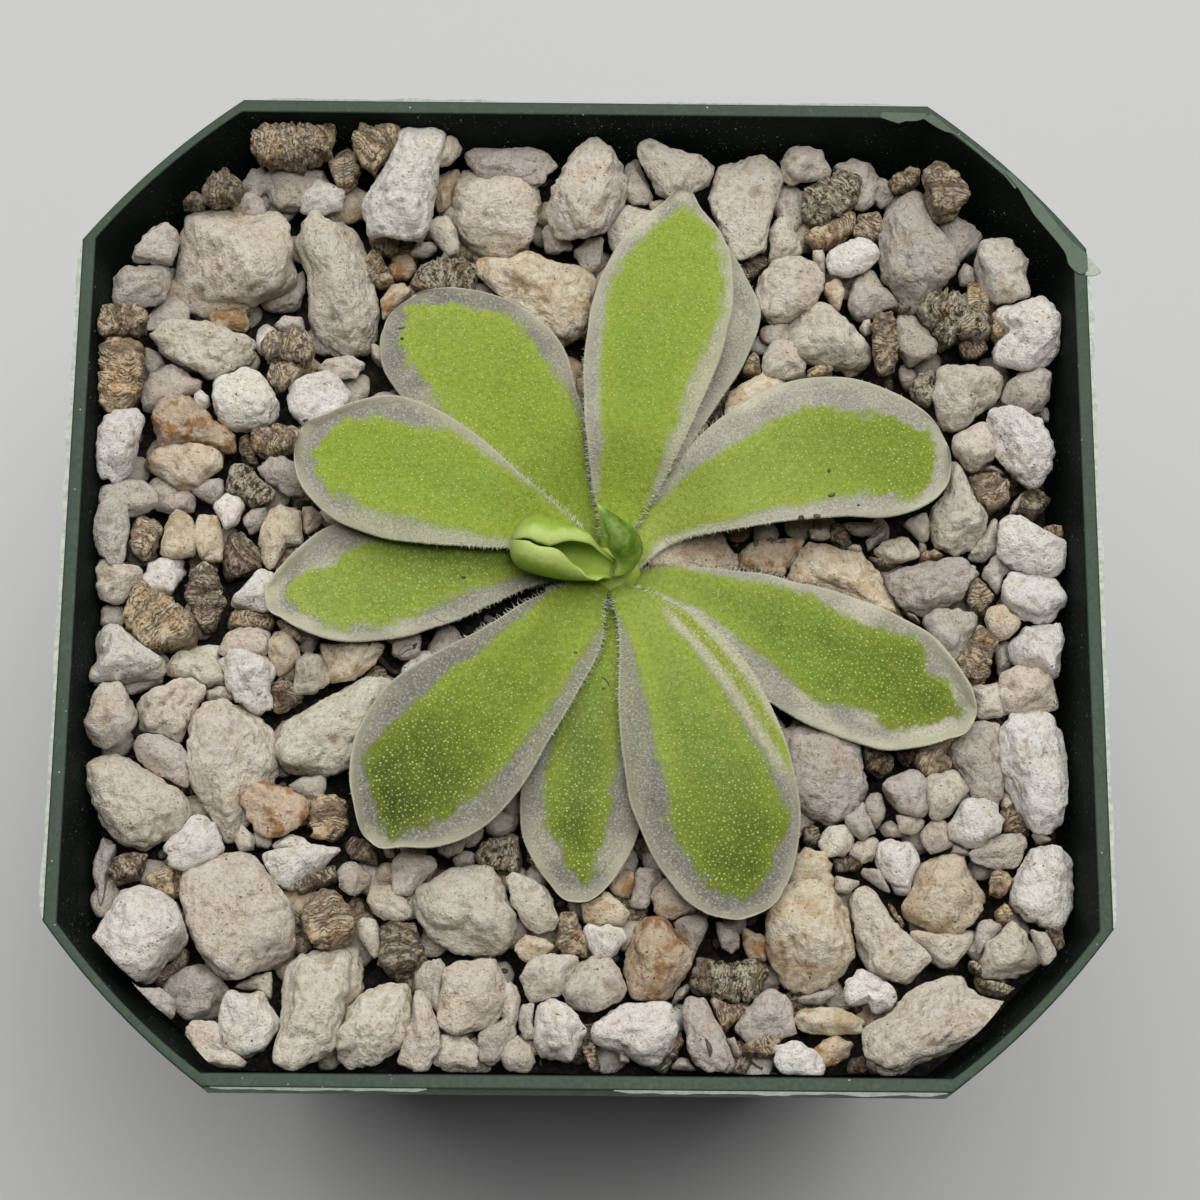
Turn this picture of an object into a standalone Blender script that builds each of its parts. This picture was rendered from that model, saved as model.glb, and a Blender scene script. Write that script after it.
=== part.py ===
"""A butterwort growing in a square plastic nursery pot.

Metres, +Z up. The origin is the middle of the pot's resting face, and -Y is the side
that the photograph shows nearest. The pot is filled with pumice and vermiculite, and a
rosette of ten grown leaves and two young ones stands on a short crown in the middle.
"""
import math
import random
from collections import namedtuple

import bmesh
import bpy
from mathutils import Matrix, Vector, noise
from mathutils.bvhtree import BVHTree

# Sizes are in millimetres, and meshes are made in metres.
MM = 0.001
GAP = 0.35

# Pot
POT_WIDTH = 89.0
POT_HEIGHT = 80.0
BASE_WIDTH = 61.0
CORNER_CUT = 13.8
CORNER_BOW = 0.7
CORNER_STEPS = 4
COLLAR_HEIGHT = 4.4
COLLAR_STEP = 0.9
COLLAR_DRAFT = 0.2
COLLAR_UNDERCUT = 0.3
WALL = 1.1
FOOT_RING = 6.0
FOOT_ROUND = 0.6
FOOT_RECESS = 0.8
FLOOR_TOP = 2.2
DRAIN_RADIUS = 3.6
DRAIN_DISTANCE = 15.5
DRAIN_SIDES = 16

# Growing mix
BED_TOP = POT_HEIGHT - 9.2
STONE_ROOT = 1.5
STONE_FLATNESS = 0.72
STONE_ROUGHNESS = 0.16
BIG_STONE = 9.0
SWELL_FINE = 1.05
SWELL_PLAIN = 1.2
STONE_STEP = 0.0037
LOOSE_PITCH = 5.4
LOOSE_SPREAD = (0.2, 0.8)
LOOSE_SPACE = 0.7
LOOSE_COVER = 0.21
LOOSE_LENGTH = (4.4, 6.4)
LOOSE_FLATNESS = (0.7, 0.95)
LOOSE_DEPTH = (5.6, 7.2)
SIDE_MARGIN = 4.0
CORNER_MARGIN = 6.0
CROWN_MARGIN = 3.0
LEAF_CLEARANCE = 0.55
CEILING_REACH = 1.4
SEED = 7

# Crown, the short stem that carries the leaves
CROWN = (2.5, 2.5)
CROWN_RADIUS = 2.6
CROWN_TOP = POT_HEIGHT - 5.1
CROWN_SHOULDER = 1.1
CROWN_FOOT = POT_HEIGHT - 19.0
CROWN_FOOT_TAPER = 3.0
CROWN_FOOT_RADIUS = CROWN_RADIUS * 0.55
CROWN_SIDES = 20
CROWN_HOLE_DEPTH = 40.0

# The photograph was taken from here. What was read off it at one height lies a little
# nearer or further along the same line of sight at another height.
EYE = (0.3, -89.1, POT_HEIGHT + 271.9)
LEAF_READING = POT_HEIGHT - 5.0
STONE_READING = POT_HEIGHT - 8.0

# Leaves: the half widths are read across the leaf at these shares of its length, from
# the middle of the crown, to the left and to the right of someone looking outwards.
SHARES = (0.08, 0.2, 0.35, 0.5, 0.65, 0.8, 0.9, 0.96)
STATIONS = (0.17, 0.26, 0.36, 0.47, 0.58, 0.69, 0.79, 0.87, 0.93, 0.97, 1.0)
ACROSS = (-1.0, -0.78, -0.4, 0.0, 0.4, 0.78, 1.0)
TIP_HALF_WIDTH = 0.35
MIDDLE_THICKNESS = 0.95
EDGE_THICKNESS = 0.65
RISE = (3.0, 13.5)
Leaf = namedtuple("Leaf", "name azimuth length left right tip base middle end cup_left cup_right")
UPPER, UPPER_MIDDLE = POT_HEIGHT - 5.8, POT_HEIGHT - 2.8
LOWER, LOWER_MIDDLE = POT_HEIGHT - 7.6, POT_HEIGHT - 4.6
LEAVES = (
    Leaf("leaf_north", 80, 36.4, (1.4, 3.0, 4.6, 5.8, 6.0, 5.1, 3.2, 1.4),
         (1.4, 2.9, 4.45, 5.7, 6.4, 5.9, 4.1, 1.8), 0.1, UPPER, UPPER_MIDDLE, -0.9, 0.5, 0.3),
    Leaf("leaf_north_under", 75, 33.0, (1.1, 2.4, 4.2, 5.6, 6.5, 6.0, 4.4, 2.6),
         (1.1, 2.5, 3.6, 5.05, 6.45, 6.7, 4.4, 2.5), 0.0, LOWER, LOWER_MIDDLE, -0.6, 0.0, 0.2),
    Leaf("leaf_northwest", 123, 30.8, (1.1, 2.3, 4.0, 5.5, 6.9, 7.3, 6.7, 5.2),
         (1.1, 2.3, 4.6, 6.3, 7.4, 6.4, 4.2, 2.2), -1.2, LOWER, LOWER_MIDDLE, -0.2, 0.1, 0.3),
    Leaf("leaf_west", 156, 30.0, (1.3, 1.6, 3.1, 4.9, 6.2, 6.35, 5.3, 3.6),
         (1.4, 2.9, 4.3, 5.8, 6.7, 6.3, 4.1, 2.0), 0.0, UPPER, UPPER_MIDDLE, 0.5, 0.7, 0.4),
    Leaf("leaf_west_under", 185, 30.2, (1.1, 1.3, 2.9, 4.5, 5.3, 5.2, 4.1, 2.8),
         (1.1, 2.3, 4.0, 5.4, 6.1, 5.3, 3.2, 1.5), -0.7, LOWER, LOWER_MIDDLE, 0.3, 0.4, 0.0),
    Leaf("leaf_southwest", 231, 32.4, (1.6, 4.2, 5.35, 6.2, 6.95, 6.6, 4.8, 2.4),
         (1.5, 3.1, 4.8, 6.7, 7.9, 7.0, 5.0, 2.7), -0.2, UPPER, UPPER_MIDDLE, 0.3, 0.3, 0.5),
    Leaf("leaf_south_under", 265, 30.4, (1.1, 2.1, 3.2, 4.2, 4.8, 4.5, 3.4, 2.2),
         (1.1, 2.2, 3.6, 4.9, 5.7, 5.4, 3.9, 2.3), 0.1, LOWER, LOWER_MIDDLE, -0.5, 0.0, 0.0),
    Leaf("leaf_south", 289, 33.6, (1.6, 5.6, 8.1, 9.0, 9.1, 8.1, 6.4, 4.6),
         (0.9, 1.5, 3.3, 4.6, 5.3, 4.8, 3.7, 2.2), -0.9, UPPER, UPPER_MIDDLE, -0.3, 0.2, 0.4),
    Leaf("leaf_east_under", 337, 34.4, (1.1, 2.7, 4.3, 5.3, 5.7, 5.2, 3.5, 2.0),
         (1.1, 2.7, 4.8, 6.0, 6.6, 6.3, 4.8, 3.1), 0.7, LOWER, LOWER_MIDDLE, 0.4, 0.3, 0.3),
    Leaf("leaf_east", 20, 31.8, (1.4, 4.5, 8.4, 10.3, 10.9, 9.6, 7.2, 4.9),
         (1.0, 0.9, 0.7, 1.45, 2.8, 4.3, 4.1, 2.9), -0.6, UPPER, UPPER_MIDDLE, 0.2, 0.2, 0.9),
)

# Young leaves: base and tip, radius of the roll, half angle that it wraps round, and
# the way its open side faces.
YoungLeaf = namedtuple("YoungLeaf", "name base tip radius wrap opening")
YOUNG_THICKNESS = 0.6
YOUNG_NARROWEST = 0.62
YOUNG_FULLNESS = 1.15
YOUNG_NARROWING = 0.72
YOUNG_ARCH = 0.5
YOUNG_STATIONS = 7
YOUNG_ACROSS = 9
YOUNG_LEAVES = (
    YoungLeaf("leaf_young_rolled", (1.9, 2.5, POT_HEIGHT - 3.7), (-6.3, 3.6, POT_HEIGHT - 1.2),
              1.75, 115, (0.1, -0.15, 1.0)),
    YoungLeaf("leaf_young_pointed", (3.9, 2.2, POT_HEIGHT - 4.05), (1.4, 6.7, POT_HEIGHT - 0.9),
              1.25, 95, (0.75, 0.65, 0.2)),
)

# Stones and chips that stand out in the photograph: place of the middle, length, width,
# turn of the length in degrees, and depth of the top under the rim.
STONES = (
    (-16.5, 40.5, 12.5, 6.5, 75, 3.0), (-8.3, 37.7, 9.3, 9.1, 0, 4.2), (-6.8, 42.3, 9.0, 4.0, 0, 6.0),
    (0.0, 40.3, 10.5, 7.3, 90, 3.8), (-26.8, 43.4, 8.3, 4.0, 0, 4.6), (-28.0, 40.0, 6.0, 4.0, 0, 7.0),
    (-23.7, 38.7, 5.3, 4.2, 0, 6.0), (-31.7, 32.3, 11.0, 10.3, 0, 3.6), (-22.3, 30.3, 14.0, 7.5, 105, 3.9),
    (-39.0, 32.0, 5.4, 4.6, 60, 6.0), (-37.6, 27.2, 5.0, 4.0, 0, 6.8), (-34.2, 23.5, 9.6, 4.4, -20, 4.8),
    (-41.5, 21.3, 7.3, 4.2, 92, 4.9), (-27.0, 22.9, 6.2, 4.5, 100, 4.7), (-36.8, 20.2, 5.3, 3.6, 0, 6.3),
    (-30.3, 18.5, 6.3, 6.2, 0, 4.7), (-24.3, 19.0, 5.2, 4.6, 90, 4.9), (-35.2, 14.6, 8.6, 7.8, 80, 4.2),
    (-41.2, 14.2, 7.0, 4.2, 80, 4.9), (-27.3, 13.6, 5.4, 4.6, -30, 5.2), (-38.7, 9.5, 8.0, 3.4, 0, 6.6),
    (-41.1, 6.0, 6.6, 3.8, 95, 5.1), (-35.5, 5.9, 7.2, 4.6, 0, 5.1), (-26.3, 6.3, 6.0, 3.8, 95, 4.9),
    (-4.0, 29.3, 11.0, 8.5, -20, 4.6), (-12.3, 31.0, 6.0, 4.0, 0, 5.0), (8.2, 42.0, 7.5, 5.5, -30, 4.2),
    (14.8, 38.3, 10.8, 6.8, 80, 3.9), (22.3, 40.0, 6.0, 4.4, 60, 4.9), (26.0, 40.6, 5.2, 3.6, 90, 5.5),
    (32.8, 40.2, 5.6, 4.2, 110, 4.9), (22.8, 36.3, 5.6, 3.2, 35, 5.1), (24.4, 33.2, 5.3, 3.8, 15, 4.8),
    (30.0, 33.8, 12.0, 6.2, 105, 3.5), (37.7, 32.4, 6.3, 5.0, 90, 4.8), (18.6, 30.2, 7.0, 6.4, 30, 4.3),
    (33.4, 27.4, 7.0, 6.0, -20, 4.5), (22.2, 25.8, 8.3, 5.0, -35, 4.4), (27.2, 25.0, 6.8, 3.0, 92, 4.8),
    (40.2, 26.0, 7.2, 6.4, 70, 4.2), (34.6, 20.1, 6.7, 6.5, 0, 4.5), (40.1, 21.0, 4.9, 4.6, 0, 5.2),
    (39.2, 15.3, 8.2, 5.8, 122, 4.3), (33.2, 8.0, 7.2, 5.8, -10, 4.8), (40.2, 5.7, 6.8, 4.6, -35, 4.6),
    (22.5, 3.0, 10.5, 5.5, -30, 5.3), (10.2, 4.8, 7.5, 4.5, -10, 6.8), (30.6, 2.4, 8.0, 4.8, 15, 4.8),
    (40.0, 1.2, 5.6, 4.6, 0, 4.9), (-36.7, -2.2, 7.0, 5.2, -20, 4.3), (-39.8, -5.8, 7.5, 5.5, -30, 4.7),
    (-29.2, -6.2, 6.6, 4.6, -60, 4.8), (-21.7, -11.3, 10.3, 8.5, 20, 4.6), (-40.7, -10.8, 5.8, 5.0, 90, 4.9),
    (-35.7, -9.9, 6.2, 5.0, 15, 4.8), (-30.2, -15.4, 13.0, 8.3, 100, 4.0), (-36.2, -14.9, 6.8, 4.0, -40, 4.9),
    (-38.2, -18.4, 10.5, 7.3, -30, 4.1), (-26.1, -19.0, 5.3, 4.7, 0, 4.6), (-33.0, -22.0, 5.2, 4.9, 40, 4.9),
    (-24.2, -23.5, 6.5, 3.0, 10, 4.8), (-37.4, -30.1, 8.6, 8.6, 0, 3.9), (-29.0, -28.6, 12.0, 9.6, 110, 3.8),
    (-21.5, -28.4, 5.4, 4.6, 90, 4.6), (-9.8, -27.8, 9.2, 7.8, -5, 4.0), (-34.0, -35.4, 7.0, 4.6, 0, 5.9),
    (-28.0, -37.5, 5.9, 4.7, 85, 4.8), (-31.0, -39.4, 6.0, 4.2, -25, 5.2), (-21.8, -36.1, 12.0, 8.0, 75, 4.0),
    (-17.0, -37.6, 7.2, 6.4, 60, 4.2), (-13.2, -38.6, 6.2, 3.6, 105, 5.2), (-9.2, -35.2, 6.8, 5.5, 70, 4.4),
    (-4.2, -27.3, 6.0, 3.8, -55, 5.0), (-1.3, -38.0, 5.6, 4.8, 90, 4.8), (5.0, -38.2, 8.0, 5.0, -10, 4.4),
    (7.0, -31.7, 7.3, 5.9, 70, 4.4), (12.8, -33.0, 7.0, 4.3, -10, 4.6), (11.0, -38.2, 7.5, 4.0, 110, 4.6),
    (15.9, -37.0, 5.2, 5.0, 0, 4.9), (19.3, -29.1, 10.6, 9.8, 90, 3.7), (21.3, -37.0, 6.0, 2.6, -3, 5.0),
    (30.3, -37.0, 13.0, 7.6, 20, 4.0), (26.3, -29.4, 9.5, 5.5, -55, 4.3), (31.2, -25.8, 7.4, 7.0, -20, 4.1),
    (37.4, -30.8, 6.5, 4.6, 10, 4.6), (39.7, -25.0, 7.4, 6.0, 80, 4.4), (39.6, -14.8, 11.0, 5.6, 100, 4.2),
    (34.8, -14.0, 7.8, 5.0, 110, 4.9), (22.2, -15.4, 9.5, 6.6, 100, 4.7), (36.2, -3.4, 8.2, 3.4, 65, 4.8),
    (31.9, -2.8, 5.2, 4.6, 90, 5.0), (40.2, -4.1, 5.6, 4.9, 90, 4.8), (28.2, -17.6, 5.6, 4.0, 110, 5.0),
)

# Colours, as they look on screen, and roughness
POT_LOOK = ((62, 88, 68), 0.45)
MIX_LOOK = ((196, 186, 172), 0.9)
CROWN_LOOK = ((150, 165, 85), 0.5)
LEAF_LOOK = ((150, 180, 82), 0.35)
YOUNG_LOOK = ((176, 203, 105), 0.4)


def smoothstep(low, high, value):
    share = min(max((value - low) / (high - low), 0.0), 1.0)
    return share * share * (3.0 - 2.0 * share)


def between(a, b, share):
    return a + (b - a) * share


def remove_all():
    for obj in list(bpy.data.objects):
        bpy.data.objects.remove(obj, do_unlink=True)


def material(name, look):
    """A plain Principled material from a screen colour and a roughness."""
    screen, roughness = look
    linear = [(value / 255.0) ** 2.2 for value in screen]
    made = bpy.data.materials.new(name)
    made.use_nodes = True
    shader = made.node_tree.nodes["Principled BSDF"]
    shader.inputs["Base Color"].default_value = (*linear, 1.0)
    shader.inputs["Roughness"].default_value = roughness
    shader.inputs["Metallic"].default_value = 0.0
    return made


def object_from(bm, name, look=None):
    """Turn a bmesh in millimetres into an object in metres."""
    bmesh.ops.recalc_face_normals(bm, faces=bm.faces)
    if bm.calc_volume(signed=True) < 0:
        bmesh.ops.reverse_faces(bm, faces=bm.faces)
    bmesh.ops.scale(bm, vec=(MM, MM, MM), verts=bm.verts)
    mesh = bpy.data.meshes.new(name)
    bm.to_mesh(mesh)
    bm.free()
    made = bpy.data.objects.new(name, mesh)
    bpy.context.scene.collection.objects.link(made)
    if look:
        mesh.materials.append(material(name, look))
    return made


def cutter_from(bm, name):
    made = object_from(bm, name)
    made.hide_render = True
    made.display_type = "WIRE"
    return made


def cut(obj, cutter, name):
    modifier = obj.modifiers.new(name, "BOOLEAN")
    modifier.operation = "DIFFERENCE"
    modifier.object = cutter


def from_photo(x, y, reading, z):
    """Where a point read off at one height lies if it is at height z."""
    nearer = (EYE[2] - z) / (EYE[2] - reading)
    return between(EYE[0], x, nearer), between(EYE[1], y, nearer)


# The pot's shape: a square with bowed corner cuts, which tapers to its base

def wall_half(z):
    """Half width of the wall's outside under the collar, carried on up to the rim."""
    collar_foot = POT_HEIGHT - COLLAR_HEIGHT
    return between(BASE_WIDTH / 2, POT_WIDTH / 2 - COLLAR_STEP, z / collar_foot)


def corner_cut(half, inset=0.0):
    """The cut of a section's corners, inset evenly from an outside of this half width."""
    return CORNER_CUT * half / (POT_WIDTH / 2) - inset * (2.0 - math.sqrt(2.0))


def ring(half, z, inset=0.0):
    """Points round a section of the pot, counter-clockwise seen from above."""
    inner = half - inset
    cut_length = corner_cut(half, inset)
    bow = CORNER_BOW * cut_length / CORNER_CUT
    points = []
    for quarter in range(4):
        turn = Matrix.Rotation(quarter * math.pi / 2, 3, "Z")
        for step in range(CORNER_STEPS + 1):
            share = step / CORNER_STEPS
            out = bow * 4.0 * share * (1.0 - share) / math.sqrt(2.0)
            point = Vector((inner - cut_length * share + out, inner - cut_length * (1.0 - share) + out, z))
            points.append(turn @ point)
    return points


def loft(bm, rings):
    """Skin a stack of rings with the same number of points, and close both ends."""
    loops = [[bm.verts.new(point) for point in points] for points in rings]
    count = len(loops[0])
    for low, high in zip(loops, loops[1:]):
        for i in range(count):
            j = (i + 1) % count
            bm.faces.new((low[i], low[j], high[j], high[i]))
    bm.faces.new(reversed(loops[0]))
    bm.faces.new(loops[-1])


def make_pot():
    base_half = BASE_WIDTH / 2
    rim_half = POT_WIDTH / 2
    collar_foot = POT_HEIGHT - COLLAR_HEIGHT
    bm = bmesh.new()
    loft(bm, [
        ring(base_half, FOOT_RECESS, FOOT_RING),
        ring(base_half, 0.0, FOOT_RING),
        ring(base_half - FOOT_ROUND, 0.0),
        ring(wall_half(FOOT_ROUND), FOOT_ROUND),
        ring(wall_half(collar_foot), collar_foot),
        ring(rim_half - COLLAR_DRAFT, collar_foot + COLLAR_UNDERCUT),
        ring(rim_half, POT_HEIGHT),
        ring(wall_half(POT_HEIGHT), POT_HEIGHT, WALL),
        ring(wall_half(FLOOR_TOP), FLOOR_TOP, WALL),
    ])
    pot = object_from(bm, "pot", POT_LOOK)

    bm = bmesh.new()
    places = [(0.0, 0.0)]
    places += [(a * DRAIN_DISTANCE, b * DRAIN_DISTANCE) for a in (-1, 1) for b in (-1, 1)]
    for x, y in places:
        bmesh.ops.create_cone(bm, cap_ends=True, segments=DRAIN_SIDES, radius1=DRAIN_RADIUS,
                              radius2=DRAIN_RADIUS, depth=4 * FLOOR_TOP,
                              matrix=Matrix.Translation((x, y, 0.0)))
    cut(pot, cutter_from(bm, "drain_cutter"), "drain holes")
    return pot


# Blades: two like grids of points, one above the other, split along the same diagonals

def add_slab(bm, top, bottom):
    grids = [[[bm.verts.new(point) for point in row] for row in grid] for grid in (top, bottom)]
    rows, columns = len(top), len(top[0])
    for grid in grids:
        for i in range(rows - 1):
            for j in range(columns - 1):
                a, b = grid[i][j], grid[i + 1][j]
                c, d = grid[i + 1][j + 1], grid[i][j + 1]
                bm.faces.new((a, b, c))
                bm.faces.new((a, c, d))
    edge = [(i, 0) for i in range(rows)] + [(rows - 1, j) for j in range(1, columns)]
    edge += [(i, columns - 1) for i in range(rows - 2, -1, -1)] + [(0, j) for j in range(columns - 2, 0, -1)]
    upper, lower = grids
    for (i, j), (k, m) in zip(edge, edge[1:] + edge[:1]):
        bm.faces.new((upper[i][j], lower[i][j], lower[k][m]))
        bm.faces.new((upper[i][j], lower[k][m], upper[k][m]))


def width_at(widths, share):
    """A half width, smooth between the values read off and rounded off at the tip."""
    def along(value):
        return math.asin(min(value, 1.0)) * 2.0 / math.pi
    stops = [along(value) for value in SHARES + (1.0,)]
    values = list(widths) + [TIP_HALF_WIDTH]
    place = min(max(along(share), stops[0]), 1.0)
    index = max(i for i, stop in enumerate(stops[:-1]) if stop <= place)
    share_here = (place - stops[index]) / (stops[index + 1] - stops[index])

    def slope(i):
        low, high = max(i - 1, 0), min(i + 1, len(stops) - 1)
        return (values[high] - values[low]) / (stops[high] - stops[low])
    span = stops[index + 1] - stops[index]
    s, s2, s3 = share_here, share_here ** 2, share_here ** 3
    return ((2 * s3 - 3 * s2 + 1) * values[index] + (s3 - 2 * s2 + s) * span * slope(index)
            + (3 * s2 - 2 * s3) * values[index + 1] + (s3 - s2) * span * slope(index + 1))


def leaf_height(leaf, reach, share, side):
    """Height of the blade's middle layer: it climbs from the crown and lies out flat."""
    height = between(leaf.base, leaf.middle, smoothstep(*RISE, reach))
    height += leaf.end * smoothstep(0.5, 1.0, share)
    cup = leaf.cup_left if side < 0 else leaf.cup_right
    return height + cup * abs(side) ** 2 * smoothstep(0.1, 0.35, share)


def leaf_point(leaf, share, side):
    """A point of the middle layer: share along the leaf, side from -1 left to 1 right."""
    azimuth = math.radians(leaf.azimuth)
    out = Vector((math.cos(azimuth), math.sin(azimuth)))
    across = Vector((out.y, -out.x))
    left, right = width_at(leaf.left, share), width_at(leaf.right, share)
    bend = leaf.tip * smoothstep(0.8, 1.0, share)
    offset = between(-left, right, (side + 1) / 2)
    if share > SHARES[-1]:
        offset += bend * (share - SHARES[-1]) / (1.0 - SHARES[-1])
    flat = Vector(CROWN) + out * (leaf.length * share) + across * offset
    height = leaf_height(leaf, leaf.length * share, share, side)
    moved = Vector(from_photo(flat.x, flat.y, LEAF_READING, height))
    place = flat.lerp(moved, smoothstep(0.08, 0.35, share))
    return Vector((place.x, place.y, height))


def make_leaf(leaf):
    first = (CROWN_RADIUS + GAP) / leaf.length
    top, bottom = [], []
    for share in (first,) + STATIONS:
        points = [leaf_point(leaf, share, side) for side in ACROSS]
        halves = [between(MIDDLE_THICKNESS, EDGE_THICKNESS, side ** 2) / 2 for side in ACROSS]
        top.append([point + Vector((0, 0, half)) for point, half in zip(points, halves)])
        bottom.append([point - Vector((0, 0, half)) for point, half in zip(points, halves)])
    bm = bmesh.new()
    add_slab(bm, top, bottom)
    return object_from(bm, leaf.name, LEAF_LOOK)


def make_young_leaf(leaf):
    """A blade rolled up along its length, like a narrow boat with its margins turned in."""
    base, tip = Vector(leaf.base), Vector(leaf.tip)
    along = (tip - base).normalized()
    side = along.cross(Vector(leaf.opening)).normalized()
    back = along.cross(side).normalized()
    outside, inside = [], []
    for i in range(YOUNG_STATIONS):
        share = i / (YOUNG_STATIONS - 1)
        fullness = math.sin(math.pi * min(share * YOUNG_FULLNESS, 1.0))
        radius = leaf.radius * between(YOUNG_NARROWEST, 1.0, fullness)
        radius *= math.sqrt(1.0 - YOUNG_NARROWING * share ** 3)
        middle = base.lerp(tip, share)
        middle.z += YOUNG_ARCH * math.sin(math.pi * share)
        rows = ([], [])
        for j in range(YOUNG_ACROSS):
            angle = math.radians(leaf.wrap) * (2.0 * j / (YOUNG_ACROSS - 1) - 1.0)
            outward = back * math.cos(angle) + side * math.sin(angle)
            rows[0].append(middle + outward * radius)
            rows[1].append(middle + outward * (radius - YOUNG_THICKNESS))
        outside.append(rows[0])
        inside.append(rows[1])
    bm = bmesh.new()
    add_slab(bm, outside, inside)
    return object_from(bm, leaf.name, YOUNG_LOOK)


def crown_profile():
    """Radius and height from the foot to the top, with a rounded shoulder."""
    yield CROWN_FOOT_RADIUS, CROWN_FOOT
    yield CROWN_RADIUS, CROWN_FOOT + CROWN_FOOT_TAPER
    for step in range(4):
        angle = step * math.pi / 6
        radius = CROWN_RADIUS - CROWN_SHOULDER * (1.0 - math.cos(angle))
        yield radius, CROWN_TOP - CROWN_SHOULDER * (1.0 - math.sin(angle))


def make_crown():
    rings = []
    for radius, z in crown_profile():
        angles = [2.0 * math.pi * i / CROWN_SIDES for i in range(CROWN_SIDES)]
        rings.append([Vector((CROWN[0] + radius * math.cos(a), CROWN[1] + radius * math.sin(a), z))
                      for a in angles])
    bm = bmesh.new()
    loft(bm, rings)
    return object_from(bm, "crown", CROWN_LOOK)


# Growing mix: a bed that fills the pot, with stones fused into its top

def ceiling_over(leaves):
    """A function that gives the lowest leaf above a place, and looks a little way round."""
    trees = []
    for leaf in leaves:
        points = [vertex.co / MM for vertex in leaf.data.vertices]
        trees.append(BVHTree.FromPolygons(points, [face.vertices[:] for face in leaf.data.polygons]))
    turns = [Vector((0, 0, 0))]
    turns += [Matrix.Rotation(k * math.pi / 4, 3, "Z") @ Vector((CEILING_REACH, 0, 0)) for k in range(8)]

    def ceiling(x, y):
        lowest = POT_HEIGHT
        for turn in turns:
            start = Vector((x, y, BED_TOP - 5.0)) + turn
            for tree in trees:
                hit = tree.ray_cast(start, Vector((0, 0, 1)))[0]
                if hit:
                    lowest = min(lowest, hit.z)
        return lowest
    return ceiling


def inside_pot(point, clearance):
    """Move a point in from the pot's inner wall, keeping it this far clear."""
    half = wall_half(point.z) - WALL - clearance
    point.x = min(max(point.x, -half), half)
    point.y = min(max(point.y, -half), half)
    reach = 2.0 * half - corner_cut(half)
    over = abs(point.x) + abs(point.y) - reach
    if over > 0.0:
        point.x -= math.copysign(over / 2, point.x)
        point.y -= math.copysign(over / 2, point.y)


def make_stone(number, stone, ceiling):
    """A lump with few sides, which stands out of the bed and stays under the leaves."""
    x, y, length, width, turn, depth = stone
    top = POT_HEIGHT - depth
    fine = length >= BIG_STONE
    swell = SWELL_FINE if fine else SWELL_PLAIN
    height = max(STONE_FLATNESS * width, top - BED_TOP + STONE_ROOT)
    x, y = from_photo(x, y, STONE_READING, top - 0.3 * height)
    size = Vector((length, width, height)) * swell / 2
    spin = Matrix.Rotation(math.radians(turn), 3, "Z")
    bm = bmesh.new()
    bmesh.ops.create_icosphere(bm, subdivisions=2 if fine else 1, radius=1.0)
    own_clearance = STONE_STEP * number
    for vertex in bm.verts:
        lump = noise.noise(vertex.co * 1.3 + Vector((number * 3.7, 0.0, 0.0)))
        shape = vertex.co * (1.0 + STONE_ROUGHNESS * lump)
        point = spin @ Vector((shape.x * size.x, shape.y * size.y, shape.z * size.z))
        point += Vector((x, y, top - height / 2))
        inside_pot(point, GAP + own_clearance)
        point.z = min(point.z, ceiling(point.x, point.y) - LEAF_CLEARANCE - own_clearance)
        vertex.co = point
    bmesh.ops.delete(bm, geom=bm.edges[:], context="EDGES_FACES")
    hull = bmesh.ops.convex_hull(bm, input=bm.verts)
    left_inside = [item for item in hull["geom_interior"] if isinstance(item, bmesh.types.BMVert)]
    bmesh.ops.delete(bm, geom=left_inside, context="VERTS")
    return object_from(bm, f"stone_{number}")


def loose_stones(rng):
    """Small stones on a loose grid, where no listed stone already covers the place."""
    half = POT_WIDTH / 2 - SIDE_MARGIN
    count = int(2 * half / LOOSE_PITCH)
    for i in range(count):
        for j in range(count):
            x = (i + rng.uniform(*LOOSE_SPREAD)) * LOOSE_PITCH - half
            y = (j + rng.uniform(*LOOSE_SPREAD)) * LOOSE_PITCH - half
            length = rng.uniform(*LOOSE_LENGTH)
            depth = rng.uniform(*LOOSE_DEPTH)
            turn = rng.uniform(0.0, 180.0)
            covered = any(math.hypot(x - s[0], y - s[1]) < LOOSE_COVER * (s[2] + s[3]) + LOOSE_SPACE
                          for s in STONES)
            in_corner = abs(x) + abs(y) > POT_WIDTH - CORNER_CUT - CORNER_MARGIN
            at_crown = math.hypot(x - CROWN[0], y - CROWN[1]) < CROWN_RADIUS + CROWN_MARGIN
            if not (covered or in_corner or at_crown):
                yield x, y, length, length * rng.uniform(*LOOSE_FLATNESS), turn, depth


def keep_largest_shell(mesh):
    """Drop the small shells that fusing leaves: sealed hollows and loose scraps."""
    bm = bmesh.new()
    bm.from_mesh(mesh)
    shells = []
    waiting = set(bm.verts)
    while waiting:
        shell = []
        edge = [waiting.pop()]
        while edge:
            vertex = edge.pop()
            shell.append(vertex)
            for link in vertex.link_edges:
                other = link.other_vert(vertex)
                if other in waiting:
                    waiting.remove(other)
                    edge.append(other)
        shells.append(shell)
    shells.sort(key=len)
    for shell in shells[:-1]:
        bmesh.ops.delete(bm, geom=shell, context="VERTS")
    bm.to_mesh(mesh)
    bm.free()


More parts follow.
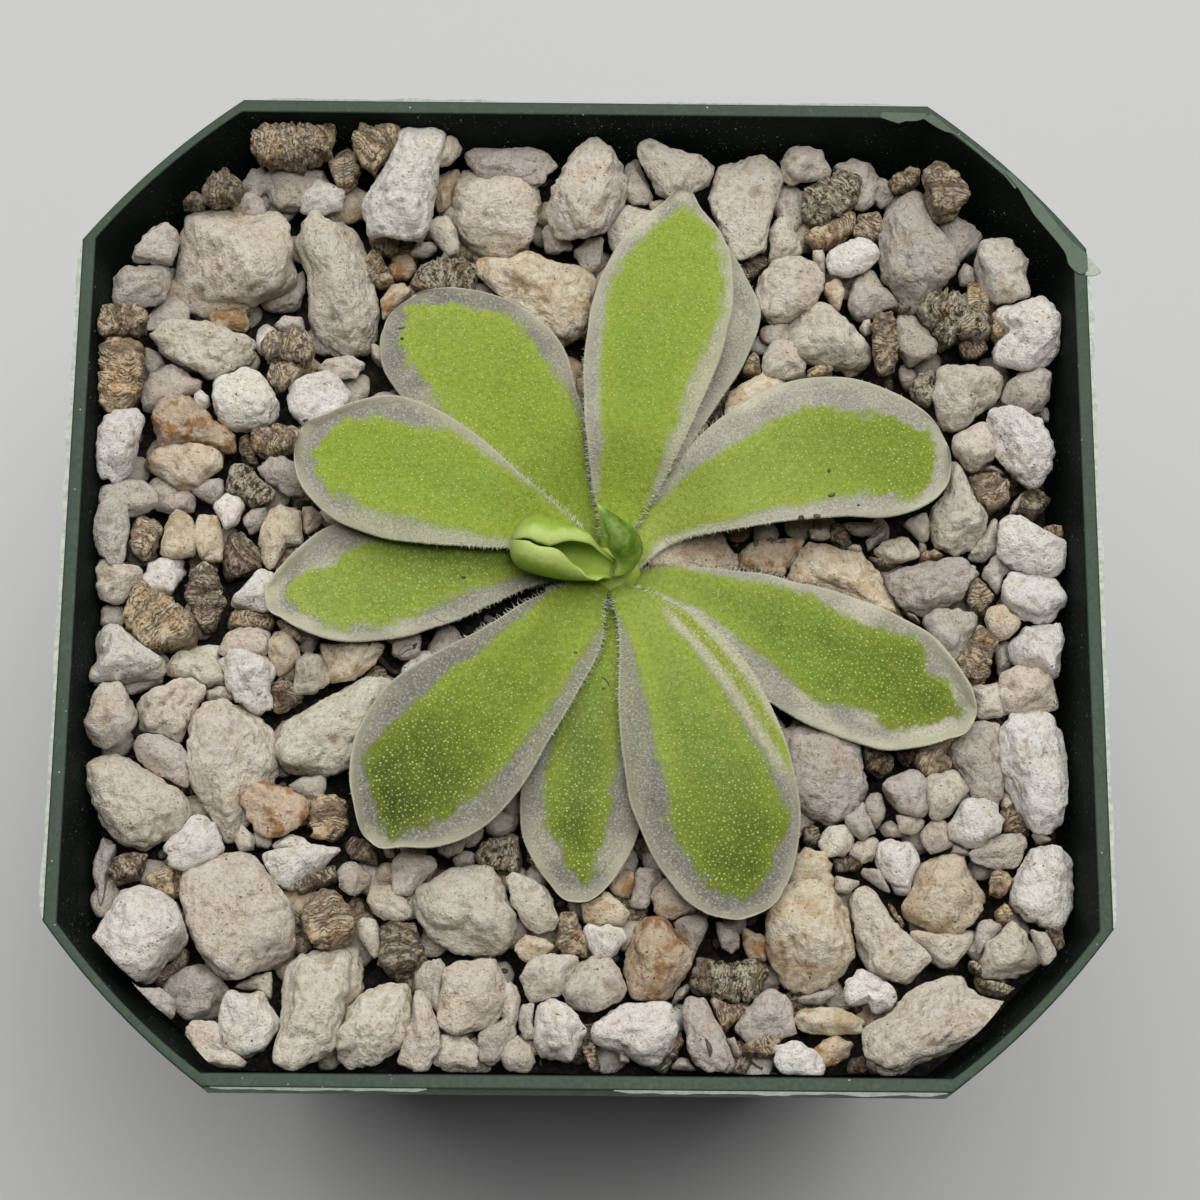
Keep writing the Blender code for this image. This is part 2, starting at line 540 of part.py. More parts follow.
def make_mix(leaves):
    bm = bmesh.new()
    clear = WALL + GAP
    foot = FLOOR_TOP + GAP
    loft(bm, [ring(wall_half(foot), foot, clear), ring(wall_half(BED_TOP), BED_TOP, clear)])
    mix = object_from(bm, "growing_mix", MIX_LOOK)

    ceiling = ceiling_over(leaves)
    stones = list(STONES) + list(loose_stones(random.Random(SEED)))
    lumps = bpy.data.collections.new("stones")
    for number, stone in enumerate(stones):
        lump = make_stone(number, stone, ceiling)
        bpy.context.scene.collection.objects.unlink(lump)
        lumps.objects.link(lump)
    bpy.context.scene.collection.children.link(lumps)
    modifier = mix.modifiers.new("fuse stones", "BOOLEAN")
    modifier.operation = "UNION"
    modifier.solver = "MANIFOLD"
    modifier.operand_type = "COLLECTION"
    modifier.collection = lumps
    evaluated = mix.evaluated_get(bpy.context.evaluated_depsgraph_get())
    mesh = bpy.data.meshes.new_from_object(evaluated)
    keep_largest_shell(mesh)
    mix.modifiers.clear()
    mix.data = mesh
    mix.data.materials.clear()
    mix.data.materials.append(bpy.data.materials["growing_mix"])
    for lump in list(lumps.objects):
        bpy.data.objects.remove(lump, do_unlink=True)
    bpy.data.collections.remove(lumps)

    bm = bmesh.new()
    middle_of_hole = CROWN_FOOT - GAP + CROWN_HOLE_DEPTH / 2
    bmesh.ops.create_cone(bm, cap_ends=True, segments=CROWN_SIDES, radius1=CROWN_RADIUS + GAP,
                          radius2=CROWN_RADIUS + GAP, depth=CROWN_HOLE_DEPTH,
                          matrix=Matrix.Translation((*CROWN, middle_of_hole)))
    cut(mix, cutter_from(bm, "crown_hole_cutter"), "crown hole")
    return mix


def main():
    remove_all()
    make_pot()
    make_crown()
    leaves = [make_leaf(leaf) for leaf in LEAVES]
    make_mix(leaves)
    for leaf in YOUNG_LEAVES:
        make_young_leaf(leaf)


main()
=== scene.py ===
"""The looks of the potted butterwort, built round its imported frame.

Sizes are in millimetres in the part's own frame, and meshes are made in metres. The pot,
the growing mix, each leaf and each of the two young leaves replace their plain solids.
"""
import math
from collections import namedtuple
from functools import lru_cache

import bmesh
import bpy
import numpy as np
from mathutils import Matrix, Vector
from mathutils.bvhtree import BVHTree


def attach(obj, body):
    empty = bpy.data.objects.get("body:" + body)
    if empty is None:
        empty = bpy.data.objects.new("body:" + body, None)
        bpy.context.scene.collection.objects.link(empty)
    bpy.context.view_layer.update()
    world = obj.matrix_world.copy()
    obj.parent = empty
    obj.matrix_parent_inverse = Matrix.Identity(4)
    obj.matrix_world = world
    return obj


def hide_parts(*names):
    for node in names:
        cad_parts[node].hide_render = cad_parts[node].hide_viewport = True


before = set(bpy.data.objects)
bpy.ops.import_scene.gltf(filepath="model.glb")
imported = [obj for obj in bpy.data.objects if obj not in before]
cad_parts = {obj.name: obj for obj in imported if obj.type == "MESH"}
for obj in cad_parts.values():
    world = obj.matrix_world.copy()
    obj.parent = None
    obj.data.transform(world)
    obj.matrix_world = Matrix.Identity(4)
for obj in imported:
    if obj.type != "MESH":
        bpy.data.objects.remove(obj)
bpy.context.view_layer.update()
MM = 0.001

# Pot, as in the part
POT_WIDTH = 89.0
POT_HEIGHT = 80.0
BASE_WIDTH = 61.0
CORNER_CUT = 13.8
CORNER_BOW = 0.7
COLLAR_HEIGHT = 4.4
COLLAR_STEP = 0.9
COLLAR_DRAFT = 0.2
COLLAR_UNDERCUT = 0.3
WALL = 1.1
FOOT_RING = 6.0
FOOT_RECESS = 0.8
FLOOR_TOP = 2.2
DRAIN_RADIUS = 3.6
DRAIN_DISTANCE = 15.5
CROWN = (2.5, 2.5)
CROWN_RADIUS = 2.6
CROWN_TOP = POT_HEIGHT - 5.1
CROWN_FOOT = POT_HEIGHT - 19.0

# The photograph was taken from here, and these are the heights of what was read off it. The
# camera stands a little lower than this.
EYE = (0.3, -89.1, POT_HEIGHT + 271.9)
CAMERA_DROP = 0.04
LEAF_READING = POT_HEIGHT - 5.0
STONE_READING = POT_HEIGHT - 8.0
CAMERA_TURN = (17.6841, -0.4006, 0.4069)
CAMERA_LENS = 100.05
SENSOR = 36.0


def smoothstep(low, high, value):
    share = np.clip((value - low) / (high - low), 0.0, 1.0)
    return share * share * (3.0 - 2.0 * share)


def between(a, b, share):
    return a + (b - a) * share


def linear(screen):
    """A colour for a shader from a colour as it looks on screen."""
    return tuple((value / 255.0) ** 2.2 for value in screen)


def from_photo(x, y, reading, z):
    """Where a point read off at one height lies if it is at height z."""
    nearer = (EYE[2] - z) / (EYE[2] - reading)
    return between(EYE[0], x, nearer), between(EYE[1], y, nearer)


def smooth_curve(stops, values, places):
    """A smooth curve through the values, with each slope taken from the two neighbours."""
    stops, values = np.asarray(stops, float), np.asarray(values, float)
    low = np.maximum(np.arange(len(stops)) - 1, 0)
    high = np.minimum(np.arange(len(stops)) + 1, len(stops) - 1)
    slopes = (values[high] - values[low]) / (stops[high] - stops[low])
    places = np.clip(places, stops[0], stops[-1])
    index = np.clip(np.searchsorted(stops, places, side="right") - 1, 0, len(stops) - 2)
    span = stops[index + 1] - stops[index]
    s = (places - stops[index]) / span
    return ((2 * s ** 3 - 3 * s ** 2 + 1) * values[index] + (s ** 3 - 2 * s ** 2 + s) * span * slopes[index]
            + (3 * s ** 2 - 2 * s ** 3) * values[index + 1] + (s ** 3 - s ** 2) * span * slopes[index + 1])


# Noise

def lattice(cells, seed):
    """A steady random value from 0 to 1 for each whole-number cell."""
    x, y, z = (np.asarray(cells[..., i]).astype(np.int64).astype(np.uint32) for i in range(3))
    mixed = x * np.uint32(374761393) + y * np.uint32(668265263) + z * np.uint32(1442695041)
    mixed = mixed + np.uint32((seed * 974711 + 12345) % 2 ** 32)
    mixed = (mixed ^ (mixed >> np.uint32(13))) * np.uint32(1274126177)
    mixed = (mixed ^ (mixed >> np.uint32(15))) * np.uint32(2246822519)
    return (mixed ^ (mixed >> np.uint32(16))) / 2.0 ** 32


def noise(points, size, seed):
    """Smooth noise from -1 to 1 whose lumps are about this size."""
    scaled = points / size
    cell = np.floor(scaled)
    part = scaled - cell
    part = part * part * (3.0 - 2.0 * part)
    total = np.zeros(scaled.shape[:-1])
    for corner in np.ndindex(2, 2, 2):
        weight = np.prod(np.where(corner, part, 1.0 - part), axis=-1)
        total += weight * lattice(cell + corner, seed)
    return 2.0 * total - 1.0


def pits(points, size, seed, widest, share):
    """Depth from 0 to 1 of round pits. This share of the cells of this size holds one."""
    scaled = points / size
    cell = np.floor(scaled)
    deepest = np.zeros(scaled.shape[:-1])
    for step in np.ndindex(3, 3, 3):
        near = cell + step - 1.0
        middle = near + np.stack([lattice(near, seed + k) for k in range(3)], axis=-1)
        reach = widest * between(0.4, 1.0, lattice(near, seed + 3))
        depth = 1.0 - (np.linalg.norm(scaled - middle, axis=-1) / reach) ** 2
        depth = np.where(lattice(near, seed + 4) < share, depth, 0.0)
        deepest = np.maximum(deepest, depth)
    return deepest


# Meshes: points in millimetres go in, and an object in metres comes out

def make_object(name, points, faces, look, attributes=None, flat=False):
    """An object from points and faces, with one value or three for each point as attributes."""
    mesh = bpy.data.meshes.new(name)
    mesh.from_pydata((np.asarray(points) * MM).tolist(), [], [list(face) for face in faces])
    for key, values in (attributes or {}).items():
        values = np.asarray(values, np.float32)
        kind, field = ("FLOAT_VECTOR", "vector") if values.ndim == 2 else ("FLOAT", "value")
        mesh.attributes.new(key, kind, "POINT").data.foreach_set(field, values.ravel())
    mesh.materials.append(look)
    made = bpy.data.objects.new(name, mesh)
    bpy.context.scene.collection.objects.link(made)
    if not flat:
        mesh.shade_smooth()
    return made


def declare(piece, slot, *nodes):
    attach(piece, "root")
    if nodes:
        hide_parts(*nodes)
    return piece


class Heap:
    """Many small meshes gathered into one: points, faces and attributes."""

    def __init__(self):
        self.points, self.faces, self.attributes, self.count = [], [], {}, 0

    def add(self, points, faces, **attributes):
        self.points.append(points)
        self.faces.append(np.asarray(faces) + self.count)
        for key, value in attributes.items():
            value = np.asarray(value, float)
            if value.ndim == 0 or (value.ndim == 1 and len(value) != len(points)):
                value = np.broadcast_to(value, (len(points),) + value.shape)
            self.attributes.setdefault(key, []).append(value)
        self.count += len(points)

    def tree(self):
        faces = [face for group in self.faces for face in group.tolist()]
        return BVHTree.FromPolygons(np.concatenate(self.points).tolist(), faces)

    def make(self, name, look, flat=False):
        faces = [face for group in self.faces for face in group.tolist()]
        attributes = {key: np.concatenate(values) for key, values in self.attributes.items()}
        return make_object(name, np.concatenate(self.points), faces, look, attributes, flat)


def grid_faces(rows, columns, start=0, closed=False, flipped=False):
    """Quads of a grid of points, which may be closed round its columns."""
    faces = []
    for i in range(rows - 1):
        for j in range(columns if closed else columns - 1):
            k = (j + 1) % columns
            face = [start + i * columns + j, start + (i + 1) * columns + j,
                    start + (i + 1) * columns + k, start + i * columns + k]
            faces.append(face[::-1] if flipped else face)
    return faces


def grid_rim(rows, columns):
    """Pairs of neighbouring points round the edge of a grid of points."""
    edge = [(i, 0) for i in range(rows)] + [(rows - 1, j) for j in range(1, columns)]
    edge += [(i, columns - 1) for i in range(rows - 2, -1, -1)]
    edge += [(0, j) for j in range(columns - 2, 0, -1)]
    ids = [i * columns + j for i, j in edge]
    return zip(ids, ids[1:] + ids[:1])


@lru_cache(maxsize=None)
def ball(steps):
    """Directions spread evenly over a ball, from a cube with this many steps a side, and quads."""
    line = np.tan(np.linspace(-1.0, 1.0, steps + 1) * math.pi / 4)
    u, v = np.meshgrid(line, line, indexing="ij")
    one = np.ones_like(u)
    sides = [(one, u, v), (-one, v, u), (v, one, u), (u, -one, v), (u, v, one), (v, u, -one)]
    points = np.concatenate([np.stack(side, axis=-1).reshape(-1, 3) for side in sides])
    quads = np.concatenate([np.array(grid_faces(steps + 1, steps + 1, side * (steps + 1) ** 2))
                            for side in range(6)])
    first, where = np.unique(np.round(points, 6), axis=0, return_index=True, return_inverse=True)[1:]
    points = points[first]
    return points / np.linalg.norm(points, axis=1, keepdims=True), where.ravel()[quads]


# Shader building: each call adds one node and returns its output

class Shader:
    def __init__(self, name):
        self.material = bpy.data.materials.new(name)
        self.material.use_nodes = True
        self.tree = self.material.node_tree
        self.surface = self.tree.nodes["Principled BSDF"]

    def put(self, node, socket, value):
        if isinstance(value, bpy.types.NodeSocket):
            self.tree.links.new(value, node.inputs[socket])
        else:
            if hasattr(value, "__len__") and len(value) == 3 and node.inputs[socket].type == "RGBA":
                value = (*value, 1.0)
            node.inputs[socket].default_value = value

    def set(self, **values):
        for key, value in values.items():
            self.put(self.surface, key.replace("_", " "), value)

    def attribute(self, name, output):
        node = self.tree.nodes.new("ShaderNodeAttribute")
        node.attribute_name = name
        return node.outputs[output]

    def value(self, name):
        return self.attribute(name, "Fac")

    def vector(self, name):
        return self.attribute(name, "Vector")

    def colour(self, name):
        return self.attribute(name, "Color")

    def multiply(self, a, b):
        return self.math("MULTIPLY", a, b)

    def tinted(self, share, a, b):
        """The colour multiplied by another one, by this share."""
        return self.mix(share, a, b, "MULTIPLY")

    def place(self):
        """The point in the part's frame, in millimetres."""
        here = self.tree.nodes.new("ShaderNodeTexCoord").outputs["Object"]
        node = self.tree.nodes.new("ShaderNodeVectorMath")
        node.operation = "SCALE"
        self.put(node, "Vector", here)
        self.put(node, "Scale", 1.0 / MM)
        return node.outputs["Vector"]

    def stretch(self, vector, factors):
        node = self.tree.nodes.new("ShaderNodeVectorMath")
        node.operation = "MULTIPLY"
        self.put(node, 0, vector)
        node.inputs[1].default_value = factors
        return node.outputs["Vector"]

    def warp(self, vector, scale, amount):
        """The vector moved about by noise of this scale, by up to half this amount each way."""
        node = self.tree.nodes.new("ShaderNodeTexNoise")
        self.put(node, "Vector", vector)
        node.inputs["Scale"].default_value = scale
        move = self.tree.nodes.new("ShaderNodeVectorMath")
        move.operation = "MULTIPLY_ADD"
        self.put(move, 0, node.outputs["Color"])
        move.inputs[1].default_value = (amount,) * 3
        self.put(move, 2, vector)
        return move.outputs["Vector"]

    def math(self, operation, a, b=0.0):
        node = self.tree.nodes.new("ShaderNodeMath")
        node.operation = operation
        self.put(node, 0, a)
        self.put(node, 1, b)
        return node.outputs["Value"]

    def noise(self, vector, scale, detail=2.0, roughness=0.5):
        node = self.tree.nodes.new("ShaderNodeTexNoise")
        self.put(node, "Vector", vector)
        node.inputs["Scale"].default_value = scale
        node.inputs["Detail"].default_value = detail
        node.inputs["Roughness"].default_value = roughness
        return node.outputs["Fac"]

    def cells(self, vector, scale, randomness=1.0):
        """Distance to the middle of the nearest cell."""
        node = self.tree.nodes.new("ShaderNodeTexVoronoi")
        self.put(node, "Vector", vector)
        node.inputs["Scale"].default_value = scale
        node.inputs["Randomness"].default_value = randomness
        return node.outputs["Distance"]

    def ramp(self, value, low, high, start=0.0, end=1.0):
        """A smooth step of the value from low to high, mapped to start and end."""
        node = self.tree.nodes.new("ShaderNodeMapRange")
        node.interpolation_type = "SMOOTHSTEP"
        self.put(node, "Value", value)
        self.put(node, "From Min", low)
        self.put(node, "From Max", high)
        self.put(node, "To Min", start)
        self.put(node, "To Max", end)
        return node.outputs["Result"]

    def mix(self, share, a, b, blend="MIX"):
        node = self.tree.nodes.new("ShaderNodeMix")
        node.data_type = "RGBA"
        node.blend_type = blend
        self.put(node, "Factor", share)
        self.put(node, 6, a)
        self.put(node, 7, b)
        return node.outputs[2]

    def bump(self, height, distance, strength=1.0):
        node = self.tree.nodes.new("ShaderNodeBump")
        self.put(node, "Height", height)
        node.inputs["Distance"].default_value = distance * MM
        node.inputs["Strength"].default_value = strength
        self.tree.links.new(node.outputs["Normal"], self.surface.inputs["Normal"])


# Pot: a square with bowed corner cuts, which tapers to its base

CORNER_STEPS = 14
SIDE_STEPS = 18
RIM_ROUND = 0.22
COLLAR_ROUND = 0.35
BASE_ROUND = 0.6
RING_ROUND = 0.3
ROUND_STEPS = 4
CHAMFER_THINNER = 0.7
DRAIN_SIDES = 48
SHARP_ANGLE = 38


def wall_half(z):
    """Half width of the wall's outside under the collar, carried on up to the rim."""
    return between(BASE_WIDTH / 2, POT_WIDTH / 2 - COLLAR_STEP, z / (POT_HEIGHT - COLLAR_HEIGHT))


def corner_cut(half, inset=0.0):
    """Length that a corner takes off each side. The wall is thinner there than along the sides."""
    thinner = CHAMFER_THINNER * min(inset / WALL, 1.0)
    return CORNER_CUT * half / (POT_WIDTH / 2) - inset * (2.0 - math.sqrt(2.0)) - thinner


def corner_bow(cut_length, share):
    """How far a corner cut bows out along each axis, at this share of its length."""
    return CORNER_BOW * cut_length / CORNER_CUT * 4.0 * share * (1.0 - share) / math.sqrt(2.0)


def outline(half, inset=0.0):
    """Points round a section of the pot, counter-clockwise from the east end of its north side."""
    inner = half - inset
    cut_length = corner_cut(half, inset)
    share = np.linspace(0.0, 1.0, CORNER_STEPS + 1)
    out = corner_bow(cut_length, share)
    corner = np.stack([inner - cut_length * share + out, inner - cut_length * (1.0 - share) + out], axis=-1)
    side = np.linspace(corner[-1], (-corner[0][1], corner[0][0]), SIDE_STEPS + 1)[1:-1]
    quarter = np.concatenate([corner, side])
    points = []
    for turn in range(4):
        c, s = ((1, 0), (0, 1), (-1, 0), (0, -1))[turn]
        points.append(quarter @ np.array([[c, s], [-s, c]]))
    return np.concatenate(points)


def soften(profile, steps=ROUND_STEPS):
    """Round off a profile's corners: each point ends with the radius of its corner."""
    points = [np.array(point[:-1]) for point in profile]
    rounded = [points[0]]
    for before, here, after, (*_, radius) in zip(points, points[1:], points[2:], profile[1:-1]):
        if radius == 0.0:
            rounded.append(here)
            continue
        come, leave = before - here, after - here
        start = here + come * min(radius / np.linalg.norm(come), 0.5)
        end = here + leave * min(radius / np.linalg.norm(leave), 0.5)
        for share in np.linspace(0.0, 1.0, steps + 1):
            rounded.append(between(between(start, here, share), between(here, end, share), share))
    rounded.append(points[-1])
    return rounded


def skin(sections):
    """Points and faces of a stack of like outlines, closed at both ends."""
    count = len(sections[0])
    faces = grid_faces(len(sections), count, closed=True, flipped=True)
    faces.append(list(range(count))[::-1])
    faces.append([(len(sections) - 1) * count + j for j in range(count)])
    return np.concatenate(sections), faces


def section(half, inset, z):
    flat = outline(half, inset)
    return np.column_stack([flat, np.full(len(flat), z)])


def in_pot(points):
    """Whether points lie on the inner side of the wall's middle layer."""
    half = wall_half(points[:, 2])
    x, y = np.abs(points[:, 0]), np.abs(points[:, 1])
    cut = corner_cut(half)
    share = np.clip((1.0 - (x - y) / cut) / 2.0, 0.0, 1.0)
    slant = (x + y + cut) / 2.0 - corner_bow(cut, share)
    return (np.maximum(x, y) < half - WALL / 2) & (slant < half - WALL / 4)


def pot_material():
    shader = Shader("pot plastic")
    place = shader.place()
    cloud = shader.noise(place, 0.09, 3.0)
    grain = shader.noise(place, 2.6, 3.0)
    scuff = shader.noise(shader.stretch(place, (1.0, 1.0, 0.18)), 0.8, 4.0, 0.6)
    green = shader.mix(cloud, linear(POT_DARK), linear(POT_GREEN))
    green = shader.mix(shader.ramp(scuff, 0.56, 0.74, 0.0, 0.35), green, linear(POT_PALE))
    dust = shader.cells(place, 0.9)
    many = shader.noise(place, 0.16, 2.0)
    dusty = shader.multiply(shader.ramp(dust, 0.085, 0.05), shader.ramp(many, 0.42, 0.6, 0.15, 0.9))
    green = shader.mix(dusty, green, linear(DUST))
    specks = shader.ramp(shader.cells(place, 2.3), 0.2, 0.08)
    fine = shader.multiply(specks, shader.ramp(many, 0.4, 0.62))
    # Painted shade: the inner wall below the rim gets a near-black green for the shade inside the pot, with
    # dust specks on it.
    inner = shader.mix(shader.multiply(fine, 0.3), linear(POT_INSIDE_SHADE), linear(DUST))
    green = shader.mix(shader.value("inside"), green, shader.mix(dusty, inner, linear(DUST)))
    dull = shader.multiply(shader.value("inside"), 0.18)
    shader.set(Roughness=shader.math("ADD", shader.ramp(grain, 0.3, 0.7, 0.42, 0.56), dull))
    shader.set(Base_Color=green, Specular_IOR_Level=shader.math("SUBTRACT", 0.34, dull))
    rough = shader.math("ADD", shader.multiply(grain, 0.5), shader.noise(place, 0.5, 2.0))
    shader.bump(rough, 0.06, 0.5)
    return shader.material


POT_GREEN = (50, 68, 50)
POT_DARK = (38, 54, 40)
POT_PALE = (76, 94, 74)
# Painted shade of the pot's inner wall
POT_INSIDE_SHADE = (17, 27, 21)
DUST = (190, 192, 182)


def make_pot(look):
    base_half, rim_half = BASE_WIDTH / 2, POT_WIDTH / 2
    collar_foot = POT_HEIGHT - COLLAR_HEIGHT
    profile = [
        (base_half, FOOT_RING, FOOT_RECESS, 0.0),
        (base_half, FOOT_RING, 0.0, RING_ROUND),
        (base_half, 0.0, 0.0, BASE_ROUND),
        (wall_half(collar_foot), 0.0, collar_foot, COLLAR_ROUND),
        (rim_half - COLLAR_DRAFT, 0.0, collar_foot + COLLAR_UNDERCUT, RIM_ROUND),
        (rim_half, 0.0, POT_HEIGHT, RIM_ROUND),
        (wall_half(POT_HEIGHT), WALL, POT_HEIGHT, RIM_ROUND),
        (wall_half(FLOOR_TOP), WALL, FLOOR_TOP, 0.0),
    ]
    points, faces = skin([section(half, inset, z) for half, inset, z in soften(profile)])
    pot = make_object("pot_shell", points, faces, look)
    bm = bmesh.new()
    places = [(0.0, 0.0)] + [(a * DRAIN_DISTANCE, b * DRAIN_DISTANCE) for a in (-1, 1) for b in (-1, 1)]
    for x, y in places:
        bmesh.ops.create_cone(bm, cap_ends=True, segments=DRAIN_SIDES, radius1=DRAIN_RADIUS * MM,
                              radius2=DRAIN_RADIUS * MM, depth=4 * FLOOR_TOP * MM,
                              matrix=Matrix.Translation((x * MM, y * MM, 0.0)))
    mesh = bpy.data.meshes.new("drain cutter")
    bm.to_mesh(mesh)
    bm.free()
    cutter = bpy.data.objects.new("drain cutter", mesh)
    bpy.context.scene.collection.objects.link(cutter)
    modifier = pot.modifiers.new("drain holes", "BOOLEAN")
    modifier.operation = "DIFFERENCE"
    modifier.object = cutter
    depsgraph = bpy.context.evaluated_depsgraph_get()
    cut = bpy.data.meshes.new_from_object(pot.evaluated_get(depsgraph))
    pot.modifiers.clear()
    pot.data = cut
    bpy.data.objects.remove(cutter, do_unlink=True)
    cut.set_sharp_from_angle(angle=math.radians(SHARP_ANGLE))
    spots = np.array([vertex.co[:] for vertex in cut.vertices]) / MM
    # Marks the inner wall below the rim, which gets painted shade and a duller finish.
    inside = in_pot(spots) & (spots[:, 2] < POT_HEIGHT - RIM_ROUND / 2)
    cut.attributes.new("inside", "FLOAT", "POINT").data.foreach_set("value", inside.astype(np.float32))
    return declare(pot, "pot_plastic", "pot")


# Moulding flash: thin plastic left along the rim. Each strip lies between two lines of points.

FLASH_THICK = 0.14
FLASH_STEP = 0.3
FLASH_OVERLAP = 0.3
FLASH_DROP = 0.06
FLASH_FADE = 1.5
FLASH_NARROW, FLASH_LEAST = 0.06, 0.05
# From, to, greatest width and paleness of the flash along the rim's outer edges
RIM_FLASH = (
    ((-44.5, 30.4), (-44.5, -30.6), 0.48, 0.95), ((44.5, -30.6), (44.5, 28.2), 0.44, 1.0),
    ((-30.0, -44.5), (-12.0, -44.5), 0.24, 0.45), ((3.0, -44.5), (30.4, -44.5), 0.3, 0.5),
    ((-8.0, 44.5), (-29.0, 44.5), 0.3, 0.8), ((28.0, 44.5), (6.0, 44.5), 0.2, 0.8),
)
LIP_INNER = ((37.4, 38.0), (38.7, 36.3), (39.9, 33.9), (41.8, 31.4), (42.6, 30.2), (42.8, 29.1), (43.4, 28.4),
             (44.0, 28.1), (44.5, 28.6))
LIP_OUTER = ((38.0, 37.9), (39.4, 36.3), (40.8, 34.6), (42.1, 32.7), (43.2, 31.3), (44.5, 30.1))
TOP_INNER = ((26.4, 43.3), (27.5, 42.9), (28.1, 42.7), (28.7, 42.95), (29.6, 42.95), (30.4, 43.2))
TOP_OUTER = ((26.6, 43.8), (30.6, 43.7))
CHAMFER_INNER = ((30.3, 43.2), (31.4, 42.4), (32.1, 42.0), (33.1, 41.7), (34.4, 40.5), (35.9, 39.1),
                 (37.4, 37.7), (38.3, 36.4))
CHAMFER_OUTER = ((31.0, 43.7), (38.9, 37.0))
TAB_UPPER = ((44.3, 30.0), (44.8, 29.7), (45.25, 29.1), (45.7, 28.5))
TAB_LOWER = ((44.3, 28.1), (44.9, 28.05), (45.4, 28.2), (45.68, 28.4))
# The two edges, the height over the rim and the paleness of the flash at the northeast corner
CORNER_FLASH = (
    (TOP_OUTER, TOP_INNER, 0.04, 0.02), (CHAMFER_OUTER, CHAMFER_INNER, 0.03, 0.0),
    (LIP_OUTER, LIP_INNER, 0.12, 0.04), (TAB_LOWER, TAB_UPPER, 0.02, 0.75),
)


def resampled(line, count):
    """This many points, evenly spaced along a line of points."""
    line = np.array(line, float)
    reach = np.concatenate([[0.0], np.cumsum(np.linalg.norm(np.diff(line, axis=0), axis=1))])
    places = np.linspace(0.0, reach[-1], count)
    return np.column_stack([np.interp(places, reach, line[:, k]) for k in range(2)])


def strip(heap, one, other, top, tone):
    """A thin strip between two lines of points, with its faces outwards."""
    count = max(4, int(np.linalg.norm(np.diff(np.array(one, float), axis=0), axis=1).sum() / FLASH_STEP))
    one, other = resampled(one, count), resampled(other, count)
    low, high = np.full(count, top - FLASH_THICK), np.full(count, top)
    rows = [np.column_stack([one, high]), np.column_stack([other, high]),
            np.column_stack([other, low]), np.column_stack([one, low])]
    points = np.stack(rows, axis=1).reshape(-1, 3)
    faces = grid_faces(count, 4, closed=True) + [(0, 1, 2, 3), tuple(4 * count - k for k in (1, 2, 3, 4))]
    triangles = [(a, b, c) for a, b, c, d in faces] + [(a, c, d) for a, b, c, d in faces]
    heap.add(points, triangles, tone=tone)


def rim_noise(reach, start, layer, size, seed):
    """Noise along one side of the rim."""
    spots = [reach, np.full_like(reach, start[0]), np.full_like(reach, layer)]
    return noise(np.column_stack(spots), size, seed)


def make_flash():
    heap = Heap()
    for start, end, width, tone in RIM_FLASH:
        length = math.dist(start, end)
        along = (np.array(end) - start) / length
        outwards = np.array([-along[1], along[0]])
        if np.dot(outwards, start) < 0.0:
            outwards = -outwards
        reach = np.arange(0.0, length, FLASH_STEP)
        wander = rim_noise(reach, start, 0.0, 2.6, 41)
        ragged = rim_noise(reach, start, 9.0, 0.7, 42)
        wide = width * np.clip(0.62 + 0.36 * wander + 0.2 * ragged, FLASH_NARROW, 1.0)
        ends = smoothstep(0.0, FLASH_FADE, reach) * smoothstep(length, length - FLASH_FADE, reach)
        wide *= ends + FLASH_LEAST
        edge = start + reach[:, None] * along
        inner, outer = edge - outwards * FLASH_OVERLAP, edge + outwards * wide[:, None]
        strip(heap, inner, outer, POT_HEIGHT - FLASH_DROP, tone)
    for one, other, height, tone in CORNER_FLASH:
        strip(heap, one, other, POT_HEIGHT + height, tone)
    shader = Shader("moulding flash")
    place = shader.place()
    colour = shader.mix(shader.value("tone"), linear(FLASH_GREEN), linear(FLASH_PALE))
    cloud = shader.noise(place, 1.1, 4.0, 0.7)
    colour = shader.mix(shader.ramp(cloud, 0.4, 0.62, 0.0, 0.4), colour, linear(FLASH_LIGHT))
    shader.set(Base_Color=colour, Roughness=0.4, Specular_IOR_Level=0.4)
    shader.bump(cloud, 0.1, 0.5)
    return declare(heap.make("rim_flash", shader.material, flat=True), "pot_plastic")


FLASH_GREEN = (56, 76, 56)
FLASH_LIGHT = (80, 102, 78)
FLASH_PALE = (184, 190, 176)
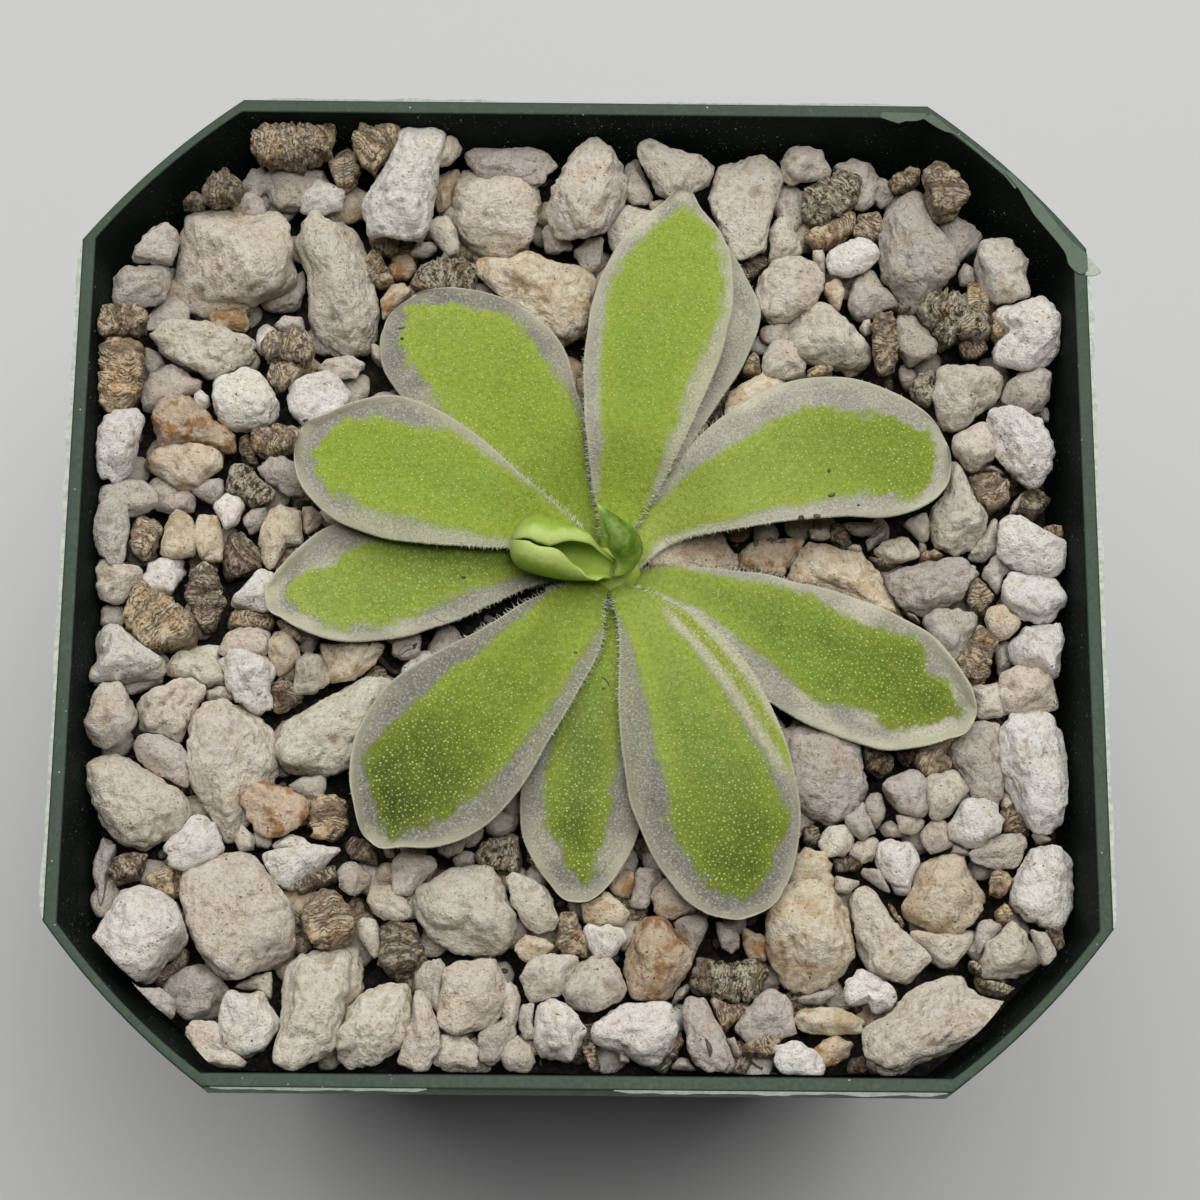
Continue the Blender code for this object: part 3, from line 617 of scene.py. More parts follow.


# Growing mix: a dark bed, stones and chips that stand out in the photograph, and small filling

# Each stone that shows: kind, depth of its top under the rim, then x and y of the corners of its
# outline as it lies in the photograph, read against a millimetre grid. Kinds are p pumice,
# w white, g grey, y yellowish and b brown pumice, and o orange, v brown, d dark and m mossy
# layered chips.
Stone = namedtuple("Stone", "kind x y length width turn depth corners", defaults=(None,))
OUTLINES = (
    ("v", 1.4, -31.1, 44.9, -29.4, 46.3, -26.5, 46.1, -24.3, 46.4, -22.7, 45.6, -23.6, 43.1, -26.2, 42,
     -29.3, 41.9, -30.9, 43.2),
    ("d", 3.5, -35.2, 39.3, -34.6, 40.7, -33.2, 41.4, -31.2, 39.9, -31.9, 38.3, -34.9, 37.9),
    ("g", 4.2, -30, 40.3, -28.9, 41.6, -24.2, 41.8, -23.4, 40.2, -25, 37.7, -28, 37.5),
    ("g", 5, -31.5, 39.9, -30.6, 41.3, -29.5, 41.5, -29, 39.5, -30.3, 38.3),
    ("w", 4, -25.9, 38.6, -24.9, 40, -23.2, 40.1, -22.1, 39.3, -22.3, 37.8, -24, 36.9, -25.9, 37.2),
    ("g", 4.2, -32.3, 37.4, -31.9, 38.3, -30.7, 38.9, -29.5, 38.3, -29.2, 37.1, -30.5, 36.4),
    ("d", 6, -37, 37.8, -36, 39, -34.8, 38.6, -35, 37.6),
    ("p", 3.2, -37, 35.6, -36.4, 37, -34.5, 37.5, -28.3, 37.6, -26.9, 36, -26.2, 31, -27.5, 29.2,
     -32.3, 27.3, -34.3, 27.2, -36.7, 28.5, -37.5, 30.5),
    ("p", 3.4, -26.7, 34, -26.2, 35.8, -24.6, 37, -22.4, 36.9, -20.6, 35.8, -19.2, 31.2, -18.6, 28,
     -19, 25, -21.2, 23.6, -23.6, 24.6, -25.1, 26.8, -25.2, 31.4),
    ("g", 4.6, -41.3, 32.2, -40.7, 34.3, -39.6, 35.6, -38.3, 36, -37.1, 35.2, -37.6, 31.9, -39.8, 32.1),
    ("g", 4.8, -43.1, 28.5, -42.9, 30.6, -41.8, 31.6, -38, 31.5, -37.4, 30.4, -38, 28.8, -40, 27.9,
     -42, 27.8),
    ("v", 5.6, -44.2, 26, -43.6, 27.6, -40.8, 27.8, -39.3, 27, -39.9, 25.2, -43.6, 24.8),
    ("g", 6.2, -39.7, 26.5, -38.2, 28.2, -36.8, 28.7, -35.6, 27.7, -35.8, 26.3, -38, 25.2, -39.5, 25.3),
    ("b", 5.5, -34, 26.7, -32.7, 27.3, -31, 27.7, -30.3, 26.5, -30.6, 25.4, -33.6, 25.9),
    ("g", 7.5, -29.5, 28.3, -26.9, 29.8, -25.6, 31.6, -25.3, 30, -25.9, 27.8, -28.4, 27.3),
    ("g", 5.2, -27.9, 26, -27.3, 26.9, -25.5, 26.7, -25.3, 25.5, -27.5, 25.4),
    ("o", 2, -21.6, 44.6, -21, 45.6, -17.6, 46.8, -17.1, 46, -17.1, 44.8, -18.2, 42.9, -19.6, 41.3,
     -20.6, 42, -21.4, 43.5),
    ("o", 3.4, -23.6, 42, -22.9, 42.8, -21.9, 43.6, -21.1, 42.9, -20.6, 41.5, -21.3, 40, -22.6, 39.4),
    ("w", 1.8, -20.8, 38.4, -18.7, 41.6, -17.9, 43, -16.9, 46.6, -15.4, 46.9, -13.6, 46.8, -12.7, 44.6,
     -13.3, 42.5, -14, 37, -14.4, 35.3, -15.5, 34.6, -19.9, 35.3, -20.2, 37),
    ("p", 3.2, -13.4, 43.5, -12.8, 45, -11.9, 44.8, -11.4, 43.9, -12.3, 42.4, -13.5, 41.8),
    ("g", 4.4, -11.3, 43.4, -10.4, 44.3, -5, 44, -3.4, 43.3, -2.5, 42, -4.2, 39.8, -10, 41),
    ("b", 5.2, -13.7, 40.7, -12.7, 41.4, -11.5, 42, -11.6, 40.5, -12.5, 38, -13.4, 37.3, -14, 39),
    ("p", 3.4, -12.2, 41, -11, 42.1, -8.5, 41.6, -7.3, 42.2, -5.9, 41.8, -4.7, 40.5, -4, 38.5,
     -4.8, 34.6, -6.3, 33.5, -8.4, 33.1, -10.5, 34, -12, 36, -12.7, 38.5),
    ("p", 4.8, -14.6, 35.6, -13.8, 36.6, -12.7, 37, -11.8, 35.5, -11.5, 33.5, -12.4, 33, -13.2, 34),
    ("v", 6.5, -19.8, 34.6, -18.5, 35, -17, 34.6, -17, 33.6, -17.8, 33, -19.2, 33.5),
    ("g", 6, -16, 33, -15.2, 34.2, -13.8, 34.2, -13.4, 33.5, -14.5, 32.8),
    ("b", 7, -17.8, 31.8, -17, 32.9, -15.9, 32.9, -15.3, 31.9, -16, 30.6, -17.3, 30.6),
    ("v", 5.4, -20, 32.5, -19.5, 33.8, -18.6, 33, -17.2, 30.3, -18.5, 29.8, -19.8, 30.6),
    ("m", 4.6, -15.9, 30.5, -15, 31.9, -13.4, 33, -11, 32.8, -9.6, 32, -9.9, 30.6, -10.2, 29, -13.6, 29,
     -15.8, 29.9),
    ("b", 6, -18.4, 28.2, -17.6, 29.9, -16.5, 30.3, -15.6, 29.3, -17, 28, -18.2, 26.5),
    ("p", 3, -3.7, 38.2, -2.2, 42, -1.2, 44.1, 1.1, 45.2, 3.3, 43, 3.9, 41, 3.5, 38.8, 2, 35.6, 0, 34.8,
     -1.8, 34.8, -3.1, 36),
    ("g", 5.6, -4, 35.5, -3, 36.3, -1.8, 35, -1, 34, -2.3, 33.3, -3.6, 33.6),
    ("g", 5.2, -0.9, 33.5, 0.3, 34.6, 1.7, 34.6, 1.4, 32, 0, 31.8),
    ("y", 3.8, -9.8, 33.2, -7, 32.7, -5.2, 33.6, -3, 32.6, -0.2, 32.2, 1.4, 30.6, 0.9, 28, 0.2, 25.6,
     -2, 24.6, -5, 26, -7.5, 28.7, -9.8, 31),
    ("g", 4.8, 3.3, 40.5, 3.7, 42.6, 4.8, 43.2, 5.7, 40.2, 6.2, 38.5, 4.5, 38, 3.5, 39),
    ("p", 3, 4.7, 43.2, 5, 44.6, 5.7, 45.1, 8, 43.8, 10.8, 43.6, 11.8, 42.4, 11.2, 40.5, 8.7, 38.8,
     7.4, 39.2, 5.9, 41),
    ("p", 4.6, 2.4, 37, 3.2, 38, 4.8, 38.1, 6.2, 37.6, 6.6, 36, 5, 33.8, 3, 33.2, 2, 34.8),
    ("p", 5, 5.9, 38.2, 6.6, 38.6, 7.4, 38.4, 7.2, 37.4, 6.2, 37.4),
    ("p", 2.8, 11.3, 38.6, 12, 42.2, 14.6, 43.1, 16.6, 43.6, 17.8, 43, 18.5, 41.3, 17.9, 40, 16.8, 36,
     16.7, 34.2, 15.8, 33.4, 14, 32.8, 12.8, 34.5, 12, 37),
    ("p", 4.2, 18, 43.2, 18.8, 44.2, 19.8, 44.4, 21.3, 43.8, 22.4, 42.5, 22.2, 41.6, 19, 40.6,
     18.2, 41.5),
    ("g", 5.6, 17.2, 38.5, 17.8, 40, 19, 40.5, 20, 39.6, 20, 37, 19.3, 35.6, 18, 36.3),
    ("m", 3.8, 19.8, 37.6, 20, 39.6, 21.3, 40.8, 24.2, 41.8, 25.6, 41, 25.2, 39, 23.6, 37.3, 22, 36.4,
     20.6, 36.5),
    ("g", 4.4, 22.8, 42.1, 24.5, 42.9, 26.4, 42.5, 26.9, 41, 26.3, 38.6, 24.5, 37.9, 24.5, 40),
    ("o", 4.6, 19.9, 34.8, 20.3, 35.7, 22, 36.2, 24.4, 38, 25, 37.2, 24.5, 35.8, 22.4, 34.3, 21.2, 34),
    ("v", 5, 24.4, 35.5, 25, 37.3, 27, 37.9, 27.3, 36.5, 26.9, 35, 25.5, 34.8),
    ("p", 4.9, 16.9, 36, 17.6, 37, 18.6, 36.9, 19.4, 35.5, 19.6, 33.8, 18.5, 33, 16.6, 32.7, 17, 34),
    ("d", 6.8, 13.8, 31.6, 15, 33.2, 16.5, 33, 16.8, 32, 15.4, 31.2, 14.6, 30.3),
    ("p", 3.4, 15.4, 29.6, 16, 31.5, 17.5, 32.9, 19.5, 33.5, 21, 33.1, 21.9, 31.6, 21.8, 30, 20.6, 28.4,
     18.6, 26.9, 17, 26.8, 15.7, 27.8),
    ("p", 5, 20.7, 33.6, 21.7, 33.9, 22, 32.8, 21.8, 31.6, 21, 32.5),
    ("w", 4, 22, 32.5, 22.2, 33.8, 24.8, 35.3, 25.8, 35.2, 26.8, 34.1, 26.9, 33.1, 25.5, 32.1,
     23.5, 31.3, 22.4, 31.5),
    ("y", 5.2, 21.6, 29.9, 22.6, 30.8, 23.3, 30.8, 23.6, 29.6, 23.2, 28, 22.5, 28.5),
    ("g", 4.8, 24, 28.2, 24.2, 30, 24.9, 31.3, 26.3, 31.9, 27.2, 30.6, 28.3, 29.2, 28, 28.6, 26, 27.6,
     24.8, 27.2),
    ("p", 3.8, 18.3, 26, 18.8, 27.5, 20.5, 28.8, 22.4, 28.6, 24.8, 26, 26.1, 24.4, 26, 23.2, 24.5, 22.6,
     22, 22.8, 19.5, 23.6, 18.5, 24.8),
    ("p", 5.6, 16, 25.8, 16.5, 26.3, 18.4, 26.7, 18.3, 25.9, 18.7, 24.9, 17, 24.7, 16.1, 24.9),
    ("p", 5.2, 24.9, 26.2, 25.3, 26.9, 25.8, 26.8, 26.1, 25.9, 25.5, 25.5),
    ("g", 5.6, 26.6, 41.3, 28, 40.6, 28.3, 39.2, 27.3, 38.4, 26.4, 38.7),
    ("v", 4.4, 27.8, 40.6, 28.6, 41.5, 29.8, 42.1, 30.8, 41.9, 30.6, 40.5, 29, 40, 28.2, 39.6),
    ("v", 3, 31, 42, 32.2, 43.1, 33.2, 42.6, 35.3, 40.8, 35.3, 39.6, 34.2, 38, 33, 37.4, 32, 37.4,
     31.5, 39),
    ("g", 2.6, 27.1, 37.2, 27.6, 38.3, 29, 39.6, 30.3, 40.2, 31, 39.9, 32.3, 36, 34.2, 33, 33.8, 31.5,
     30.8, 28.6, 30, 28, 28.2, 29.8, 27, 31.6, 26.9, 34),
    ("g", 4.6, 32, 36.9, 34, 37.3, 35.5, 36.5, 36.2, 35.5, 35.8, 34.4, 34.6, 33.5, 33.5, 32.2, 32.8, 34),
    ("g", 5.6, 34, 31.5, 34.6, 32.6, 35.5, 32, 35.6, 30.8, 34.2, 30.5),
    ("p", 4, 35.6, 33, 36, 34.7, 36.7, 35.4, 39, 35.5, 40.4, 33.1, 40.1, 31.6, 40.8, 29.7, 39, 29.3,
     37.5, 29, 36.2, 30.2),
    ("o", 4.2, 34.6, 29, 34.9, 30.4, 35.7, 30.7, 36.6, 29.8, 37, 28.4, 36, 27.8, 34.8, 27.9),
    ("o", 4.4, 36.8, 27.6, 37.8, 28, 38.6, 26.8, 38.8, 25.6, 37.6, 24.9, 36.9, 25.8),
    ("m", 3.4, 30.2, 28.3, 31, 29.6, 33, 30, 34.6, 29.8, 35, 28.2, 37, 27.4, 36.9, 25.8, 35.5, 25.2,
     33.9, 25.4, 32.8, 24.5, 31.8, 25.8, 30.8, 27),
    ("d", 5.8, 33.8, 24.4, 34.4, 25.3, 36, 25.4, 36.6, 24.4, 35.5, 23.4, 34.4, 23.5),
    ("g", 5, 28.1, 26.8, 28.5, 27.4, 30, 27.7, 31.2, 26, 32, 24.3, 31, 23.2, 29.3, 22.8, 28.6, 24),
    ("v", 4, 26, 26.9, 26.5, 27.9, 28, 27.9, 28.6, 24, 28.1, 22.6, 26.8, 21.8, 26.2, 23.5),
    ("d", 5, 27.9, 28, 28.5, 28.4, 29.7, 28.2, 29.2, 27.6),
    ("w", 3.4, 37.2, 27.8, 38, 28.9, 41.7, 29.7, 42.6, 28.9, 43.4, 28, 43.4, 26.6, 43, 24.4, 41.8, 23,
     39.7, 22.4, 38, 22.7, 37, 23.6, 37.1, 24.8, 38.6, 25.9),
    ("o", 3.6, -43.9, 23.5, -43.2, 24.5, -41.5, 24.8, -40, 24.5, -39.6, 23.4, -40, 19.6, -40.9, 18.3,
     -42, 17.4, -43, 17.8, -43.9, 19.1, -43.8, 21.5),
    ("p", 4, -39.1, 24.3, -38.6, 25.5, -37.2, 26.3, -34, 26.2, -31, 25.2, -29.4, 24.2, -29.6, 22.9,
     -31.5, 21.4, -33.6, 20.6, -35.2, 21.5, -37.5, 22.6),
    ("g", 5, -39.5, 20, -38.8, 21.2, -37.5, 21.9, -36.2, 21.7, -34.5, 20.6, -34.5, 19.8, -38.2, 18,
     -39.3, 17.5, -39.8, 18.8),
    ("g", 6.4, -39.4, 23.5, -38.2, 23, -37.6, 21.9, -38.7, 21, -39.5, 21.5),
    ("w", 5.4, -35, 19, -34.3, 19.6, -33.6, 19, -33.6, 18.2, -34.5, 17.7),
    ("w", 3.8, -33.4, 20, -32.8, 21, -30.5, 21.7, -29.4, 21.4, -27.6, 19.2, -27.3, 17.9, -28, 16.6,
     -29.5, 16.1, -31.4, 16, -32.8, 17),
    ("v", 3.6, -29.3, 24.2, -28.6, 25.3, -26.4, 25.7, -24.6, 24.8, -24.2, 23.4, -25.2, 22.4, -28.5, 22.6),
    ("v", 4.4, -28.6, 20.9, -28.2, 22, -26.8, 22.4, -25, 21.8, -25.6, 20.8, -27.2, 19.6),
    ("w", 4.2, -26.6, 19, -26.2, 20.3, -25, 21.1, -23.4, 21.6, -22, 21.2, -21, 19.5, -21.6, 17.5,
     -24.8, 16.4, -26, 17),
    ("p", 5.6, -24.2, 22, -23.3, 22.9, -21, 23, -19.6, 22.4, -20.5, 20.8, -22, 21),
    ("b", 3.6, -38.7, 16.8, -37.9, 18.7, -36.4, 19.4, -35.3, 19.3, -33, 16.9, -31.3, 16, -31, 13.6,
     -33, 14.4, -35, 14.4, -37.8, 13.8),
    ("y", 4.4, -39.6, 12.9, -38.4, 14.3, -34.5, 14.4, -32.3, 13.8, -32, 12.2, -34.6, 10.4, -36.2, 10.5,
     -37.9, 11.6),
    ("w", 3.8, -43.6, 13, -43.4, 16, -42.8, 17.2, -41, 17.8, -39.9, 18, -39.3, 17, -40.3, 12,
     -41.5, 10.9, -43, 11.3),
    ("v", 4.6, -29.8, 15.7, -28, 16.4, -26, 16.3, -24.8, 15.8, -25.3, 14.2, -28.3, 13.3, -29.6, 14),
    ("d", 6, -30.8, 15, -30, 15.7, -29.5, 14, -28.9, 12.8, -29.7, 12.6, -30.6, 13.5),
    ("g", 4.8, -29, 12.2, -28, 13.4, -25.3, 12.8, -25, 11.5, -24.8, 9.9, -26.3, 10, -28.2, 11.2),
    ("m", 4.4, -31.8, 11.5, -31.2, 12.5, -29.8, 12.4, -28.9, 11.5, -27.3, 10, -27.5, 9.2, -29.5, 8.6,
     -30.4, 9.6, -31.7, 10),
    ("g", 5.4, -34.8, 10, -33.4, 11, -32.1, 11.2, -31.9, 9.8, -32.8, 9, -34, 9.4),
    ("g", 5.6, -43.2, 9.6, -42.9, 10.5, -39, 10.7, -37.9, 9.9, -37.6, 8.6, -39, 8, -41.5, 7.5, -43, 8.4),
    ("g", 5.8, -38, 9.4, -36.9, 10, -35.4, 10.2, -34.4, 9.5, -34.6, 8.2, -36.5, 8, -38, 8.2),
    ("g", 4, -43, 8.5, -42.2, 9.9, -41, 9.6, -40.3, 8.5, -40.4, 3.3, -41.5, 2.8, -42.6, 4, -43.4, 5.6),
    ("o", 4.6, -39.8, 6.8, -39.2, 7.6, -38, 7.5, -37.1, 6.6, -37.6, 5, -38.6, 3.7, -39.5, 3.8, -40.1, 5),
    ("y", 4.4, -37, 5.4, -36.7, 7.9, -36, 8.5, -34.6, 7.5, -34.1, 5.6, -34.2, 4, -36, 3.6, -37.2, 3.9),
    ("y", 4.6, -34.3, 5.5, -34.2, 7.6, -32.4, 7.8, -31.9, 5.8, -31.8, 3.6, -33.6, 3.5),
    ("w", 4.6, -32.8, 8.8, -31.6, 9.8, -30.4, 9.5, -30, 8.6, -30.6, 7, -31.6, 6.2),
    ("g", 5.4, -30.1, 7.4, -29.2, 8.3, -28, 8.4, -28.2, 7, -29.4, 5.9),
    ("d", 5.6, -31.8, 3, -31.7, 5.6, -30.2, 6.4, -28.9, 5, -28, 4.2, -28.4, 2.9, -31.4, 2),
    ("y", 4.2, -28.3, 6.5, -27.9, 8.2, -26.9, 9.2, -25.8, 9, -25, 8.2, -25.1, 5.4, -26.2, 5.2,
     -27.3, 2.6, -28.3, 3.4, -28.6, 5.5),
    ("y", 5.4, -25, 8.6, -24, 8.6, -23, 7.7, -23.4, 6.8, -24.6, 6.2),
    ("p", 4.6, -43, 2.6, -42.4, 3.4, -40, 3, -38.8, 2.7, -38.7, 1.9, -40.4, -0.4, -41.6, -0.6,
     -42.7, 0.6),
    ("w", 4.8, -38.7, 1.6, -38.2, 3.1, -37.2, 3.8, -35.6, 3.7, -35.2, 2.4, -36, 0.3, -38, 0.6),
    ("o", 3.2, -39.6, 0.8, -38.3, 1.2, -36.8, 0.5, -34.2, -1.6, -33.6, -3, -34, -4.2, -35.5, -4.6,
     -37.6, -4.8, -40.2, -2.9, -40.1, -1),
    ("d", 4.2, -35, 0.5, -34.6, 2.4, -33.3, 3.6, -32.2, 2.7, -31.4, -0.5, -32.4, -2.6, -33.4, -2.9,
     -34.2, -1.3),
    ("w", 4.4, -31.1, -0.1, -29.6, 1.6, -28.5, 2.9, -27.4, 2.6, -26, 1.5, -26.5, -0.6, -28, -1.1,
     -30.7, -0.6),
    ("v", 5.6, -31.2, -1.9, -30.6, -1.1, -27.2, -1.2, -26.9, -2, -27.5, -2.7, -31, -2.7),
    ("v", 5, -26.9, -1.9, -26.1, -2, -24.2, -3.5, -24.6, -4, -26.1, -3.2),
    ("g", 6, -42.4, -1.5, -41.8, -0.9, -40.5, -0.9, -40, -1.8, -40.4, -2.7, -42.2, -2.6),
    ("w", 3.8, -43, -3.8, -42.2, -2.5, -41.2, -2.4, -38, -4.4, -36.2, -5.8, -36.3, -6.8, -39.5, -7.4,
     -43, -7.8, -43.2, -6.6, -42.5, -5.4),
    ("g", 5.6, -41, -7.6, -38.5, -6.9, -36.6, -7, -36.6, -7.7, -39.2, -8.8),
    ("p", 4.8, -36.4, -6.3, -35.6, -5.3, -33.8, -4.3, -32, -4.4, -30.9, -7.6, -32.8, -8, -34, -7.2,
     -36, -7.1),
    ("p", 4.6, -31.6, -4.2, -31.1, -3.1, -29.8, -2.6, -27.4, -2.9, -27.5, -5, -31.5, -5.2),
    ("w", 3.8, -31.8, -5.4, -31, -4.6, -27.6, -5.1, -26.8, -6.4, -27.2, -7.7, -27.1, -9.5, -28, -10,
     -29.4, -9.6, -30.7, -8.2),
    ("y", 4.8, -27.7, -4.3, -27, -3.1, -26.2, -2.9, -24.9, -4.2, -24.6, -5.2, -25.9, -6.6, -26.7, -6.7),
    ("g", 5, -24.8, -5.9, -24, -4.9, -22.8, -5.1, -22.3, -6.2, -22, -7.5, -23.5, -8.5, -25, -8.4),
    ("d", 6, -27.2, -8.6, -26.2, -6.7, -25.4, -7.2, -24.1, -9, -26.6, -10.6),
    ("p", 4.2, -43.6, -11.4, -42.6, -9, -41.9, -7.9, -40.2, -7.9, -38.8, -10.2, -38.6, -11.6,
     -39.8, -12.9, -41.4, -13.6, -42.7, -12.6),
    ("p", 4, -38.7, -9.6, -38, -8.8, -35.4, -7.3, -33.6, -7.3, -32.7, -8.2, -34, -10.4, -34.9, -12.9,
     -36, -12.3, -38.4, -12),
    ("p", 5.8, -32.8, -8.5, -31.5, -8.1, -30.5, -8.3, -30.3, -9.2, -32.6, -9.2),
    ("p", 3.4, -42.9, -17, -42.7, -15, -41.3, -14.2, -39.4, -14.3, -37.9, -15.4, -34.2, -17.5,
     -33.4, -19.1, -34.4, -21, -37.3, -22.6, -39.3, -22.1, -41.2, -20.4),
    ("g", 4.2, -39.1, -13.4, -38.2, -12.3, -36.4, -12.3, -33.6, -14.4, -33.4, -15.9, -34.1, -17.3,
     -36.4, -15.9, -37.9, -15),
    ("p", 3.4, -34.2, -11.8, -33.6, -9.9, -31.3, -8.9, -27.7, -10.4, -26.7, -11.8, -26.5, -15.5,
     -27.2, -18, -30.2, -22.3, -31.2, -20.8, -33.8, -16.9, -34, -14),
    ("p", 3.8, -26.6, -13.9, -26.3, -11, -24.5, -9.6, -19.5, -7.2, -18.5, -6.5, -16.6, -6.8, -16, -9,
     -17, -13, -19.5, -15, -21.5, -16, -25.8, -15.4),
    ("g", 5.2, -25.1, -16.9, -24.2, -16.2, -22, -16, -22.3, -18, -23.6, -18),
    ("b", 3.8, -29.3, -18.2, -28.5, -17.2, -27.4, -16.6, -25.8, -16.9, -23.6, -18.2, -23.4, -19.6,
     -24.4, -21, -26.2, -21.5, -27.8, -20.7),
    ("o", 4.4, -23.5, -18.6, -22.4, -17.9, -20.9, -17.7, -20, -18.6, -20, -20.6, -21.2, -21.8,
     -22.9, -21.6),
    ("w", 4, -33.5, -19.7, -32.7, -19.5, -31.7, -20, -30.6, -22.4, -31, -23.1, -33.9, -24.6, -35, -23.9,
     -35.7, -22.6),
    ("p", 5, -29.7, -21.5, -29.1, -20.5, -28, -21.6, -28.1, -22.5, -29.2, -22.7),
    ("g", 5.6, -28, -21.2, -27.2, -20.9, -26.5, -21.6, -26.6, -22.4, -27.8, -22.3),
    ("w", 5, -26.4, -21.9, -24.9, -21.3, -23.6, -21.7, -22.9, -22.3, -24, -22.7, -26.2, -22.6),
    ("w", 4.2, -27.5, -22.8, -26, -22.4, -22.2, -22.2, -20.4, -22.6, -22, -24.2, -24.6, -26, -26, -25.6,
     -27.2, -23.6),
    ("d", 4.8, -40.5, -24.7, -39.9, -23.5, -38.5, -22.9, -37, -23, -37.9, -25.2, -39.6, -25.7),
    ("o", 4.8, -37.4, -25.4, -35.6, -24.4, -34.7, -24.2, -34.6, -26.9, -35.4, -26.7),
    ("g", 6.2, -41.6, -23, -40.9, -21.5, -39.6, -22.4, -40.3, -24, -40.7, -28.5, -41.7, -25),
    ("w", 3.2, -41.7, -31, -40, -27.6, -39.4, -26, -38, -25.6, -36.6, -25.9, -34.4, -27.4, -33.3, -30,
     -34.7, -31.8, -36.4, -34, -38, -34.5, -39.9, -34, -41, -32.8),
    ("p", 3, -34.3, -26.2, -34.2, -24.7, -32.8, -23.8, -30, -22.7, -28.2, -22.8, -24.2, -27.4,
     -24.3, -29, -24, -31.4, -27, -33.3, -29, -34.3, -30.4, -33.9, -32.2, -32, -33.3, -29.8),
    ("o", 3.6, -23.7, -29, -23.5, -27.3, -22.3, -26, -20.8, -26.2, -19.6, -27.3, -19, -29, -19.3, -30.3,
     -21, -31.4, -22.7, -31),
    ("d", 5.2, -24.5, -25.8, -22.5, -24.4, -21, -23.9, -20.6, -25, -22.5, -25.9, -24, -26.6),
    ("d", 5.2, -36.2, -34, -35.3, -33.4, -33.8, -31.3, -33.1, -31.5, -33.4, -32.7, -35.6, -34.6),
    ("g", 5, -39, -34.7, -35.4, -34.8, -34.2, -35.8, -34.2, -37, -35.2, -37.8, -36.4, -37.4, -36.8, -36),
    ("g", 5.4, -35.2, -34.6, -33.8, -33.2, -32.3, -32.4, -31, -33.4, -29.7, -34.8, -30.3, -36.4,
     -31, -37, -33.2, -37.5, -34.3, -36.5),
    ("w", 3.8, -30.3, -36.3, -29.6, -35, -27, -34.9, -25.9, -36.4, -25.5, -38, -26.4, -39.8, -28, -40.6,
     -29.6, -40.2, -30.3, -38.3),
    ("p", 4.6, -33.1, -38.3, -32.6, -37.5, -30.3, -37.9, -29.8, -40, -27.6, -40.7, -28.2, -41.6,
     -32, -41.2, -32.9, -39.9),
    ("g", 5.8, -29.5, -34.6, -27.5, -33.6, -26, -33.2, -26, -35.8, -27.3, -34.8),
    ("p", 3.2, -25.2, -34, -24.9, -32.5, -23.8, -31.5, -19.4, -30.6, -18.4, -31.5, -18.3, -34.6,
     -19.6, -36, -20.5, -40, -22, -41, -24.3, -41.9, -25.8, -41, -25.3, -37.8),
    ("p", 5.2, -20.7, -24.4, -20, -23.7, -18.9, -23.8, -17.7, -24.8, -19.2, -26.4, -20.4, -25.8),
    ("p", 4.6, -15.9, -23.6, -15, -22.8, -12.6, -23, -12.1, -24, -13.6, -25.2, -14.4, -26.5, -16, -26.5),
    ("p", 5, -18.3, -27, -17.8, -25.6, -16.2, -25.6, -14.6, -27.2, -14.2, -28.5, -15.6, -28.8,
     -17.3, -28.2),
    ("p", 4.8, -19, -29, -18.4, -28.5, -17.3, -28.8, -16.9, -30, -16.9, -31.6, -17.4, -32, -18.7, -30.2),
    ("d", 4.2, -17, -30, -16.4, -28.9, -14.2, -28.9, -13.5, -30, -13.3, -31.5, -14, -32.9, -15.8, -33.2,
     -17, -32.3),
    ("d", 6.5, -16.9, -32.7, -14.3, -33, -13.8, -33.8, -15.4, -34),
    ("p", 3.2, -14.3, -27.5, -13.9, -25.8, -11, -24.2, -9.4, -23.8, -7.5, -24, -6.6, -25.2, -5.2, -28.4,
     -5.6, -30.8, -7, -31.6, -10.2, -31.4, -12.2, -30.4, -13.5, -29.2),
    ("p", 6, -12.6, -21.8, -12, -22.8, -11.3, -23.2, -10.2, -22.6, -9.4, -21.4, -11, -21),
    ("g", 6.2, -11, -23.2, -10, -22.6, -9, -22.9, -9.1, -23.7, -10.5, -24),
    ("m", 5.6, -9, -23, -8.4, -22, -7.4, -21.2, -5.5, -21, -4.9, -23, -5.2, -24.5, -6.6, -24.4,
     -8.5, -23.8),
    ("p", 4.2, -6.4, -25.1, -5.7, -24.4, -4.5, -24.7, -3, -25.6, -1.6, -28.5, -2.2, -29.5, -3.6, -29.8,
     -4.7, -29, -5.5, -27.2),
    ("y", 4.8, -5.6, -30.9, -4.5, -29.9, -2.8, -30.3, -1.9, -31, -3.7, -32, -4.8, -32.1),
    ("v", 4.8, -2, -30.8, -1.6, -27.9, -0.3, -27.8, 0.7, -30.5, 0.6, -31.7, -1.3, -31.6),
    ("y", 5, 0.1, -27.2, 1.2, -26.7, 2.3, -26.1, 3.6, -26.9, 4.4, -27.9, 3.9, -29, 0.6, -28.8),
    ("w", 4.8, 0.5, -30, 1, -29, 3.9, -29.2, 3.9, -30.3, 2.8, -31.8, 1.4, -31.5),
    ("p", 3.8, -1.4, -34.8, -0.6, -33.5, 0, -32.3, 1.2, -31.6, 2.5, -31.8, 3.6, -32.8, 4.1, -34.2,
     3.6, -35.4, 2.4, -36.1, 1, -36.4, -0.3, -36),
    ("p", 4.4, -4.9, -33.4, -4.3, -32.3, -3.2, -31.6, 0.3, -31.8, -0.2, -32.8, -1.6, -35, -4, -35.5),
    ("w", 3.6, -3.7, -37.2, -3.4, -35.8, -2.2, -35.2, -0.8, -35.9, 0.9, -37.9, 0.3, -38.9, -0.5, -40.8,
     -3, -40, -3.6, -38.9),
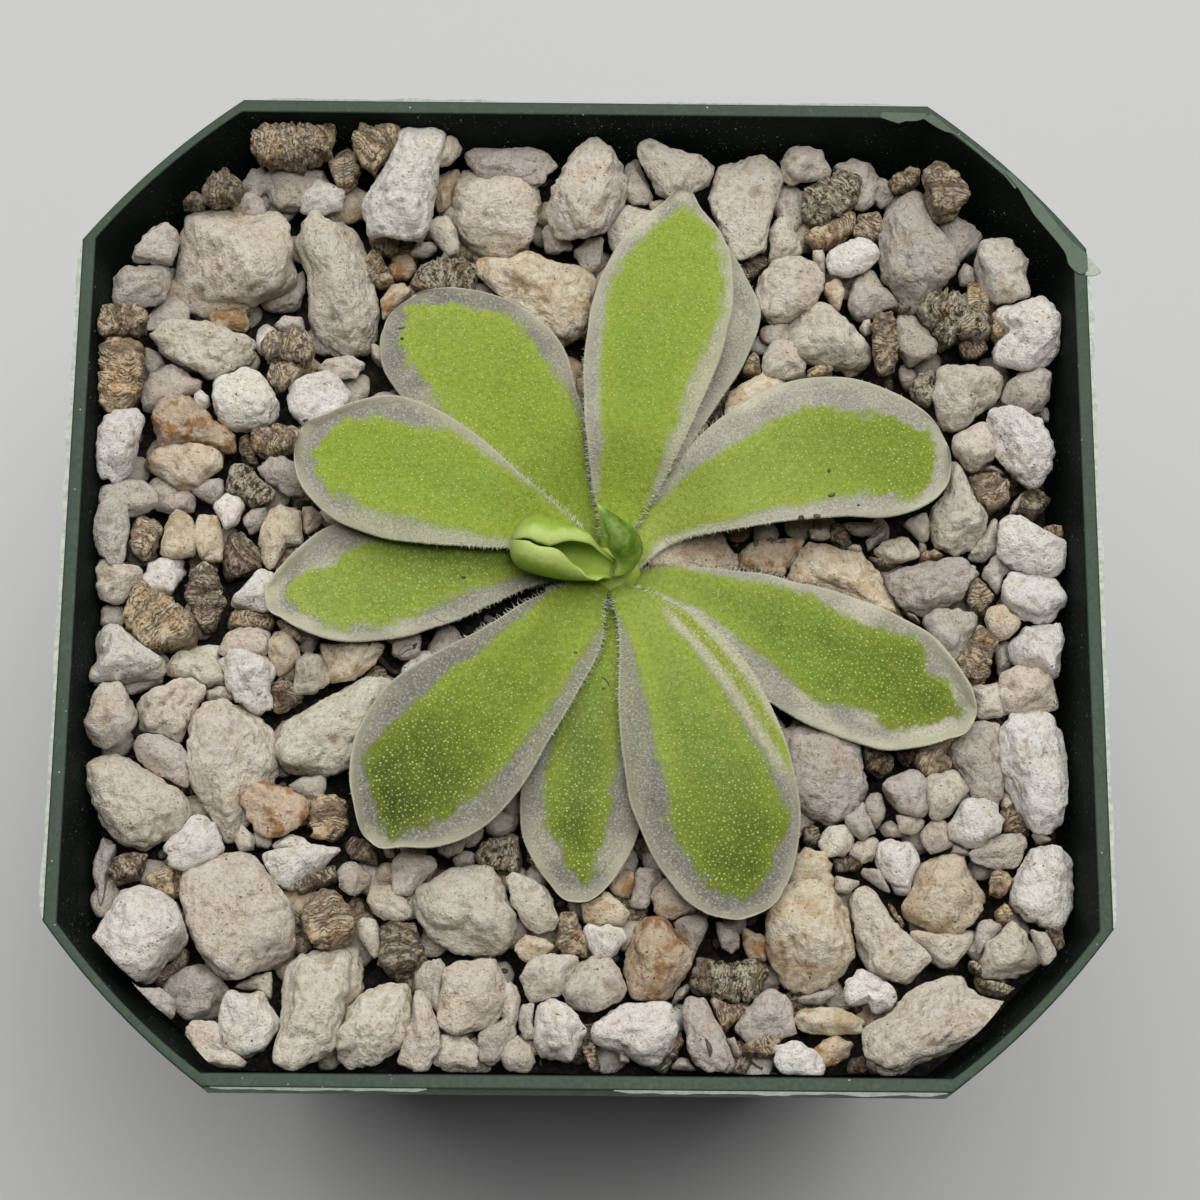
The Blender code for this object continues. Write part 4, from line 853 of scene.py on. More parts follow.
    ("g", 5.4, -5.1, -37, -4.7, -35.9, -3.6, -35.8, -3.9, -37.4, -3.5, -38.7, -4.5, -39),
    ("p", 3.4, -11.7, -34.5, -11.6, -33.2, -10.6, -32.2, -7.2, -31.9, -6.4, -33.2, -6, -35, -6.3, -36.5,
     -7.3, -37.7, -10.5, -38.7, -11.7, -38, -12, -37),
    ("p", 5, -6.3, -33.8, -5.2, -34.2, -4.9, -35.5, -5.1, -37, -5.6, -38.6, -6.5, -36.8),
    ("g", 4.8, -8.5, -39.4, -8.3, -38.2, -5.6, -36.4, -5.3, -38.3, -6.5, -40.6, -7.2, -41, -8.2, -40.6),
    ("p", 5, -6.4, -40.5, -6, -39.2, -5, -38.7, -4, -39.5, -3.7, -40.6, -4.2, -41.5, -5.8, -41.5),
    ("p", 5, -12, -39.8, -11.4, -38.6, -9.3, -38.7, -8.5, -39.6, -8.1, -41, -8.6, -41.5, -11, -41.5,
     -12.2, -41),
    ("g", 5, -13.9, -33.6, -13.2, -32.6, -11.8, -32.2, -11.2, -32.6, -11.8, -36.8, -13.6, -34.7),
    ("p", 3.4, -20.4, -38.8, -19.5, -36, -18.2, -34.7, -16.3, -34, -14.2, -34.1, -14, -37.4,
     -14.7, -39.4, -17.2, -41.2, -19.4, -41.4, -20.4, -40.3),
    ("p", 3.8, -14, -34.2, -12.6, -35.5, -11.6, -38.4, -11.9, -40, -12.5, -41.6, -13.8, -41.6,
     -15.2, -40.8, -14.7, -39.2, -14, -37),
    ("d", 6, -20.3, -22, -19, -21.4, -17.6, -22.3, -17.2, -24, -19.7, -23.3),
    ("p", 6, -16.9, -22.3, -16, -22.6, -15.8, -23.1, -16.6, -23.2),
    ("b", 5.6, 2.6, -25.4, 4, -24, 4.8, -24.3, 4.8, -25.6, 4.2, -26.5, 3.2, -26.2),
    ("g", 5.4, 4.4, -27, 5, -24, 6.6, -24, 7.2, -24.8, 6.2, -26, 6, -27.2, 5, -27.6),
    ("y", 5, 6.1, -26.3, 6.7, -25.5, 7.5, -24.8, 9, -26, 10.2, -27.6, 8.2, -28.2, 6.9, -28),
    ("b", 3.6, 4.1, -30.3, 4.7, -29, 5.9, -28.1, 7.6, -28.2, 9.9, -31.2, 9.3, -33, 7.6, -35.4,
     6.1, -35.5, 4.4, -35.2, 4, -32.2),
    ("g", 5, 8.2, -28.7, 9.6, -28.2, 10.5, -28.1, 11, -29, 9.9, -31.2, 9, -30),
    ("g", 5.4, 11.7, -28.6, 13.5, -28.9, 13.7, -30.2, 13.2, -31.2, 12.2, -30.8),
    ("b", 5.2, 13.9, -29, 15.9, -30, 16, -32, 14.6, -31.8, 14.1, -30.6),
    ("m", 3.8, 9.7, -32.8, 10.2, -31.7, 13.4, -32.1, 15.2, -31.7, 16.4, -32.9, 15.2, -35.2, 13.8, -35.7,
     11, -34.8, 9.5, -34.2),
    ("g", 4, 13.2, -37.7, 15.4, -34.8, 16.5, -34.2, 17.6, -34.9, 18.3, -36, 18.3, -38, 17.2, -38.5,
     14.5, -39),
    ("g", 3.8, 8.7, -36.3, 9.1, -35.2, 10.8, -34.9, 11.9, -37.4, 13.1, -40, 13.5, -41.5, 10.8, -41.5,
     9.8, -40.5, 9.4, -38.5),
    ("v", 5, 11.2, -35.2, 13, -35.8, 14.4, -35.6, 14.3, -36.4, 12.4, -38.1, 11.9, -37),
    ("w", 3.4, 1, -38.6, 1.2, -37.6, 3.6, -35.8, 7.8, -35.7, 8.6, -37.8, 8.1, -39.4, 7, -40.7, 5.8, -41,
     4.4, -40, 1.8, -39.3),
    ("d", 5.2, 8.7, -37.8, 9, -39, 8.4, -40.3, 7.2, -41.5, 6.8, -41.4, 8, -39.8),
    ("y", 3.2, 15.9, -29, 16.3, -26.6, 17.8, -25.2, 20, -24.9, 21.8, -25.5, 22.9, -27, 23.8, -31,
     22.8, -32.8, 21.2, -34.1, 19.4, -34.7, 17.8, -34.3, 16, -31.3),
    ("y", 4.2, 17.9, -25, 18.4, -23, 19.6, -22, 20.9, -22.5, 21.6, -23.9, 21.8, -25.6, 19.8, -26),
    ("p", 5.4, 21.9, -24.6, 24.1, -25, 23.1, -26, 22.1, -25.9),
    ("y", 4.4, 18.4, -37, 18.7, -36, 22.4, -36, 24.4, -37, 24, -38.2, 20.5, -38.1, 18.9, -37.9),
    ("g", 5.6, 18.5, -35, 19.6, -35, 21.8, -34, 21.9, -34.8, 20.6, -35.7, 18.8, -35.6),
    ("w", 4.2, 16.6, -40.8, 16.9, -39.3, 18, -38.8, 20.8, -39.8, 21, -41, 20.4, -41.9, 17, -41.5),
    ("b", 4.8, 19.8, -39.5, 20.9, -38.7, 22, -38.4, 23.2, -38.9, 23, -39.9, 21, -41),
    ("v", 4.8, 14, -39.2, 15, -38.8, 16.5, -38.4, 17.3, -38.7, 16.6, -40.2, 13.9, -40),
    ("g", 5, 12.6, -38.7, 13.3, -38.6, 13.8, -40, 13.3, -40.3),
    ("g", 5.6, 7.9, -41.2, 8.6, -40.2, 9.3, -40.4, 9.9, -41.4),
    ("g", 5.6, 3.5, -40, 4.4, -40.2, 4.4, -40.8, 3.6, -40.8),
    ("m", 5.2, 0.3, -39.4, 1.4, -39.2, 2, -41.3, 1.2, -41.5),
    ("g", 6, 8, -35.7, 8.3, -34.6, 9.3, -34, 9.5, -34.4, 8.9, -35.3),
    ("p", 4.4, 20.6, -21.5, 21.4, -20.3, 22.7, -19.9, 23.5, -20.9, 23.7, -21.6, 22.7, -22.6, 21.3, -22.7),
    ("g", 4.2, 22.9, -19.5, 24.5, -18, 24.7, -18.8, 25.4, -20.5, 24.3, -21.3, 23.4, -20.4),
    ("p", 5, 23.2, -22.4, 23.9, -21.6, 25.5, -21, 25.8, -21.5, 25.2, -23, 24.4, -23.3),
    ("d", 6, 21.8, -23, 23, -22.8, 24.6, -23.4, 23.8, -24, 22.2, -24.2),
    ("d", 6, 19.3, -20.2, 20.6, -20.2, 21, -21.6, 20, -22, 19.4, -21.4),
    ("g", 5, 24.2, -24.3, 24.4, -23.8, 25.8, -24, 26.8, -26.1, 25.9, -25.6),
    ("w", 4.4, 25.6, -22.8, 25.7, -21.4, 26.8, -21, 28.6, -21.4, 29.4, -22.8, 28.8, -23.9, 28.4, -26,
     27.3, -26, 26.3, -24.5),
    ("y", 3.6, 27.5, -27.2, 28.6, -25.6, 28.8, -23.9, 29.8, -22.8, 32, -22.4, 33.2, -23, 34.9, -25.8,
     34.7, -27, 34, -28.4, 32.6, -29.4, 30.6, -29.4, 28, -28.2),
    ("v", 5.2, 26.4, -26.9, 27, -27.2, 27.9, -28.6, 27.7, -29.2, 27, -28.3),
    ("p", 3.8, 23.2, -26.3, 24, -25.2, 25.2, -25.2, 26.6, -27.6, 27.5, -29.2, 29.9, -31.2, 30, -32,
     28.1, -33.8, 26.4, -33.7, 24.9, -33, 23.9, -30.6),
    ("p", 5, 28, -29.2, 30.4, -29.6, 34, -28.9, 33.9, -30, 32, -32.3, 30.9, -32.4, 28.8, -30.4),
    ("g", 5, 34, -29.8, 34.2, -28.6, 35.2, -28.2, 36.3, -28.8, 34, -31.4),
    ("o", 4.6, 35.3, -26, 35.3, -24.6, 36, -23.8, 36.9, -24.2, 37.2, -25, 36.4, -26.2),
    ("o", 4.8, 35.6, -27.6, 36.5, -26.7, 37.2, -27.6, 36.8, -28.8, 35.9, -28.4),
    ("w", 3.4, 36.9, -26.8, 37.2, -24.6, 38, -23.6, 38.7, -22.1, 39.1, -21.6, 41.4, -21.6, 42.7, -23,
     42.7, -25.6, 42.3, -27.2, 41.4, -28.6, 40, -28.8, 38.4, -28.4),
    ("g", 5.6, 38.9, -20.7, 40, -20.6, 40.8, -21.3, 39.4, -21.5),
    ("p", 3.8, 34.4, -31.8, 35, -30.4, 37.2, -28.4, 39.2, -30.6, 39.9, -31.6, 39.4, -32.4, 36, -33.1,
     34.7, -32.9),
    ("g", 4.8, 38.5, -29, 40, -29.4, 41, -31.5, 40.6, -32.6, 39.6, -32.2),
    ("d", 5.4, 40, -28.9, 41.3, -28.8, 41.5, -30.8, 40.9, -31.2),
    ("w", 4.4, 22.5, -34.6, 23, -33.6, 24, -32.8, 26.6, -34, 27.3, -34.9, 26.6, -35.9, 25, -36.3,
     24.7, -35.4, 22.9, -35.9),
    ("p", 3, 24, -38.4, 24.3, -37.2, 26, -36.6, 28.6, -34, 30.6, -33.2, 32.5, -32.6, 34.3, -34.5,
     36, -34.9, 36.8, -35.6, 36.4, -37, 34.4, -38.4, 28.4, -40.8, 27.4, -41.6, 25.6, -41.6, 24.1, -39.6),
    ("d", 6, 23, -40.4, 24.2, -40, 24.6, -41.5, 22.7, -41.6),
    ("m", 5.4, 33.2, -31.9, 34, -32, 35, -33.3, 33.6, -32.9),
    ("m", 6, 34.6, -33.6, 36, -33.7, 37.3, -34.4, 36.5, -35, 35, -34.6),
    ("g", 4.6, 33.4, -22.5, 34.4, -21.7, 36.1, -21, 38.1, -20.6, 38.7, -21.3, 38.1, -22.8, 37.5, -23.5,
     35.3, -23.6, 33.7, -23.1),
    ("g", 3, 17, -11, 19.5, -10.8, 22, -11.3, 24.4, -12.7, 24.6, -14.8, 25.1, -16.6, 24.4, -18,
     22.9, -19.5, 21.6, -19.9, 18.8, -18.6, 17.5, -16.5, 16.8, -13.5),
    ("d", 5.6, 24.5, -12.9, 26.2, -13.3, 27.2, -14.2, 27, -15.2, 26, -15.6, 24.9, -14.8),
    ("g", 3.8, 26.1, -16.5, 27.5, -15.6, 28.5, -15.1, 29.4, -15.2, 30.1, -15.9, 30, -17.7, 29.7, -19,
     29, -19.2, 27.6, -18.8),
    ("p", 5, 27.4, -19.2, 29.1, -19.2, 29.8, -19.6, 29, -20.7, 27.7, -20.6),
    ("g", 5.6, 25.9, -20.2, 26.8, -19.5, 27.4, -20, 28, -20.9, 26.4, -21),
    ("g", 4.6, 24.6, -18.6, 24.8, -17.7, 25.5, -17.2, 26.1, -17.2, 26.4, -18.8, 25.9, -19.9, 25.4, -20.1),
    ("g", 5, 29.4, -21.3, 29.7, -20.4, 30.3, -19.5, 31.8, -19.6, 32.2, -21.8, 30.3, -22.4),
    ("w", 3.4, 31.8, -19.8, 32.9, -18.3, 34, -17.7, 35, -17.6, 35.9, -18.1, 36.5, -19.6, 36.3, -20.4,
     34.6, -21.6, 33.5, -21.8, 32.2, -21),
    ("g", 5.4, 32.2, -21.7, 33.6, -22.1, 33.4, -22.7, 32, -22.5),
    ("d", 6, 36.2, -19, 36.8, -18, 37.6, -17.4, 38.6, -19.6, 38.9, -20.5, 37.8, -20.7, 36.6, -20.5),
    ("w", 3, 36.5, -11.5, 37.3, -9.9, 38.1, -9.6, 39.8, -9.4, 40.9, -9.4, 41.6, -10.4, 42.2, -12.1,
     42.4, -15.7, 42.2, -18.6, 41.3, -20.3, 39.3, -20.5, 38.7, -19.9, 37.7, -17.7, 36.6, -15.2,
     36.4, -12.8),
    ("g", 4, 32, -12.9, 33.4, -11.2, 34.4, -10.5, 35.7, -10.4, 36.7, -10.7, 36.5, -14.4, 36.9, -16.1,
     36.6, -17.7, 36, -18.1, 34.1, -17.9, 33.4, -15.9, 32.3, -14.4),
    ("o", 4.4, 29, -14.4, 29.2, -13.6, 30.7, -13, 31.6, -13.2, 32.4, -14.9, 31.6, -15.3, 30.1, -15.5),
    ("p", 3.8, 30.1, -16.4, 30.2, -15.6, 31.8, -15, 32.7, -15.1, 33.4, -15.9, 33.6, -16.8, 32.8, -17.8,
     32, -19, 31.1, -19.4, 30.3, -19.2),
    ("g", 3.4, 26.7, 2.9, 28.7, 3.7, 30, 4, 32.8, 4.5, 33.8, 4.5, 35.2, 3.5, 35.4, 2.9, 34.2, 2.4,
     34.3, 1.6, 33.5, 0.5, 31.7, -0.1, 30.1, -0.9, 28.4, -0.2, 27.3, 1.1),
    ("p", 5, 25.8, 4.9, 26.6, 5.9, 28.2, 6.4, 28.9, 6, 29.8, 4.7, 29.1, 4, 27.2, 3.9),
    ("g", 5.2, 29.8, 5.8, 30.4, 5.6, 30.6, 5, 29.9, 4.7),
    ("o", 5, 29.9, 4.5, 30.7, 5.1, 31.4, 4.9, 32.2, 4.5, 30, 4),
    ("d", 6, 25, 4.4, 25.8, 4.2, 27.9, 3.9, 27.4, 3.4, 26.2, 3.5),
    ("g", 4.6, 35.4, 3, 36.3, 4.3, 37, 4.7, 38.4, 3.5, 37.2, 2.7, 36.9, 1.2, 36.5, 1.3, 35.6, 2.4),
    ("w", 3.2, 36.8, 6, 37.1, 7.9, 37.7, 8.4, 39.3, 8.2, 40.6, 7.3, 43.4, 6, 43.1, 5, 42.7, 3.6,
     41.5, 2.8, 39.1, 3.3, 37.7, 4.1, 36.9, 4.8),
    ("v", 5, 40.8, 7.1, 41.6, 7.5, 42.5, 7.3, 42.8, 6.3, 41.7, 6.5),
    ("w", 3.2, 37.1, 1.5, 37.5, 2.7, 38.9, 3.3, 39.8, 3.2, 42.1, 2.4, 42.7, 1, 42.6, 0.2, 41.2, -1.4,
     40.3, -1.5, 38, -0.3, 37.4, 0.4),
    ("v", 5, 34, 0.3, 34.1, 2, 34.5, 2.5, 35, 2.5, 36, 1.3, 36.2, 0.5, 35.3, -0.9, 34.3, -0.3),
    ("y", 4, 35.6, -1.2, 36.2, 0, 36.9, 0.1, 38.5, -0.9, 38.8, -1.6, 37.9, -2.6, 37, -3, 35.9, -2.4),
    ("v", 4.4, 34.8, -1.6, 35.9, -2.2, 37, -3, 36.1, -4.4, 35.8, -6.4, 35.2, -7, 34.5, -7.3, 33.2, -6.4,
     32.7, -5.4, 34, -3.6),
    ("g", 3.6, 30, -1.4, 30.4, -0.8, 31.3, -0.4, 33.2, -0.4, 34.8, -0.8, 34.8, -1.8, 34, -3.7,
     33.3, -4.7, 32.6, -5, 31.9, -4.7),
    ("g", 5.4, 28.6, -0.6, 29.4, -1, 29.9, -1.8, 28.7, -1.1),
    ("w", 3.2, 37.6, -3.5, 38.5, -2.6, 39.3, -2, 40.2, -1.6, 42, -1.5, 42.5, -2.9, 41.8, -6.4,
     41.3, -6.8, 40, -5.9, 38.5, -5.6, 37.7, -4.4),
    ("g", 6.2, 36.3, -4, 37.2, -3.3, 37.8, -3.9, 38, -5.2, 36.6, -6.3),
    ("p", 3.6, 36.6, -6.8, 36.8, -6.1, 38.4, -5.5, 40, -5.9, 41.3, -6.9, 41.9, -9.3, 40.6, -9.5,
     37.5, -9.9, 36.9, -9.3, 36.5, -7.6),
    ("p", 4.6, 33.8, -7.7, 34.7, -7.3, 36.5, -7, 36.6, -8.1, 37.4, -9.9, 34.7, -10.4, 34.1, -8.4),
    ("p", 4.6, 29.2, 8, 30.6, 8.7, 30.8, 6.7, 30.6, 6, 30.1, 5.9, 28.7, 7.5),
    ("p", 3.2, 32.9, 14.8, 34, 13.2, 35.3, 9.8, 36.3, 8.6, 35.8, 6.9, 34.8, 5.5, 33.1, 4.8, 31.3, 5.4,
     30.8, 7.8, 31.1, 9, 32.4, 10.9),
    ("g", 4.8, 34, 4.5, 34.9, 5.6, 35.9, 7, 36.4, 8.2, 36.9, 8, 36.8, 5.1, 35.7, 4.2),
    ("v", 4, 34.6, 11.6, 35, 12.2, 37, 12.3, 37.7, 11.9, 38.1, 10.2, 37.4, 9.4, 36.6, 8.8, 35.3, 9.7),
    ("p", 3.8, 33.2, 16, 35.2, 17.1, 36.1, 17.4, 37.1, 14.6, 36.9, 14, 35.1, 12.6, 34.6, 12.8,
     33.3, 14.3),
    ("w", 2.4, 36.3, 17.2, 36.3, 18.4, 36.9, 19, 38.4, 19, 40.8, 17.5, 42.1, 15.7, 42.3, 14.7, 41.9, 13,
     40.9, 11.4, 40, 11.3, 38.7, 12.1, 37.1, 14.8),
    ("p", 2.8, 31.5, 20.2, 31.9, 22.5, 32.7, 23.2, 35, 23.1, 38.1, 22, 37.6, 20.2, 37.1, 19.2,
     35.6, 18.3, 34.5, 17, 33.4, 16.6, 32.6, 16.7, 31.7, 18.2),
    ("g", 3.4, 38.8, 21.8, 39.6, 22.4, 41.6, 22.9, 42.2, 21.5, 41.7, 19.4, 41, 18.7, 39.9, 18.4,
     38, 19.3, 37.5, 19.8),
    ("g", 6, 40, 18.2, 41.6, 18.6, 41.8, 17.9, 41.6, 17.2),
    ("m", 4.2, 29.4, 21.1, 30.4, 21.8, 31.4, 22, 31.5, 21, 31.1, 18.6, 30, 19.1, 29.3, 20.5),
    ("d", 4.8, 38.5, 8.8, 39.3, 10.6, 39.9, 11, 40.8, 11, 41.8, 10, 40, 8, 39.4, 8.4),
    ("g", 5.2, 37.9, 8.4, 38.2, 9.4, 39.2, 10.6, 39, 9.5, 38.5, 8.6),
    ("g", 5.6, 35.7, 12.7, 36.5, 13.1, 37.3, 12.8, 37.6, 12.1, 36.7, 12.4),
    ("y", 5.6, 5.6, 3.6, 6.5, 4.4, 8.3, 5.9, 10.3, 6.8, 12.2, 6.9, 13.2, 5.4, 13.8, 4.1, 14.0, 3.0,
     11.8, 2.4, 9.8, 2.6, 7.0, 2.8),
    ("b", 6, 13.7, 4.6, 15.1, 5.6, 16, 5.9, 19.4, 6, 19.8, 5.6, 17.9, 3.3, 17.8, 2.6, 14.1, 3),
    ("y", 4.6, 20, 6, 21.6, 5.8, 23.6, 4.9, 24.6, 4.7, 26.6, 2.8, 27.4, 1.1, 28.6, -1.2, 27.5, -1.6,
     22, 0.8, 19, 1.4, 17.9, 2.4, 18.8, 4.3),
    ("p", 5.2, 23.5, 5.1, 24, 5.5, 24.6, 5.5, 24.8, 5.1, 24.5, 4.8),
    ("d", 6.6, 21.9, 6.1, 22.2, 7.3, 23, 7.4, 24, 5.9, 23.3, 5.3),
    ("p", 6, 20.1, 7, 21, 6.8, 21.9, 7.1, 22, 6.3, 21.5, 5.9, 20.3, 6),
    ("g", 6, 23, 7.5, 26.6, 7.6, 25.6, 6.4, 24, 6.4),
    ("g", 5.8, 25.2, 6, 25.8, 6, 26.8, 7, 27, 6.4, 26.3, 5.9, 25.4, 4.9),
    ("p", 5, 16.1, 23.6, 17, 24.7, 18, 25, 19.2, 24.4, 19.6, 23.2, 20, 22.7, 20, 21.8, 18, 21.3,
     16.4, 21.8),
    ("y", 5, 12.7, 18.9, 13.2, 20, 16.1, 22, 18, 21.6, 19, 20, 17, 18, 14.5, 16.5, 12.7, 17),
    ("o", 5.6, 14.6, 22.6, 15.3, 23.8, 15.8, 23.3, 16, 21.9, 14.3, 21.6),
    ("o", 5.6, 20.2, 22, 20.8, 22.4, 22.3, 22.4, 22.5, 22, 22, 21.6, 20.2, 21.4),
    ("y", 5.2, -23, -3.8, -20, -4.2, -17.3, -3.8, -17.4, -4.8, -18.2, -5.9, -19.9, -7.1, -22, -7.5,
     -22.7, -5.4),
    ("p", 6, -16.5, -3.9, -15.8, -3.4, -14.1, -3, -14.1, -5, -15.8, -5.4, -16.5, -5),
)


def outlined(kind, depth, *numbers):
    """A stone from its outline, with its length along the outline's main axis."""
    corners = np.array(numbers, float).reshape(-1, 2)
    after = np.roll(corners, -1, axis=0)
    area = corners[:, 0] * after[:, 1] - corners[:, 1] * after[:, 0]
    middle = ((corners + after) * area[:, None]).sum(axis=0) / (3.0 * area.sum())
    corners = corners - middle
    spread = corners.T @ corners
    turn = math.atan2(2.0 * spread[0, 1], spread[0, 0] - spread[1, 1]) / 2.0
    along = corners @ np.array([[math.cos(turn), -math.sin(turn)], [math.sin(turn), math.cos(turn)]])
    length, width = np.ptp(along, axis=0)
    return Stone(kind, *middle, length, width, math.degrees(turn), depth, corners)


STONES = [outlined(*row) for row in OUTLINES]

# Each kind's colour as it looks on screen, whether it is a layered chip, and how pitted it is
Kind = namedtuple("Kind", "colour layered pitting")
KINDS = {
    "p": Kind((201, 194, 180), False, 0.55), "w": Kind((215, 212, 205), False, 0.3),
    "g": Kind((183, 176, 166), False, 0.4), "y": Kind((204, 193, 170), False, 0.6),
    "b": Kind((194, 176, 152), False, 0.9), "o": Kind((214, 188, 150), True, 0.3),
    "v": Kind((182, 162, 134), True, 0.5), "d": Kind((126, 110, 92), True, 0.6),
    "m": Kind((172, 168, 146), True, 0.8),
}
# How much brown stain each kind has
STAINED = {"b": 1.0, "y": 0.5, "p": 0.16, "g": 0.1, "o": 0.35, "v": 0.7, "d": 0.8, "m": 1.0}
# Lengths of a stone's faces, and how much closer together its points are on top
STONE_EDGE = 0.375
CHIP_EDGE = 0.32
FILL_EDGE = 0.62
CROWDING = 0.40
STEPS_RANGE = (4, 27)
SMALL_CHIP = 2.5
LARGE_LENGTH, MIDDLE_LENGTH = 8.4, 5.1
STONE_GAIN, GAIN_SPREAD, HUE_SPREAD = 1.34, 0.06, 0.01
STONE_FLATNESS = 0.74
LEAST_HEIGHT = 2.0
STONE_TILT = 0.10
FLAT_COUNT, FLAT_REACH, FLAT_SHARPNESS = (8, 14), (0.66, 1.0), (10.0, 24.0)
CHIP_BLUNTNESS = (3.5, 6.0)
LEAST_SQUEEZE = 0.5
FULL_RELIEF_WIDTH = 5.0
LAYER = 0.42
OUTLINE_LEVEL = 0.4
OUTLINE_STEPS = 90
FIRST_SEED = 500
SHALLOWEST = 0.8
SEAT_STEP = 0.3
WALL_PUSH = 0.25
BED_DEPTH = 10.2
WALL_CLEAR = 0.15
LEAF_CLEAR = 0.12
FILL_PITCH = 3.1
FILL_LENGTH = (2.2, 3.9)
FILL_DEPTH = (6.2, 8.6)
FILL_KINDS = "ppppwgggggyybdvo"
FILL_JITTER = (0.1, 0.9)
FILL_WIDTH = (0.6, 0.95)
COVER_SHARE, COVER_GAP = 0.19, 0.2
FILL_MARGIN = 3.0
FILL_CORNER = 4.0
FIRST_FILL = 1000
GRIT_COUNT = 420
GRIT_LENGTH = (0.5, 1.5)
GRIT_DEPTH = (8.4, 9.9)
GRIT_KINDS = "dbvgmd"
GRIT_MARGIN = 3.5
BED_CLEAR = 0.1
BED_RINGS = 36


def inside_pot(points, clearance):
    """Move points in from the pot's inner wall, keeping them this far clear."""
    half = wall_half(points[:, 2]) - WALL - clearance
    points[:, 0] = np.clip(points[:, 0], -half, half)
    points[:, 1] = np.clip(points[:, 1], -half, half)
    over = np.maximum(np.abs(points[:, 0]) + np.abs(points[:, 1]) - (2.0 * half - corner_cut(half)), 0.0)
    points[:, 0] -= np.copysign(over / 2, points[:, 0])
    points[:, 1] -= np.copysign(over / 2, points[:, 1])


def seated(stone, drop):
    """A stone's depth, raised where its outline would be too far out for the pot's wall."""
    depth = stone.depth
    while depth > SHALLOWEST:
        z = POT_HEIGHT - depth - drop
        x, y = from_photo(*(stone.corners + (stone.x, stone.y)).T, STONE_READING, z)
        edge = np.column_stack([x, y, np.full(len(x), z)])
        moved = edge.copy()
        inside_pot(moved, WALL_CLEAR)
        if np.abs(moved - edge).max() < WALL_PUSH:
            break
        depth -= SEAT_STEP
    return depth


def reach_of(corners, ways):
    """How far an outline lies from its middle in each of these directions."""
    after = np.roll(corners, -1, axis=0)
    edge = after - corners
    turned = ways[:, None, 0] * edge[None, :, 1] - ways[:, None, 1] * edge[None, :, 0]
    turned = np.where(np.abs(turned) < 1e-9, 1e-9, turned)
    far = (corners[:, 0] * edge[:, 1] - corners[:, 1] * edge[:, 0]) / turned
    share = (corners[None, :, 0] * ways[:, None, 1] - corners[None, :, 1] * ways[:, None, 0]) / turned
    met = (share >= -1e-6) & (share <= 1.0 + 1e-6) & (far > 0.0)
    return np.where(met, far, 0.0).max(axis=1)


def round_mean(ring, span):
    """A closed ring of values, each averaged with this many on both sides."""
    return np.mean([np.roll(ring, step) for step in range(-span, span + 1)], axis=0)


def fit_outline(points, corners):
    """Draw a stone's points in or out, so that seen from above it has the outline.

    Directions in which the stone has too few points of its own take their reach from their
    neighbours.
    """
    turn = np.arctan2(points[:, 1], points[:, 0]) / (2.0 * math.pi) % 1.0
    place = np.floor(turn * OUTLINE_STEPS).astype(int) % OUTLINE_STEPS
    own = np.zeros(OUTLINE_STEPS)
    np.maximum.at(own, place, np.hypot(points[:, 0], points[:, 1]))
    steps = np.arange(OUTLINE_STEPS)
    known = own > 0.6 * round_mean(np.maximum.reduce([np.roll(own, k) for k in range(-4, 5)]), 2)
    own = round_mean(np.interp(steps, steps[known], own[known], period=OUTLINE_STEPS), 2)
    angle = (steps + 0.5) * 2.0 * math.pi / OUTLINE_STEPS
    wanted = round_mean(reach_of(corners, np.column_stack([np.cos(angle), np.sin(angle)])), 1)
    scale = np.interp(turn * OUTLINE_STEPS - 0.5, steps, wanted / own, period=OUTLINE_STEPS)
    points[:, :2] *= scale[:, None]


def under_leaves(points, foot, ceiling):
    """Squeeze a stone's top down under the leaves that lie over it."""
    high = points[:, 2] > foot
    limits = np.array([ceiling(point) if above else np.inf for point, above in zip(points, high)])
    room = np.where(high, (limits - LEAF_CLEAR - foot) / np.maximum(points[:, 2] - foot, 0.01), np.inf)
    squeeze = np.clip(room.min(), LEAST_SQUEEZE, 1.0)
    points[high, 2] = foot + (points[high, 2] - foot) * squeeze
    points[:, 2] = np.minimum(points[:, 2], limits - LEAF_CLEAR)


def spin(points, turn, tilt):
    """Turn the points about the vertical after a small tilt of the whole stone."""
    matrix = Matrix.Rotation(math.radians(turn), 3, "Z") @ Matrix.Rotation(tilt[0], 3, "X")
    return points @ np.array(matrix @ Matrix.Rotation(tilt[1], 3, "Y")).T


def filled_box(shape):
    """Scale a shape so that it just fills a box from -1 to 1."""
    low, high = shape.min(axis=0), shape.max(axis=0)
    return (shape - (low + high) / 2) / ((high - low) / 2)


def lumps(points, size, seed):
    """Round lumps about this far apart, with creases between them where the value is 0."""
    return np.abs(noise(points, size, seed))


def pumice_shape(ways, seed, rng):
    """A ball cut by flats and bent by broad noise."""
    count = rng.integers(*FLAT_COUNT)
    flats = rng.normal(size=(count, 3))
    flats /= np.linalg.norm(flats, axis=1, keepdims=True)
    reach = rng.uniform(*FLAT_REACH, count)
    sharpness = rng.uniform(*FLAT_SHARPNESS)
    cuts = (np.maximum(ways @ flats.T, 0.0) / reach) ** sharpness
    radius = (1.0 + cuts.sum(axis=1)) ** (-1.0 / sharpness)
    radius *= 1.0 + 0.17 * noise(ways, 1.0, seed) + 0.06 * noise(ways, 0.5, seed + 1)
    return filled_box(ways * radius[:, None])


def chip_shape(ways, rng):
    """A blunt block with rounded edges."""
    blunt = rng.uniform(*CHIP_BLUNTNESS)
    radius = (np.abs(ways) ** blunt).sum(axis=1) ** (-1.0 / blunt)
    return filled_box(ways * radius[:, None])


